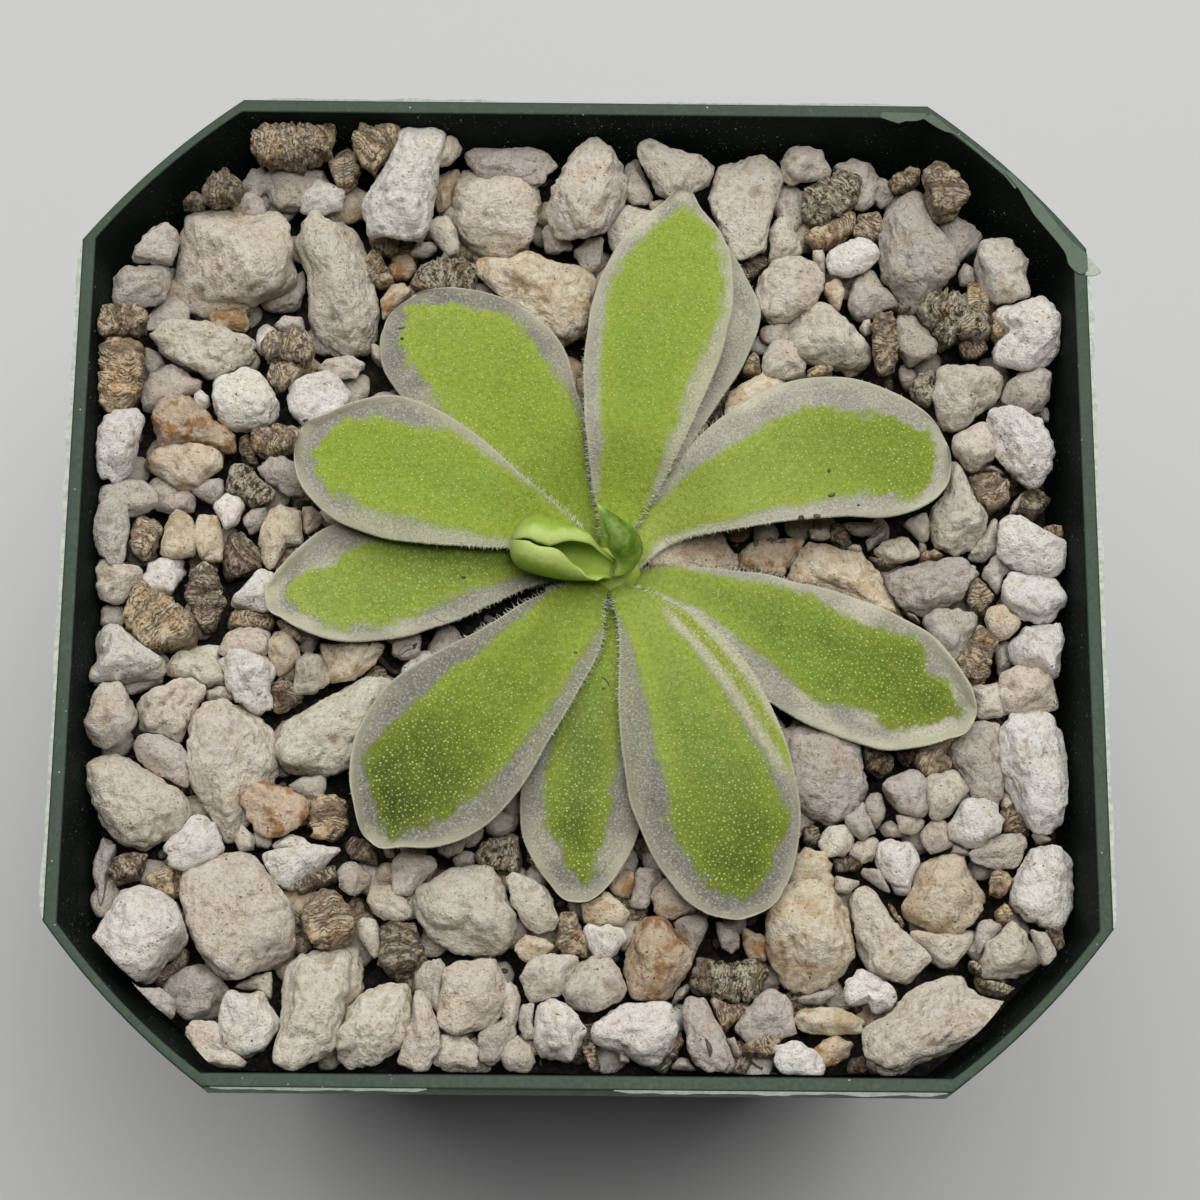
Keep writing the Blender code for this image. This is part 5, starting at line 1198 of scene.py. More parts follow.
def layered_form(ways, half, number, rng):
    """A chip of ragged layers: its points, its pits and the place of each point along the layers."""
    shape = chip_shape(ways, rng) * half
    bend = 0.9 * noise(shape + 60.0, 3.0, number) + 0.35 * noise(shape, 1.1, number)
    along = shape[:, 0] + bend + rng.uniform(0.0, 50.0)
    layer = np.stack([np.floor(along / LAYER)] + [np.zeros_like(along)] * 2, axis=-1)
    ragged = noise(np.column_stack([layer[:, 0] * 3.7, shape[:, 1], shape[:, 2]]), 1.3, 12)
    shape[:, 1:] *= (1.0 + 0.24 * (lattice(layer, 7) - 0.7) + 0.18 * ragged)[:, None]
    crumb = lumps(shape + 9.0, 1.2, number)
    shape += ways * (0.45 * crumb + 0.4 * noise(shape, 2.4, number) + 0.1 * noise(shape, 0.5, 9))[:, None]
    pit = np.maximum(smoothstep(0.10, 0.0, crumb), 0.7 * (lattice(layer, 8) > 0.8))
    return shape, pit, along


def pumice_form(ways, half, number, rng, pitting):
    """A pumice stone with lumps and pits. It has no layers, so its places along them are 0."""
    shape = pumice_shape(ways, number, rng) * half
    spot = shape + rng.uniform(0.0, 90.0, 3)
    pit = pits(spot, 1.25, 31, 0.34, pitting) * 0.9
    pit = np.maximum(pit, pits(spot, 3.1, 47, 0.30, 0.4 * pitting))
    broad, small = lumps(spot, 2.4, 3), lumps(spot + 30.0, 1.15, 4)
    swell = 0.36 * broad + 0.18 * small + 0.15 * noise(spot, 0.6, 5) + 0.09 * noise(spot, 0.36, 6)
    pit = np.maximum(pit, 0.4 * smoothstep(0.07, 0.0, small) + 0.25 * smoothstep(0.06, 0.0, broad))
    shape += ways * (swell - 0.3 * pit)[:, None] * min(1.0, 2.0 * half[1] / FULL_RELIEF_WIDTH)
    return shape, pit, np.zeros(len(shape))


def add_stone(heap, stone, number, ceiling, edge):
    kind = KINDS[stone.kind]
    rng = np.random.default_rng(FIRST_SEED + number)
    edge = min(edge, CHIP_EDGE) if kind.layered and stone.length > SMALL_CHIP else edge
    steps = int(np.clip(round(stone.length * math.pi / 4 / edge), *STEPS_RANGE))
    ways, quads = ball(steps)
    ways = ways + np.array([0.0, 0.0, CROWDING])
    ways = ways / np.linalg.norm(ways, axis=1, keepdims=True)
    height = max(STONE_FLATNESS * stone.width, LEAST_HEIGHT)
    drop = OUTLINE_LEVEL * height
    top = POT_HEIGHT - (stone.depth if stone.corners is None else seated(stone, drop))
    half = np.array([stone.length, stone.width, height]) / 2
    if kind.layered:
        shape, pit, along = layered_form(ways, half, number, rng)
    else:
        shape, pit, along = pumice_form(ways, half, number, rng, kind.pitting)
    points = spin(shape, stone.turn, rng.normal(0.0, STONE_TILT, 2))
    x, y = from_photo(stone.x, stone.y, STONE_READING, top - drop)
    if stone.corners is not None:
        fit_outline(points, stone.corners * (EYE[2] - top + drop) / (EYE[2] - STONE_READING))
    points += np.array([x, y, top - points[:, 2].max()])
    inside_pot(points, WALL_CLEAR)
    under_leaves(points, top - height / 2, ceiling)
    gain = STONE_GAIN + rng.normal(0.0, GAIN_SPREAD)
    tint = np.array(linear(kind.colour)) * gain * (1.0 + rng.normal(0.0, HUE_SPREAD, 3))
    # The pit attribute sets painted shade in pits, creases and chip layers.
    heap.add(points, quads, tint=tint, pit=pit, along=along, stain=STAINED.get(stone.kind, 0.0))


def filling():
    """Small stones on a loose grid, where no listed stone covers the place."""
    rng = np.random.default_rng(11)
    half = POT_WIDTH / 2 - FILL_MARGIN
    count = int(2 * half / FILL_PITCH)
    for i, j in np.ndindex(count, count):
        x, y = (np.array([i, j]) + rng.uniform(*FILL_JITTER, 2)) * FILL_PITCH - half
        length, width, turn = rng.uniform(*FILL_LENGTH), rng.uniform(*FILL_WIDTH), rng.uniform(0.0, 180.0)
        depth, kind = rng.uniform(*FILL_DEPTH), rng.choice(list(FILL_KINDS))
        covered = any(math.hypot(x - s.x, y - s.y) < COVER_SHARE * (s.length + s.width) + COVER_GAP
                      for s in STONES)
        in_corner = abs(x) + abs(y) > POT_WIDTH - CORNER_CUT - FILL_CORNER
        in_hollow = any(((x - a) / c) ** 2 + ((y - b) / d) ** 2 < 1.0 for a, b, c, d in HOLLOWS)
        if not (covered or in_corner or in_hollow):
            yield Stone(kind, x, y, length, length * width, turn, depth)


# Dark places with litter and no stones: middle and half lengths along X and Y
HOLLOWS = ((-8.5, -1.0, 7.0, 2.6), (2.5, 2.5, 4.5, 4.5))


def stone_material(name, roughness):
    shader = Shader(name)
    place = shader.place()
    tint, pit = shader.colour("tint"), shader.value("pit")
    cloud = shader.noise(place, 0.35, 3.0)
    grain = shader.noise(place, 1.7, 5.0, 0.7)
    fine = shader.noise(place, 4.4, 3.0, 0.8)
    warped = shader.warp(place, 0.9, 0.9)
    pores = shader.cells(shader.stretch(warped, (1.0, 1.35, 1.2)), 1.25)
    colour = shader.tinted(shader.ramp(cloud, 0.42, 0.75, 0.0, 0.6), tint, linear(STONE_WARM))
    colour = shader.tinted(shader.ramp(grain, 0.34, 0.6, 0.6, 0.0), colour, linear(STONE_SHADE))
    colour = shader.mix(shader.ramp(fine, 0.54, 0.7, 0.0, 0.5), colour, linear(STONE_POWDER))
    colour = shader.tinted(shader.ramp(fine, 0.46, 0.3, 0.0, 0.75), colour, linear(STONE_GRAIN))
    brown = shader.ramp(shader.noise(warped, 0.5, 3.0), 0.5, 0.62)
    brown = shader.multiply(shader.value("stain"), brown)
    colour = shader.tinted(brown, colour, linear(STONE_STAIN))
    # Painted shade: dark spots stand for the shade inside pores too small to model, and modelled pits darken
    # by their depth.
    tiny = shader.cells(warped, 2.3)
    pore_shade = shader.multiply(shader.ramp(pores, 0.17, 0.08), shader.ramp(cloud, 0.42, 0.56))
    holes = shader.multiply(shader.ramp(tiny, 0.2, 0.1), shader.ramp(grain, 0.5, 0.42, 0.0, 0.8))
    pore_shade = shader.math("MAXIMUM", pore_shade, holes)
    colour = shader.mix(shader.multiply(pore_shade, 0.9), colour, linear(STONE_PORE_SHADE))
    colour = shader.tinted(shader.multiply(pit, 0.75), colour, linear(STONE_PIT_SHADE))
    shader.set(Base_Color=colour, Roughness=roughness, Specular_IOR_Level=0.15)
    shader.bump(shader.math("ADD", grain, shader.multiply(fine, 0.4)), 0.5, 1.0)
    return shader.material


STONE_WARM = (248, 240, 224)
STONE_STAIN = (212, 184, 152)
STONE_GRAIN = (172, 158, 142)
STONE_SHADE = (222, 214, 204)
STONE_POWDER = (236, 231, 222)
# Painted shade in pores and in modelled pits
STONE_PORE_SHADE = (92, 72, 56)
STONE_PIT_SHADE = (176, 158, 142)


def chip_material():
    shader = Shader("vermiculite")
    place = shader.place()
    tint, along = shader.colour("tint"), shader.value("along")
    pit = shader.value("pit")
    patch = shader.noise(place, 0.9, 4.0, 0.65)
    stain = shader.noise(shader.stretch(place, (-1.0, 1.0, 1.0)), 0.7, 3.0)
    grain = shader.noise(place, 2.6, 5.0, 0.72)
    wobble = shader.math("ADD", along, shader.multiply(patch, 1.4))
    steps = shader.math("DIVIDE", wobble, LAYER)
    across = shader.math("FRACT", steps)
    gap = shader.math("ABSOLUTE", shader.math("SUBTRACT", across, 0.5))
    crack = shader.multiply(shader.ramp(gap, 0.2, 0.05), shader.ramp(patch, 0.4, 0.56))
    number = shader.math("SINE", shader.multiply(shader.math("FLOOR", steps), 12.99))
    tone = shader.math("FRACT", shader.multiply(number, 437.6))
    # A noise mask of hollows, darkened below as painted shade and sunk by the bump.
    hollow = shader.ramp(shader.noise(shader.stretch(place, (1.0, 1.0, 0.6)), 1.5, 4.0, 0.7), 0.47, 0.38)
    hollow = shader.multiply(hollow, shader.value("stain"))
    colour = shader.mix(shader.ramp(patch, 0.44, 0.62, 0.0, 0.75), tint, linear(CHIP_LIGHT))
    colour = shader.mix(shader.ramp(tone, 0.35, 0.9, 0.0, 0.55), colour, linear(CHIP_FLECK))
    colour = shader.tinted(shader.ramp(stain, 0.52, 0.68, 0.0, 0.6), colour, linear(CHIP_STAIN))
    colour = shader.tinted(shader.ramp(grain, 0.36, 0.52, 0.7, 0.0), colour, linear(CHIP_DARK))
    colour = shader.mix(shader.ramp(grain, 0.56, 0.75, 0.0, 0.5), colour, linear(CHIP_FLECK))
    # Painted shade: the cracks between layers, the creases and the hollows are darkened for the shade that
    # falls in them.
    dark = shader.math("MAXIMUM", shader.multiply(crack, 0.8), shader.multiply(pit, 0.8))
    colour = shader.tinted(shader.math("MAXIMUM", dark, hollow), colour, linear(CHIP_CREVICE_SHADE))
    shader.set(Base_Color=colour, Roughness=0.6, Specular_IOR_Level=0.35)
    low = shader.math("MAXIMUM", crack, hollow)
    shader.bump(shader.math("SUBTRACT", shader.multiply(grain, 1.6), low), 0.34, 1.0)
    return shader.material


CHIP_DARK = (150, 128, 106)
# Painted shade in crevices
CHIP_CREVICE_SHADE = (96, 80, 64)
CHIP_LIGHT = (222, 204, 172)
CHIP_STAIN = (228, 196, 156)
CHIP_FLECK = (232, 220, 196)


def bed_material():
    shader = Shader("litter")
    place = shader.place()
    grain = shader.noise(place, 1.6, 5.0, 0.75)
    crumbs = shader.cells(place, 1.3)
    colour = shader.mix(shader.ramp(grain, 0.42, 0.68), linear(LITTER_DARK), linear(LITTER))
    colour = shader.mix(shader.ramp(crumbs, 0.3, 0.1, 0.0, 0.5), colour, linear(LITTER_BROWN))
    shader.set(Base_Color=colour, Roughness=0.95)
    shader.bump(grain, 0.5)
    return shader.material


LITTER_DARK = (22, 18, 15)
LITTER = (66, 55, 44)
LITTER_BROWN = (96, 76, 56)


def make_bed(look):
    """The mix below its stones: it fills the pot, with an uneven top."""
    clear = WALL + BED_CLEAR
    foot = FLOOR_TOP + 0.05
    top = POT_HEIGHT - BED_DEPTH
    sections = [section(wall_half(foot), clear + 1.0, foot)]
    sections += [section(wall_half(z), clear, z) for z in (foot + 0.5, *np.linspace(8.0, top - 0.6, 8))]
    edge = section(wall_half(top), clear, top)
    for share in np.linspace(1.0, 0.02, BED_RINGS):
        sections.append(edge * np.array([share, share, 1.0]))
    points, faces = skin(sections)
    high = points[:, 2] > top - 0.1
    lift = 0.9 * noise(points, 3.4, 21) + 0.5 * noise(points, 1.3, 22)
    points[high, 2] += lift[high]
    return declare(make_object("mix_bed", points, faces, look), "growing_mix", "growing_mix")


def add_grit(heap):
    """Crumbs of stone and litter that lie on the bed."""
    rng = np.random.default_rng(77)
    ways, quads = ball(2)
    half = POT_WIDTH / 2 - GRIT_MARGIN
    for _ in range(GRIT_COUNT):
        length = rng.uniform(*GRIT_LENGTH)
        shape = ways * (1.0 + rng.uniform(-0.3, 0.2, (len(ways), 1))) * length / 2
        shape = spin(shape * np.array([1.0, rng.uniform(0.5, 0.9), 0.6]), rng.uniform(0, 180), (0.0, 0.0))
        x, y = rng.uniform(-half, half, 2)
        points = shape + np.array([x, y, POT_HEIGHT - rng.uniform(*GRIT_DEPTH)])
        inside_pot(points, WALL_CLEAR)
        tone = np.array(linear(KINDS[rng.choice(list(GRIT_KINDS))].colour)) * rng.uniform(0.25, 0.8)
        heap.add(points, quads, tint=tone, pit=0.0, along=0.0, stain=0.0)


def make_mix(ceiling):
    """The bed, the stones and the chips. Returns a search tree of each heap."""
    pumice, chips = stone_material("pumice", 0.88), chip_material()
    make_bed(bed_material())
    looks = {"pumice_large": pumice, "pumice_middle": pumice, "pumice_small": pumice,
             "pumice_filling": pumice, "vermiculite_chips": chips, "vermiculite_filling": chips}
    heaps = {name: Heap() for name in looks}
    for number, stone in enumerate(STONES):
        if KINDS[stone.kind].layered:
            name = "vermiculite_chips"
        elif stone.length > MIDDLE_LENGTH:
            name = "pumice_large" if stone.length > LARGE_LENGTH else "pumice_middle"
        else:
            name = "pumice_small"
        add_stone(heaps[name], stone, number, ceiling, STONE_EDGE)
    for number, stone in enumerate(filling()):
        name = "vermiculite_filling" if KINDS[stone.kind].layered else "pumice_filling"
        add_stone(heaps[name], stone, FIRST_FILL + number, ceiling, FILL_EDGE)
    add_grit(heaps["pumice_filling"])
    for name, look in looks.items():
        declare(heaps[name].make(name, look), "growing_mix", "growing_mix")
    return [heap.tree() for heap in heaps.values()]


# Leaves: half widths are read across the leaf at these shares of its length, from the
# middle of the crown, to the left and to the right of someone looking outwards.

SHARES = (0.08, 0.2, 0.35, 0.5, 0.65, 0.8, 0.9, 0.96, 1.0)
TIP_HALF_WIDTH = 0.3
RISE = (3.0, 13.5)
UPPER, UPPER_MIDDLE = POT_HEIGHT - 5.8, POT_HEIGHT - 2.8
LOWER, LOWER_MIDDLE = POT_HEIGHT - 7.6, POT_HEIGHT - 4.6
Leaf = namedtuple("Leaf", "name azimuth length left right tip base middle end cup_left cup_right"
                          " green_left green_right green_tip lip colours")

# The green middle's half widths are read at these shares, and it ends at green_tip.
GREEN_SHARES = (0.2, 0.3, 0.4, 0.5, 0.6, 0.7, 0.8, 0.85, 0.9, 0.95)
# Each leaf's last field holds its base, middle and end colours; the darker end colours are partly painted
# shade, for ends that tilt away from the light.
LEAVES = (
    Leaf("leaf_north", 80, 36.4, (1.4, 3.0, 4.6, 5.8, 6.0, 5.1, 3.2, 1.4),
         (1.4, 2.9, 4.45, 5.7, 6.4, 5.9, 4.1, 1.8), 0.1, UPPER, UPPER_MIDDLE, -0.9, 0.5, 0.3,
         (2.3, 2.8, 3.6, 4.2, 4.8, 4.9, 3.7, 2.9, 1.4, -0.4),
         (2.3, 2.8, 3.6, 3.8, 4.9, 5.6, 5.0, 4.45, 3.5, 0.8),
         0.955, 0.0, ((148, 168, 56), (138, 163, 58), (148, 167, 62))),
    Leaf("leaf_north_under", 75, 33.0, (1.1, 2.4, 4.2, 5.6, 6.5, 6.0, 4.4, 2.6),
         (1.1, 2.5, 3.6, 5.05, 6.45, 6.7, 4.4, 2.5), 0.0, LOWER, LOWER_MIDDLE, -0.6, 0.0, 0.2,
         (1.6, 2.4, 3.4, 4.2, 4.8, 4.8, 4.2, 3.4, 2.2, 0.4),
         (1.5, 2.0, 2.2, 2.4, 2.6, 2.6, 2.4, 2.0, 1.2, -0.2),
         0.93, 0.0, ((132, 150, 66), (132, 152, 66), (132, 152, 66))),
    Leaf("leaf_northwest", 123, 30.8, (1.1, 2.3, 4.0, 5.5, 6.9, 7.3, 6.7, 5.2),
         (1.1, 2.3, 4.6, 6.3, 7.4, 6.4, 4.2, 2.2), -1.2, LOWER, LOWER_MIDDLE, -0.2, 0.1, 0.3,
         (1.6, 2.4, 3.2, 4.0, 4.6, 4.9, 4.9, 5.1, 4.8, 2.5),
         (2.0, 3.4, 5.1, 5.4, 5.3, 5.6, 4.7, 2.9, 1.5, -0.5),
         0.97, 0.0, ((140, 158, 54), (138, 159, 50), (146, 164, 62))),
    Leaf("leaf_west", 156, 30.0, (1.3, 1.6, 3.1, 4.9, 6.2, 6.35, 5.3, 3.6),
         (1.4, 2.9, 4.3, 5.8, 6.7, 6.3, 4.1, 2.0), 0.0, UPPER, UPPER_MIDDLE, 0.5, 0.7, 0.4,
         (1.3, 1.8, 2.5, 3.1, 3.95, 4.1, 4.1, 4.2, 3.2, 1.3),
         (2.6, 3.6, 4.2, 4.8, 5.4, 4.3, 4.1, 3.3, 2.0, -1.3),
         0.955, 0.5, ((146, 166, 60), (138, 163, 56), (142, 166, 54))),
    Leaf("leaf_west_under", 185, 30.2, (1.1, 1.3, 2.9, 4.5, 5.3, 5.2, 4.1, 2.8),
         (1.1, 2.3, 4.0, 5.4, 6.1, 5.3, 3.2, 1.5), -0.7, LOWER, LOWER_MIDDLE, 0.3, 0.4, 0.0,
         (0.5, 0.8, 1.7, 2.8, 4.0, 4.3, 4.2, 3.5, 2.5, 0.3),
         (1.8, 2.6, 3.4, 4.0, 4.2, 3.5, 2.1, 1.7, 1.0, -1.3),
         0.94, 0.7, ((112, 132, 48), (124, 146, 54), (134, 152, 62))),
    Leaf("leaf_southwest", 231, 32.4, (1.6, 4.2, 5.35, 6.2, 6.95, 6.6, 4.8, 2.4),
         (1.5, 3.1, 4.8, 6.7, 7.9, 7.0, 5.0, 2.7), -0.2, UPPER, UPPER_MIDDLE, 0.3, 0.3, 0.5,
         (3.2, 3.7, 4.3, 4.45, 4.7, 4.6, 3.8, 3.2, 2.5, 1.4),
         (2.5, 3.0, 3.6, 4.4, 4.8, 5.1, 5.2, 5.0, 2.2, 0.1),
         0.965, 0.7, ((134, 152, 58), (116, 137, 36), (76, 92, 12))),
    Leaf("leaf_south_under", 265, 30.4, (1.1, 2.1, 3.2, 4.2, 4.8, 4.5, 3.4, 2.2),
         (1.1, 2.2, 3.6, 4.9, 5.7, 5.4, 3.9, 2.3), 0.1, LOWER, LOWER_MIDDLE, -0.5, 0.0, 0.0,
         (1.6, 2.0, 2.3, 2.4, 2.3, 2.05, 1.8, 1.5, 1.1, 0.7),
         (1.6, 2.2, 2.8, 3.3, 3.6, 3.9, 3.6, 1.7, 1.05, -0.7),
         0.95, 0.3, ((122, 140, 50), (108, 129, 56), (98, 114, 28))),
    Leaf("leaf_south", 289, 33.6, (1.6, 5.6, 8.1, 9.0, 9.1, 8.1, 6.4, 4.6),
         (0.9, 1.5, 3.3, 4.6, 5.3, 4.8, 3.7, 2.2), -0.9, UPPER, UPPER_MIDDLE, -0.3, 0.2, 0.4,
         (3.1, 4.4, 5.4, 6.2, 6.8, 6.95, 7.2, 5.45, 4.2, 2.2),
         (0.6, 0.8, 1.0, 1.7, 1.9, 2.9, 2.45, 2.0, 1.2, -0.9),
         0.955, 0.2, ((150, 166, 76), (128, 150, 62), (98, 116, 18))),
    Leaf("leaf_east_under", 337, 34.4, (1.1, 2.7, 4.3, 5.3, 5.7, 5.2, 3.5, 2.0),
         (1.1, 2.7, 4.8, 6.0, 6.6, 6.3, 4.8, 3.1), 0.7, LOWER, LOWER_MIDDLE, 0.4, 0.3, 0.3,
         (2.3, 2.95, 3.9, 4.3, 3.7, 3.9, 4.2, 1.8, 1.7, 0.3),
         (0.9, 1.1, 2.3, 3.2, 4.5, 4.0, 3.95, 3.6, 2.6, 0.6),
         0.955, 0.8, ((146, 163, 76), (112, 136, 46), (102, 124, 26))),
    Leaf("leaf_east", 20, 31.8, (2.2, 5.3, 8.4, 10.3, 10.9, 9.6, 7.2, 4.9),
         (1.0, -0.1, 0.55, 1.45, 2.8, 4.3, 4.1, 2.9), -0.6, UPPER - 0.7, UPPER_MIDDLE, 0.2, 0.2, 0.9,
         (4.0, 5.6, 6.6, 7.2, 7.8, 7.9, 5.6, 5.2, 4.2, 2.0),
         (-0.6, -0.35, -0.2, 0.2, 0.8, 1.0, 2.7, 3.5, 3.0, 0.4),
         0.96, 0.3, ((166, 180, 84), (145, 164, 66), (130, 150, 46))),
)
LEAF_ROWS = 84
LEAF_COLUMNS = 38
LEAF_START = 1.0
MIDDLE_HALF = 0.46
EDGE_HALF = 0.10
GREEN_RELIEF = 0.13
GREEN_FOOT = 1.2
GROOVE = 0.22
EDGE_RIPPLE = 0.12
ROOT_DIP = 0.9
MARGIN_WAVE = 0.22
UNEVENNESS = 0.10
TIP_CROWDING = 1.35
EDGE_CROWDING = 0.45
UP = np.array([0.0, 0.0, 1.0])


def leaf_outline(leaf, share):
    """Half widths to the left and right at each share of the length."""
    along = np.arcsin(np.clip(SHARES, 0.0, 1.0)) * 2.0 / math.pi
    here = np.arcsin(np.clip(share, 0.0, 1.0)) * 2.0 / math.pi
    narrow = between(0.35, 1.0, smoothstep(0.0, 0.08, share))
    return [smooth_curve(along, half + (TIP_HALF_WIDTH,), here) * narrow for half in (leaf.left, leaf.right)]


def green_depth(leaf, share, offset):
    """How far inside the green middle a place is, in millimetres, or how far outside it."""
    foot = GREEN_FOOT * smoothstep(0.17, 0.08, share)
    left = np.interp(share, GREEN_SHARES, leaf.green_left) + foot
    right = np.interp(share, GREEN_SHARES, leaf.green_right) + foot
    tip = (leaf.green_tip - share) * leaf.length
    return np.minimum(np.minimum(offset + left, right - offset), tip)


def leaf_places(leaf, share, side):
    """Points of the blade's middle layer, with the offset from its axis and distance to its edge."""
    azimuth = math.radians(leaf.azimuth)
    out = np.array([math.cos(azimuth), math.sin(azimuth)])
    across = np.array([out[1], -out[0]])
    left, right = leaf_outline(leaf, share)
    seed = leaf.azimuth
    wave = np.stack([share * leaf.length, np.sign(side) * 7.0, np.zeros_like(share)], axis=-1)
    ripple = noise(wave, 2.6, seed)
    offset = between(-left, right, (side + 1) / 2) + EDGE_RIPPLE * ripple * np.abs(side) ** 4
    tip = np.clip((share - SHARES[-2]) / (1.0 - SHARES[-2]), 0.0, 1.0)
    offset = offset + leaf.tip * tip * smoothstep(0.8, 1.0, share)
    reach = share * leaf.length
    height = between(leaf.base, leaf.middle, smoothstep(*RISE, reach))
    height = height - ROOT_DIP * smoothstep(4.0, 1.0, reach)
    height += leaf.end * smoothstep(0.5, 1.0, share)
    cup = np.where(side < 0, leaf.cup_left, leaf.cup_right)
    height += cup * np.abs(side) ** 2 * smoothstep(0.1, 0.35, share)
    edge = np.minimum((1.0 - np.abs(side)) * (left + right) / 2, (1.0 - share) * leaf.length)
    flat = np.array(CROWN) + reach[..., None] * out + offset[..., None] * across
    x, y = from_photo(flat[..., 0], flat[..., 1], LEAF_READING, height)
    moved = smoothstep(0.0, 0.16, share)
    x, y = between(flat[..., 0], x, moved), between(flat[..., 1], y, moved)
    height += MARGIN_WAVE * noise(wave, 5.0, seed + 1) * np.abs(side) ** 3
    height += leaf.lip * smoothstep(1.3, 0.0, edge) * smoothstep(0.70, 0.93, share)
    groove = GROOVE * np.exp(-(offset / 1.3) ** 2)
    height -= groove * smoothstep(0.06, 0.2, share) * smoothstep(0.9, 0.5, share)
    places = np.stack([x, y, height], axis=-1)
    places[..., 2] += UNEVENNESS * noise(places, 3.0, seed + 2)
    return places, offset, edge


def leaf_stations(leaf):
    """Shares along the blade, closer together at its tip, and places across it, closer at its edges."""
    even = np.linspace(0.0, 1.0, LEAF_ROWS)
    start = LEAF_START / leaf.length
    share = start + (1.0 - start) * (1.0 - (1.0 - even) ** TIP_CROWDING)
    line = np.linspace(-1.0, 1.0, LEAF_COLUMNS)
    side = np.sin(line * math.pi / 2) * EDGE_CROWDING + line * (1.0 - EDGE_CROWDING)
    return np.meshgrid(share, side, indexing="ij")


class Blade:
    """A leaf's middle layer and thickness, from which its faces, dew and hairs are made."""

    def __init__(self, leaf):
        self.leaf = leaf
        self.share, self.side = leaf_stations(leaf)
        self.places, self.offset, self.edge = leaf_places(leaf, self.share, self.side)
        self.inside = green_depth(leaf, self.share, self.offset)
        swell = np.sqrt(np.clip(1.0 - np.abs(self.side) ** 3, 0.0, 1.0)) * smoothstep(1.0, 0.9, self.share)
        self.half = between(EDGE_HALF, MIDDLE_HALF, swell)
        self.relief = GREEN_RELIEF * smoothstep(-0.3, 0.5, self.inside)
        self.top = self.places + (self.half + self.relief)[..., None] * UP
        self.bottom = self.places - self.half[..., None] * UP
        count = self.share.size
        self.faces = grid_faces(LEAF_ROWS, LEAF_COLUMNS)
        self.faces += grid_faces(LEAF_ROWS, LEAF_COLUMNS, start=count, flipped=True)
        self.faces += [(a, a + count, b + count, b) for a, b in grid_rim(LEAF_ROWS, LEAF_COLUMNS)]

    def solid(self):
        return np.concatenate([self.top.reshape(-1, 3), self.bottom.reshape(-1, 3)]), self.faces

    def tree(self):
        points, faces = self.solid()
        return BVHTree.FromPolygons(points.tolist(), faces)

    def sample(self, share, side):
        """A point on the top, and the way up there, at one share and side."""
        row = np.searchsorted(self.share[:, 0], share) - 1
        column = np.searchsorted(self.side[0], side) - 1
        row, column = min(max(row, 0), LEAF_ROWS - 2), min(max(column, 0), LEAF_COLUMNS - 2)
        a = (share - self.share[row, 0]) / (self.share[row + 1, 0] - self.share[row, 0])
        b = (side - self.side[0, column]) / (self.side[0, column + 1] - self.side[0, column])
        corner = self.top[row, column]
        along, across = self.top[row + 1, column] - corner, self.top[row, column + 1] - corner
        normal = np.cross(along, across)
        normal /= np.linalg.norm(normal)
        return corner + along * a + across * b, normal * np.sign(normal[2])


def green_colour(shader, leaf, place, mottle):
    """The green middle, from the leaf's base to its end, with its grain and glands, and painted shade that
    darkens its end.
    """
    share, inside = shader.value("share"), shader.value("inside")
    base, middle, end = (linear(colour) for colour in leaf.colours)
    body = shader.mix(shader.ramp(share, 0.12, 0.5), base, middle)
    body = shader.mix(shader.ramp(share, 0.5, 0.93), body, end)
    body = shader.mix(shader.ramp(inside, 2.2, 0.2, 0.0, 0.45), body, linear(LEAF_EDGE))
    cloud = shader.noise(shader.vector("leafspace"), 0.3, 2.0)
    body = shader.mix(shader.ramp(cloud, 0.35, 0.68, 0.0, 0.25), body, linear(LEAF_FRESH))
    body = shader.tinted(shader.ramp(mottle, 0.38, 0.52, 0.6, 0.0), body, linear(LEAF_SHADE))
    body = shader.mix(shader.ramp(mottle, 0.52, 0.7, 0.0, 0.6), body, linear(LEAF_LIGHT))
    # Painted shade: the end darkens by the ratio of end green to base green, for ends that tilt away from the
    # light.
    darker = leaf.colours[2][1] / leaf.colours[0][1]
    body = shader.tinted(shader.ramp(share, 0.45, 0.95), body, (darker, darker, darker ** 2))
    glands = shader.cells(place, 2.8, 0.8)
    return shader.mix(shader.ramp(glands, 0.24, 0.1, 0.0, 0.25), body, linear(DEW_COLOUR))


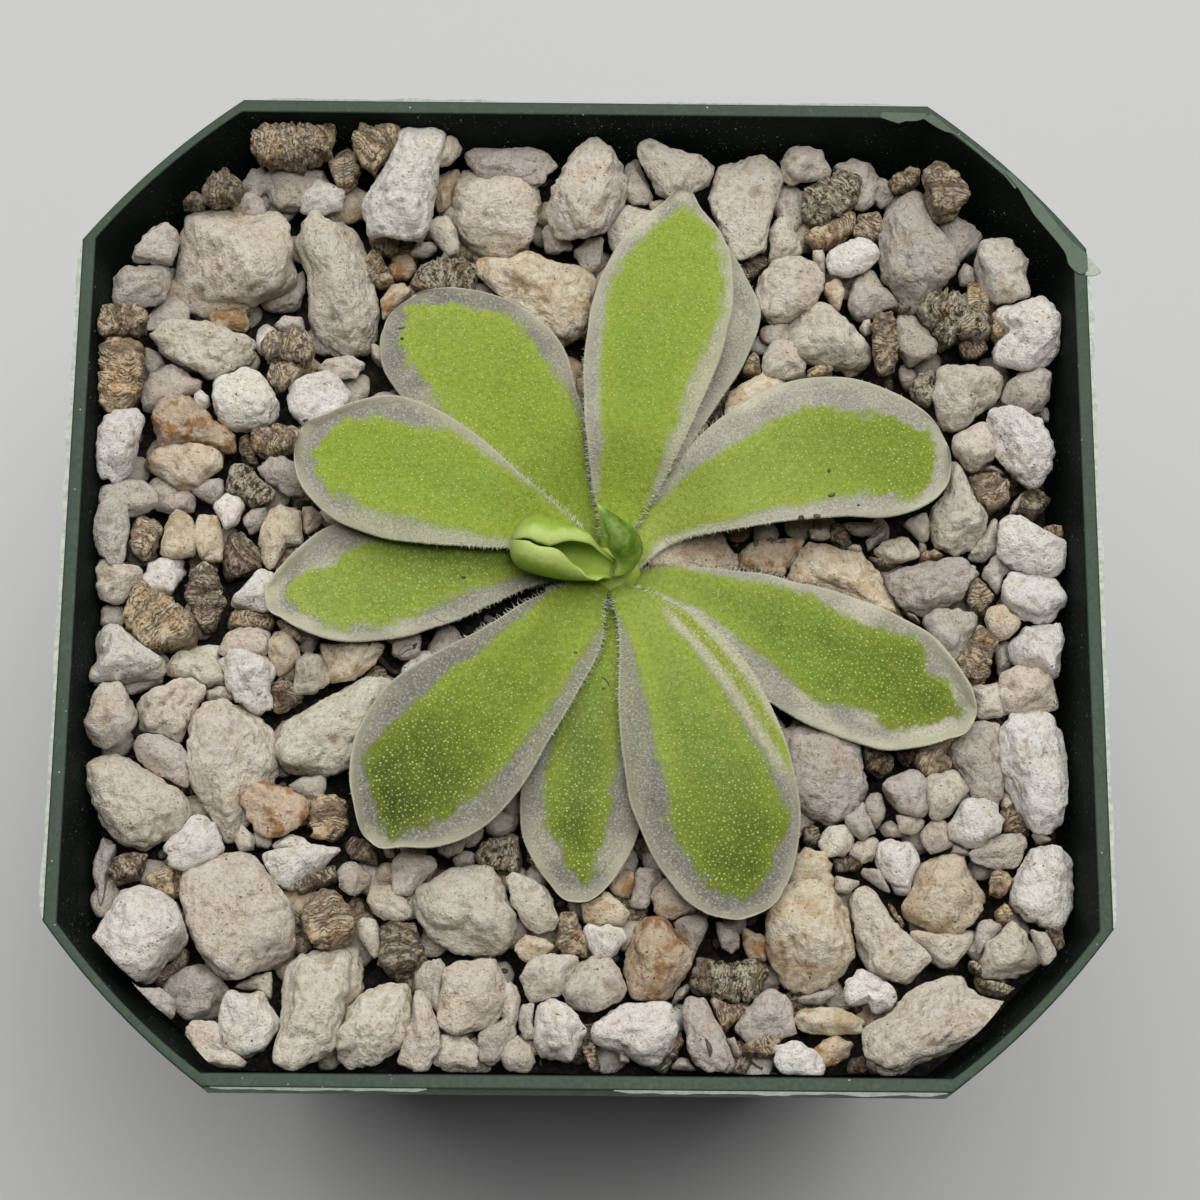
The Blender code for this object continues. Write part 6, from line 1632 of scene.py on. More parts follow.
def margin_colour(shader, leaf, place):
    """The clear margin: its colour follows what lies below it, with painted shade over deep gaps, specks and
    a pale edge.
    """
    edge, lip = shader.value("edge"), shader.value("lip")
    clear = shader.mix(shader.value("under"), linear(MARGIN_OVER_STONE), linear(MARGIN_OVER_LEAF))
    # Painted shade: the margin darkens where a deep gap lies below it.
    clear = shader.mix(shader.multiply(shader.value("dark"), 0.8), clear, linear(MARGIN_OVER_SHADE))
    clear = shader.mix(shader.ramp(edge, 2.0, 0.3, 0.0, 0.3), clear, linear(MARGIN_OUTER))
    clear = shader.tinted(1.0, clear, (MARGIN_TONE.get(leaf.name, 1.0),) * 3)
    depths = shader.noise(place, 0.42, 2.0)
    clear = shader.tinted(shader.ramp(depths, 0.35, 0.65, 0.4, 0.0), clear, linear(MARGIN_CLOUD))
    clear = shader.mix(shader.value("beside"), clear, linear(BESIDE_STREAK))
    clear = shader.mix(shader.value("streak"), clear, linear(STREAK))
    speck = shader.noise(place, 4.6, 3.0, 0.8)
    smooth = shader.math("ADD", lip, shader.ramp(edge, 1.2, 0.2))
    smooth = shader.ramp(smooth, 0.2, 1.0, 1.0, 0.3)
    darker = shader.multiply(smooth, shader.ramp(speck, 0.4, 0.52, 0.7, 0.0))
    lighter = shader.multiply(smooth, shader.ramp(speck, 0.52, 0.66, 0.0, 0.5))
    clear = shader.tinted(darker, clear, linear(MARGIN_SHADE))
    clear = shader.mix(lighter, clear, linear(MARGIN_LIGHT))
    clear = shader.mix(shader.ramp(edge, 0.26, 0.06, 0.0, 0.7), clear, linear(MARGIN_EDGE))
    return shader.mix(shader.multiply(lip, 0.7), clear, linear(LIP))


def leaf_material(leaf):
    shader = Shader(f"{leaf.name} skin")
    place, leafspace = shader.place(), shader.vector("leafspace")
    share, inside = shader.value("share"), shader.value("inside")
    jag = shader.noise(shader.stretch(leafspace, (1.0, 0.32, 1.0)), 0.95, 4.0, 0.7)
    jag = shader.multiply(shader.math("SUBTRACT", jag, 0.5), shader.ramp(share, 0.35, 0.85, 1.2, 2.8))
    tooth = shader.math("SUBTRACT", shader.noise(leafspace, 0.7, 2.0, 0.6), 0.5)
    tooth = shader.multiply(tooth, shader.ramp(share, 0.5, 0.95, 0.6, 2.6))
    border = shader.math("ADD", inside, shader.math("ADD", jag, tooth))
    green = shader.ramp(border, -0.5, 0.5)
    mottle = shader.noise(place, 2.5, 4.0, 0.75)
    body = green_colour(shader, leaf, place, mottle)
    clear = margin_colour(shader, leaf, place)
    colour = shader.tinted(1.0, shader.mix(green, clear, body), (LEAF_GAIN,) * 3)
    shader.set(Base_Color=colour, Roughness=shader.ramp(mottle, 0.3, 0.7, 0.42, 0.6))
    shader.set(Subsurface_Weight=0.1, Subsurface_Radius=LEAF_SCATTER, Subsurface_Scale=0.8 * MM)
    shader.set(Specular_IOR_Level=0.2)
    shader.bump(mottle, 0.16, 0.9)
    return shader.material


LEAF_SCATTER = (0.5, 0.7, 0.25)
LEAF_GAIN = 0.86
# How bright each leaf's margin is, where it isn't 1
MARGIN_TONE = {"leaf_southwest": 0.72, "leaf_south": 0.72, "leaf_south_under": 0.76, "leaf_northwest": 0.74,
               "leaf_east": 1.26, "leaf_east_under": 1.08, "leaf_north": 1.14, "leaf_north_under": 1.08}
LEAF_EDGE = (160, 172, 62)
LEAF_FRESH = (152, 176, 60)
LEAF_SHADE = (206, 212, 186)
LEAF_LIGHT = (176, 190, 104)
MARGIN_OVER_STONE = (198, 193, 170)
MARGIN_OVER_LEAF = (168, 170, 136)
# Painted shade of a deep gap seen through the margin
MARGIN_OVER_SHADE = (140, 138, 128)
MARGIN_OUTER = (196, 190, 166)
MARGIN_CLOUD = (220, 218, 214)
MARGIN_SHADE = (206, 205, 202)
MARGIN_LIGHT = (222, 220, 206)
MARGIN_EDGE = (206, 205, 176)
LIP = (200, 196, 166)
STREAK = (150, 164, 60)
BESIDE_STREAK = (190, 188, 152)
DEW_COLOUR = (146, 168, 74)

# The south leaf's streak: shares of the length, offsets of its middle line from the leaf's axis,
# and the half widths of the streak and of the pale band, where full and where faded out
STREAK_SHARES = (0.1, 0.2, 0.3, 0.4, 0.5, 0.62, 0.7)
STREAK_OFFSETS = (-2.6, -4.5, -6.0, -7.1, -7.9, -8.8, -9.0)
STREAK_REACH = ((0.35, 0.75), (1.2, 2.0))


def margin_streak(leaf, share, offset):
    """The yellow-green streak in the left margin of the south leaf, and the pale band round it."""
    if leaf.name != "leaf_south":
        return np.zeros((2, *share.shape))
    middle = np.interp(share, STREAK_SHARES, STREAK_OFFSETS)
    ends = smoothstep(0.1, 0.2, share) * smoothstep(0.72, 0.62, share)
    return [smoothstep(far, near, np.abs(offset - middle)) * ends for near, far in STREAK_REACH]


def what_lies_below(blade, leaf_trees, ground):
    """For each top point: 1 where another leaf backs it, and how deep the gap below it is, which sets the
    margin's painted shade.
    """
    under, dark = np.zeros(blade.share.size), np.zeros(blade.share.size)
    starts = blade.bottom.reshape(-1, 3) - 0.05 * UP
    margin = (blade.inside.ravel() < 1.6) & (blade.share.ravel() > 0.1)
    for index in np.flatnonzero(margin):
        start = Vector(starts[index])
        if any(tree.ray_cast(start, DOWN, LEAF_BELOW)[3] is not None for tree in leaf_trees):
            under[index] = 1.0
        else:
            hits = [tree.ray_cast(start, DOWN, GROUND_BELOW)[3] for tree in ground]
            nearest = min([hit for hit in hits if hit is not None], default=GROUND_BELOW)
            dark[index] = smoothstep(*SHADE_BELOW_DEPTHS, nearest)
    return blurred(under, blade.share.shape), blurred(dark, blade.share.shape)


def blurred(values, shape):
    """Values of the grid of points, evened out with their neighbours."""
    grid = values.reshape(shape)
    for _ in range(BLUR_ROUNDS):
        spread = np.pad(grid, 1, mode="edge")
        grid = (2 * grid + spread[:-2, 1:-1] + spread[2:, 1:-1] + spread[1:-1, :-2] + spread[1:-1, 2:]) / 6
    return grid.ravel()


BLUR_ROUNDS = 4
DOWN = Vector((0.0, 0.0, -1.0))
LEAF_BELOW = 5.0
GROUND_BELOW = 12.0
# Depths of the gap below a margin over which its painted shade grows from none to full
SHADE_BELOW_DEPTHS = (1.6, 4.6)


def make_leaf(blade, leaf_trees, ground):
    leaf = blade.leaf
    under, dark = what_lies_below(blade, leaf_trees, ground)
    lip = leaf.lip * smoothstep(1.5, 0.5, blade.edge) * smoothstep(0.74, 0.92, blade.share)
    streak, beside = margin_streak(leaf, blade.share, blade.offset)
    leafspace = [blade.offset, blade.share * leaf.length, np.full_like(blade.share, leaf.azimuth)]
    # The dark attribute carries the painted shade of the gaps below the margin.
    one_side = {
        "inside": blade.inside.ravel(), "share": blade.share.ravel(), "edge": blade.edge.ravel(),
        "under": under, "dark": dark, "lip": lip.ravel(), "streak": streak.ravel(),
        "beside": beside.ravel(), "leafspace": np.stack(leafspace, axis=-1).reshape(-1, 3),
    }
    attributes = {key: np.concatenate([value, value]) for key, value in one_side.items()}
    points, faces = blade.solid()
    made = make_object(f"{leaf.name}_blade", points, faces, leaf_material(leaf), attributes)
    return declare(made, "leaf", leaf.name)


# Dew on the glands, and the hairs of the margins near the crown

DEW_PITCH = 0.43
DEW_RADIUS = (0.055, 0.14)
DEW_SIDES = 4
DEW_HEIGHT = 0.6
DEW_START, DEW_END = 0.14, 0.985
DEW_WANDER = 0.09
DEW_EDGE = 0.15
DEW_LEFT_OUT = 0.85
HAIR_PITCH = 0.22
HAIR_START, HAIR_END = 2.6, 0.97
HAIR_LENGTH = (0.35, 0.75)
HAIR_RADIUS = 0.027
HAIR_ROWS = (1.0, 0.93, 0.85, 0.78)
HAIR_FACES = ((0, 1, 4), (0, 4, 3), (1, 2, 5), (1, 5, 4), (2, 0, 3), (2, 3, 5),
              (3, 4, 6), (4, 5, 6), (5, 3, 6))


@lru_cache(maxsize=None)
def drop():
    """Rings of a low dome of unit radius, the outer one first, and its three-cornered faces."""
    rings = []
    for radius, height in ((1.0, -0.5), (0.72, 0.45 * DEW_HEIGHT)):
        for corner in range(DEW_SIDES):
            angle = 2.0 * math.pi * (corner + 0.5 * (height > 0)) / DEW_SIDES
            rings.append((radius * math.cos(angle), radius * math.sin(angle), height))
    rings.append((0.0, 0.0, DEW_HEIGHT))
    faces = []
    for corner in range(DEW_SIDES):
        after = (corner + 1) % DEW_SIDES
        faces.append((corner, after, DEW_SIDES + corner))
        faces.append((after, DEW_SIDES + after, DEW_SIDES + corner))
        faces.append((DEW_SIDES + corner, DEW_SIDES + after, 2 * DEW_SIDES))
    return np.array(rings), np.array(faces)


def add_dew(heap, blade):
    """Droplets in staggered rows, on the green middle and here and there on the margin."""
    leaf = blade.leaf
    rng = np.random.default_rng(3000 + leaf.azimuth)
    points, faces = drop()
    rows = int(leaf.length / (DEW_PITCH * 0.87))
    for row in range(int(rows * DEW_START), rows):
        share = (row + 0.5) / rows
        left, right = (float(half) for half in leaf_outline(leaf, np.array(share)))
        columns = int((left + right) / DEW_PITCH)
        for column in range(columns):
            shift = 0.5 * (row % 2)
            offset = -left + (column + 0.5 + shift) * DEW_PITCH + rng.normal(0.0, DEW_WANDER)
            here = share + rng.normal(0.0, DEW_WANDER) / leaf.length
            size = between(*DEW_RADIUS, rng.random() ** 1.6)
            depth = float(green_depth(leaf, np.array(here), np.array(offset)))
            if not DEW_EDGE < offset + left < left + right - DEW_EDGE or here > DEW_END:
                continue
            if depth < 0.1:
                if rng.random() < DEW_LEFT_OUT:
                    continue
                size *= 0.7
            size *= between(0.6, 1.0, float(smoothstep(0.15, 0.6, here)))
            spot = blade.sample(here, 2.0 * (offset + left) / (left + right) - 1.0)[0]
            heap.add(points * size + spot, faces, glow=rng.random())


def add_hair(heap, root, way, length, rng):
    """A fine tapered hair of two lengths, bent a little."""
    way = way / np.linalg.norm(way)
    side = np.cross(way, UP)
    side /= max(np.linalg.norm(side), 0.01)
    up = np.cross(side, way)
    bend = rng.normal(0.0, 0.12, 2)
    middle = root + way * length * 0.5
    end = root + way * length + (side * bend[0] + up * bend[1]) * length * 2.0
    rings = []
    for centre, radius in ((root, HAIR_RADIUS), (middle, HAIR_RADIUS * 0.8)):
        for angle in (0.0, 2.1, 4.2):
            rings.append(centre + (side * math.cos(angle) + up * math.sin(angle)) * radius)
    heap.add(np.array(rings + [end]), HAIR_FACES)


def add_hairs(heap, blade):
    """Hairs along both margins, in up to four rows near the crown and fewer farther out."""
    leaf = blade.leaf
    rng = np.random.default_rng(4000 + leaf.azimuth)
    azimuth = math.radians(leaf.azimuth)
    out = np.array([math.cos(azimuth), math.sin(azimuth), 0.0])
    across = np.array([out[1], -out[0], 0.0])
    for side in (-1.0, 1.0):
        reach = HAIR_START
        while reach < leaf.length * HAIR_END:
            share = reach / leaf.length
            fading = float(smoothstep(0.75, 0.25, share))
            if rng.random() < 0.25 + 0.75 * fading:
                for inset in HAIR_ROWS[:1 + int(3.2 * fading * rng.random())]:
                    root, normal = blade.sample(share + rng.normal(0.0, 0.004), side * inset * 0.985)
                    way = across * side * rng.uniform(0.5, 1.2) + normal * rng.uniform(0.2, 0.9)
                    way = way + out * rng.normal(0.15, 0.35)
                    length = rng.uniform(*HAIR_LENGTH) * between(0.45, 1.0, fading)
                    add_hair(heap, root - across * side * 0.05, way, length, rng)
            reach += HAIR_PITCH * rng.uniform(0.5, 1.2)


def dew_material():
    shader = Shader("dew")
    # Each drop is paler by a random share, partly the glands' own colour and partly painted glints.
    glow = shader.value("glow")
    shader.set(Base_Color=shader.mix(glow, linear(DEW_COLOUR), linear(DEW_GLINT)), Roughness=0.3)
    shader.set(Specular_IOR_Level=0.45)
    return shader.material


def hair_material():
    shader = Shader("hairs")
    tone = shader.noise(shader.place(), 1.2)
    shader.set(Base_Color=shader.mix(tone, linear(HAIR_SHADE), linear(HAIR_LIGHT)), Roughness=0.35)
    return shader.material


# Paler drop colour, partly painted glint
DEW_GLINT = (184, 198, 120)
HAIR_SHADE = (196, 198, 176)
HAIR_LIGHT = (232, 232, 220)


def make_leaves(blades, ground):
    trees = [blade.tree() for blade in blades]
    dews, hairs = [Heap(), Heap()], Heap()
    for index, blade in enumerate(blades):
        others = trees[:index] + trees[index + 1:]
        make_leaf(blade, others, ground)
        add_dew(dews[index % 2], blade)
        add_hairs(hairs, blade)
    look = dew_material()
    for name, heap in zip(("dew_one", "dew_two"), dews):
        declare(heap.make(name, look), "leaf")
    declare(hairs.make("margin_hairs", hair_material()), "leaf")


# Crown and young leaves: each blade is rolled about a middle line, with the angle from its
# back to each margin in degrees. The end closes from a share of the length on, by two powers.

YoungLeaf = namedtuple("YoungLeaf", "name stops path radius upper lower opening end outer inner pale foot")
# Each young leaf's inner colour is lighter than its outer one, partly its own colour and partly painted light
# that shines through the thin blade.
YOUNG_LEAVES = (
    YoungLeaf(
        "leaf_young_rolled", (0.0, 0.18, 0.35, 0.63, 0.86, 1.0),
        ((2.7, 1.7, POT_HEIGHT - 4.1), (1.2, 2.1, POT_HEIGHT - 3.4), (-0.2, 2.5, POT_HEIGHT - 2.8),
         (-2.8, 3.0, POT_HEIGHT - 2.2), (-4.9, 3.5, POT_HEIGHT - 1.9), (-6.1, 3.6, POT_HEIGHT - 1.8)),
        (0.8, 1.3, 2.1, 2.4, 2.4, 2.4), (96, 118, 134, 172, 179, 179), (98, 118, 146, 176, 179, 179),
        (0.12, -0.30, 1.0), (0.76, 2.0, 0.5),
        (130, 158, 50), (154, 182, 58), (176, 196, 108), (146, 170, 62)),
    YoungLeaf(
        "leaf_young_pointed", (0.0, 0.25, 0.5, 0.75, 1.0),
        ((3.5, 1.6, POT_HEIGHT - 4.3), (4.0, 2.7, POT_HEIGHT - 3.4), (3.4, 3.8, POT_HEIGHT - 2.4),
         (2.4, 5.1, POT_HEIGHT - 1.4), (1.3, 6.5, POT_HEIGHT - 0.5)),
        (0.95, 1.2, 1.45, 1.3, 0.9), (160, 168, 170, 172, 172), (160, 168, 170, 172, 172),
        (-0.9, 0.3, 0.25), (0.5, 1.5, 1.0),
        (84, 114, 30), (130, 162, 54), (168, 188, 104), (134, 160, 56)),
)
YOUNG_HALF = 0.22
YOUNG_ROWS = 66
YOUNG_COLUMNS = 56
YOUNG_CROWDING, YOUNG_END = 0.85, 0.999
YOUNG_CURL = 0.16
YOUNG_WAVE = 5.0
YOUNG_FLAP = 0.55
WIDEST_WRAP = 179.0
YOUNG_LIGHT = (164, 188, 94)


def rolled_points(leaf, share, side):
    """Outside and inside of a blade that is rolled up along its length."""
    middle = np.stack([smooth_curve(leaf.stops, values, share) for values in zip(*leaf.path)], axis=-1)
    along = np.array(leaf.path[-1]) - np.array(leaf.path[0])
    along /= np.linalg.norm(along)
    across = np.cross(along, np.array(leaf.opening))
    across /= np.linalg.norm(across)
    back = np.cross(along, across)
    start, rise, fall = leaf.end
    closing = np.clip((share - start) / (1.0 - start), 0.0, 1.0)
    radius = smooth_curve(leaf.stops, leaf.radius, share) * np.clip(1.0 - closing ** rise, 0.0, 1.0) ** fall
    upper, lower = (smooth_curve(leaf.stops, values, share) for values in (leaf.upper, leaf.lower))
    wrap = np.where(side > 0, upper, lower)
    edge = np.abs(side) ** 4
    wrap += YOUNG_WAVE * edge * np.sin(share * 17.0 + 2.0 * side)
    angle = np.radians(np.minimum(wrap, WIDEST_WRAP)) * side
    outward = np.cos(angle)[..., None] * back + np.sin(angle)[..., None] * across
    spiral = radius * (1.0 - YOUNG_CURL * edge * (1.0 - closing))
    if leaf.name == "leaf_young_rolled":
        flap = smoothstep(0.04, 0.14, share) * smoothstep(0.36, 0.22, share) * (side < 0)
        spiral = spiral + radius * YOUNG_FLAP * flap * np.abs(side) ** 5
    half = YOUNG_HALF * np.sqrt(np.clip(1.0 - np.abs(side) ** 8, 0.04, 1.0)) * between(1.0, 0.6, share)
    half = np.minimum(half, spiral * 0.9)
    spiral, half = spiral[..., None], half[..., None]
    return middle + outward * (spiral + half), middle + outward * (spiral - half)


def young_material(leaf):
    shader = Shader(f"{leaf.name} skin")
    place = shader.place()
    share, margin, inward = shader.value("share"), shader.value("margin"), shader.value("inward")
    grain = shader.noise(place, 1.1, 3.0, 0.6)
    # Painted light: the inside of the roll is lighter green, for light that shines through the thin blade.
    body = shader.mix(inward, linear(leaf.outer), linear(leaf.inner))
    body = shader.mix(shader.ramp(share, 0.45, 0.05), body, linear(leaf.foot))
    body = shader.mix(shader.ramp(grain, 0.35, 0.65, 0.0, 0.35), body, linear(YOUNG_LIGHT))
    reach = shader.math("ADD", margin, shader.multiply(shader.math("SUBTRACT", grain, 0.5), 1.2))
    pale = shader.multiply(shader.ramp(reach, 1.15, 0.5), shader.ramp(share, 0.02, 0.14))
    colour = shader.mix(pale, body, linear(leaf.pale))
    # Paler towards the end: the pointed leaf's own pale tip, and on the rolled leaf's hood a painted
    # highlight.
    colour = shader.mix(shader.ramp(share, 0.86, 1.0, 0.0, 0.8), colour, linear(leaf.pale))
    shader.set(Base_Color=colour, Roughness=0.5, Specular_IOR_Level=0.3)
    shader.set(Subsurface_Weight=0.15, Subsurface_Radius=LEAF_SCATTER, Subsurface_Scale=0.8 * MM)
    shader.bump(shader.noise(place, 2.6, 3.0), 0.08, 0.6)
    return shader.material


def make_young_leaf(leaf):
    rows = np.linspace(0.0, 1.0, YOUNG_ROWS) ** YOUNG_CROWDING * YOUNG_END
    share, side = np.meshgrid(rows, np.linspace(-1.0, 1.0, YOUNG_COLUMNS), indexing="ij")
    outside, inside = rolled_points(leaf, share, side)
    count = share.size
    points = np.concatenate([outside.reshape(-1, 3), inside.reshape(-1, 3)])
    faces = grid_faces(YOUNG_ROWS, YOUNG_COLUMNS, flipped=True)
    faces += grid_faces(YOUNG_ROWS, YOUNG_COLUMNS, start=count)
    faces += [(b, b + count, a + count, a) for a, b in grid_rim(YOUNG_ROWS, YOUNG_COLUMNS)]
    radius = smooth_curve(leaf.stops, leaf.radius, share)
    margin = (1.0 - np.abs(side)) * radius * math.radians(min(leaf.upper))
    attributes = {
        "share": np.tile(share.ravel(), 2), "margin": np.tile(margin.ravel(), 2),
        "inward": np.repeat([0.0, 1.0], count),
    }
    made = make_object(f"{leaf.name}_blade", points, faces, young_material(leaf), attributes)
    return declare(made, "young_leaf", leaf.name)


def make_crown():
    """The short stem, with a low dome on top under the young leaves."""
    sections = []
    shoulder = CROWN_TOP - 2.4
    profile = [(1.4, CROWN_FOOT), (CROWN_RADIUS, CROWN_FOOT + 3.0), (CROWN_RADIUS, shoulder)]
    for step in range(1, 9):
        angle = step * math.pi / 18
        profile.append((CROWN_RADIUS * math.cos(angle), shoulder + 2.2 * math.sin(angle)))
    angles = np.linspace(0.0, 2.0 * math.pi, CROWN_SIDES + 1)[:-1]
    for radius, z in profile:
        ring = np.column_stack([np.cos(angles), np.sin(angles), np.zeros(CROWN_SIDES)]) * radius
        sections.append(ring * (1.0 + 0.05 * np.cos(angles * 5.0))[:, None] + np.array([*CROWN, z]))
    points, faces = skin(sections)
    shader = Shader("crown skin")
    tone = shader.noise(shader.place(), 0.8, 3.0)
    shader.set(Base_Color=shader.mix(tone, linear(CROWN_SHADE), linear(CROWN_LIGHT)), Roughness=0.45)
    shader.bump(tone, 0.1)
    return declare(make_object("crown_stem", points, faces, shader.material), "leaf", "crown")


CROWN_SIDES = 32
CROWN_SHADE = (158, 176, 74)
CROWN_LIGHT = (190, 206, 100)


# Litter: dark grains and fibres that lie on leaves and stones

# Middle, length, width and turn in degrees of each grain
GRAINS = (
    (-16.2, 24.3, 0.8, 0.2, 12), (-16.2, 23.2, 0.35, 0.25, 0), (-10.3, 0.9, 0.4, 0.3, 0),
    (21.5, 10.3, 0.4, 0.25, 60), (24.0, 7.0, 0.3, 0.25, 0), (-0.5, -6.0, 0.35, 0.25, 0),
    (2.0, -9.0, 0.3, 0.25, 0), (21.7, 8.0, 0.7, 0.4, 20), (-6.3, -33.0, 0.7, 0.5, 0),
    (-7.5, -32.5, 0.6, 0.45, 30), (15.3, 5.0, 0.8, 0.5, 70), (16.6, 5.3, 0.9, 0.5, 10),
    (17.7, 5.1, 0.7, 0.5, 30), (19.0, 5.7, 0.6, 0.5, 80), (20.4, 5.9, 0.7, 0.4, 0),
    (10.9, -40.1, 1.1, 0.3, 100),
)
# Points along each fibre, its half width and how pale it is
FIBRES = (
    (((-18.7, -4.7), (-16.8, -5.9), (-15.5, -5.9), (-14.3, -4.6)), 0.30, 0.1),
    (((-15.9, -5.6), (-15.3, -5.1), (-14.6, -4.9)), 0.24, 0.9),
    (((-13.0, -2.6), (-12.2, -3.1), (-11.2, -3.3)), 0.07, 0.8),
    (((13.9, -40.3), (15.2, -41.2), (16.8, -41.8)), 0.11, 0.15),
    (((10.6, -39.4), (11.1, -40.2), (11.0, -41.0)), 0.12, 0.15),
    (((1.7, -7.9), (2.2, -8.2), (2.5, -8.9)), 0.045, 0.0),
    (((-24.9, 15.6), (-24.1, 15.6), (-23.5, 14.8)), 0.14, 0.0),
)
FIBRE_SIDES = 6
FIBRE_STEPS = 14
FIBRE_UP = np.array([0.0, 0.0, 0.6])


def resting(trees, x, y):
    """Height of the highest surface over a point."""
    above = Vector((x, y, POT_HEIGHT + 5.0))
    hits = [tree.ray_cast(above, DOWN, 20.0)[0] for tree in trees]
    return max([hit.z for hit in hits if hit is not None], default=POT_HEIGHT - BED_DEPTH)


def in_triangles(quads):
    return np.concatenate([quads[:, :3], quads[:, [0, 2, 3]]])


def add_fibre(heap, trees, line, radius, tone):
    """A thin fibre that lies on what is below it and tapers at both ends."""
    share = np.linspace(0.0, 1.0, FIBRE_STEPS)
    stops = np.linspace(0.0, 1.0, len(line))
    flat = np.column_stack([smooth_curve(stops, axis, share) for axis in zip(*line)])
    heights = np.array([resting(trees, x, y) for x, y in flat])
    heights = np.convolve(np.pad(heights, 2, mode="edge"), np.ones(5) / 5, mode="valid") + radius * 0.6
    along = np.gradient(flat, axis=0)
    across = np.column_stack([-along[:, 1], along[:, 0], np.zeros(FIBRE_STEPS)])
    across /= np.linalg.norm(across, axis=1, keepdims=True)
    thick = radius * np.sqrt(np.clip(1.0 - np.abs(2.0 * share - 1.0) ** 4, 0.05, 1.0))[:, None]
    centre = np.column_stack([flat, heights])
    rings = [centre + thick * (across * math.cos(angle) + FIBRE_UP * math.sin(angle))
             for angle in np.arange(FIBRE_SIDES) * 2.0 * math.pi / FIBRE_SIDES]
    sides = np.array(grid_faces(FIBRE_STEPS, FIBRE_SIDES, closed=True, flipped=True))
    ends = [(0, k + 1, k) for k in range(1, FIBRE_SIDES - 1)]
    last = (FIBRE_STEPS - 1) * FIBRE_SIDES
    ends += [(last, last + k, last + k + 1) for k in range(1, FIBRE_SIDES - 1)]
    triangles = np.concatenate([in_triangles(sides), np.array(ends)])
    heap.add(np.stack(rings, axis=1).reshape(-1, 3), triangles, tone=tone)


def make_litter(trees):
    heap = Heap()
    rng = np.random.default_rng(5)
    ways, quads = ball(3)
    triangles = in_triangles(quads)
    for x, y, length, width, turn in GRAINS:
        shape = ways * (1.0 + rng.uniform(-0.25, 0.15, (len(ways), 1))) * (length / 2, width / 2, width / 3)
        shape = spin(shape, turn, (0.0, 0.0))
        heap.add(shape + (x, y, resting(trees, x, y) + width / 6), triangles, tone=rng.uniform(0.0, 0.25))
    for line, radius, tone in FIBRES:
        add_fibre(heap, trees, line, radius, tone)
    shader = Shader("litter")
    grain = shader.noise(shader.place(), 3.0, 3.0, 0.7)
    colour = shader.mix(shader.value("tone"), linear(GRAIN_DARK), linear(GRAIN_PALE))
    colour = shader.mix(shader.ramp(grain, 0.45, 0.65, 0.0, 0.4), colour, linear(GRAIN_BROWN))
    shader.set(Base_Color=colour, Roughness=0.6)
    return declare(heap.make("litter_on_top", shader.material), "growing_mix")


GRAIN_DARK = (36, 28, 18)
GRAIN_BROWN = (104, 80, 54)
GRAIN_PALE = (176, 168, 150)


# Floor, light and camera

def add_light(name, place, aim, size, watts):
    data = bpy.data.lights.new(name, "AREA")
    data.shape = "DISK"
    data.size = size
    data.energy = watts
    light = bpy.data.objects.new(name, data)
    light.location = place
    light.rotation_euler = (Vector(aim) - Vector(place)).to_track_quat("-Z", "Y").to_euler()
    bpy.context.scene.collection.objects.link(light)


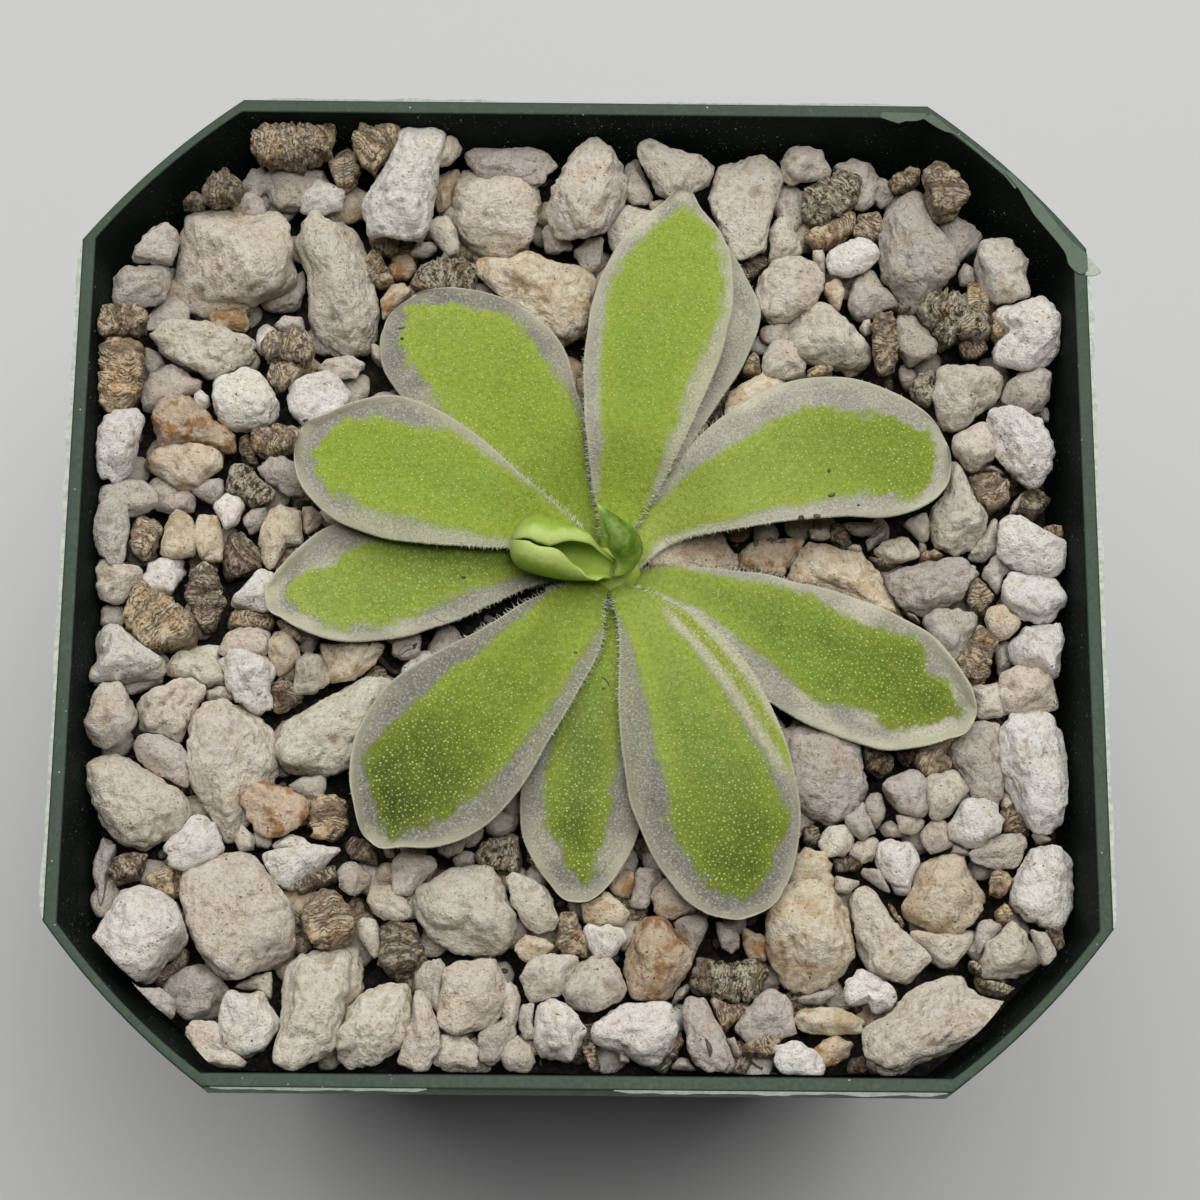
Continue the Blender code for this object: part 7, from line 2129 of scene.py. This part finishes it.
def make_stage():
    shader = Shader("floor")
    place = shader.place()
    tone = shader.noise(place, 0.004, 1.0)
    shader.set(Base_Color=shader.mix(tone, linear(FLOOR_LOW), linear(FLOOR_HIGH)), Roughness=0.75)
    half = FLOOR_SIZE / 2
    corners = [(-half, -half, 0.0), (half, -half, 0.0), (half, half, 0.0), (-half, half, 0.0)]
    floor = make_object("floor", corners, [(0, 1, 2, 3)], shader.material)

    world = bpy.data.worlds.new("soft room")
    world.use_nodes = True
    world.node_tree.nodes["Background"].inputs["Color"].default_value = (*ROOM_COLOUR, 1.0)
    world.node_tree.nodes["Background"].inputs["Strength"].default_value = ROOM_STRENGTH
    bpy.context.scene.world = world
    add_light("window", *WINDOW)
    add_light("ceiling", *CEILING_LIGHT)

    camera = bpy.data.cameras.new("camera")
    camera.lens = CAMERA_LENS
    camera.sensor_width = SENSOR
    camera.clip_start = CLIP_START
    viewer = bpy.data.objects.new("camera", camera)
    viewer.location = [value * MM for value in EYE[:2]] + [(EYE[2] - CAMERA_DROP) * MM]
    viewer.rotation_euler = [math.radians(angle) for angle in CAMERA_TURN]
    bpy.context.scene.collection.objects.link(viewer)
    bpy.context.scene.camera = viewer
    bpy.context.scene.view_settings.view_transform = "Standard"


CLIP_START = 0.01
FLOOR_SIZE = 4000.0
FLOOR_LOW = (190, 191, 189)
FLOOR_HIGH = (196, 197, 194)
ROOM_COLOUR = (0.93, 0.96, 1.0)
ROOM_STRENGTH = 0.035
# Place and aim in metres, size and power of each light
WINDOW = ((0.02, 0.5, 1.15), (0.0, 0.0, 0.0), 1.8, 22.5)
CEILING_LIGHT = ((0.15, -0.1, 1.15), (0.0, 0.0, 0.0), 0.35, 2.2)


def ceiling_under(blades):
    """A function that gives the height of the lowest leaf over a point."""
    heap = Heap()
    for blade in blades:
        heap.add(*blade.solid())
    tree = heap.tree()

    def ceiling(point):
        hit = tree.ray_cast(Vector((point[0], point[1], LOWEST_CEILING)), UPWARDS, 30.0)[0]
        return hit.z if hit else np.inf
    return ceiling


LOWEST_CEILING = POT_HEIGHT - 14.0
UPWARDS = Vector((0.0, 0.0, 1.0))


def main():
    make_pot(pot_material())
    make_flash()
    blades = [Blade(leaf) for leaf in LEAVES]
    ground = make_mix(ceiling_under(blades))
    make_leaves(blades, ground)
    make_litter(ground + [blade.tree() for blade in blades])
    make_crown()
    for leaf in YOUNG_LEAVES:
        make_young_leaf(leaf)
    make_stage()


main()
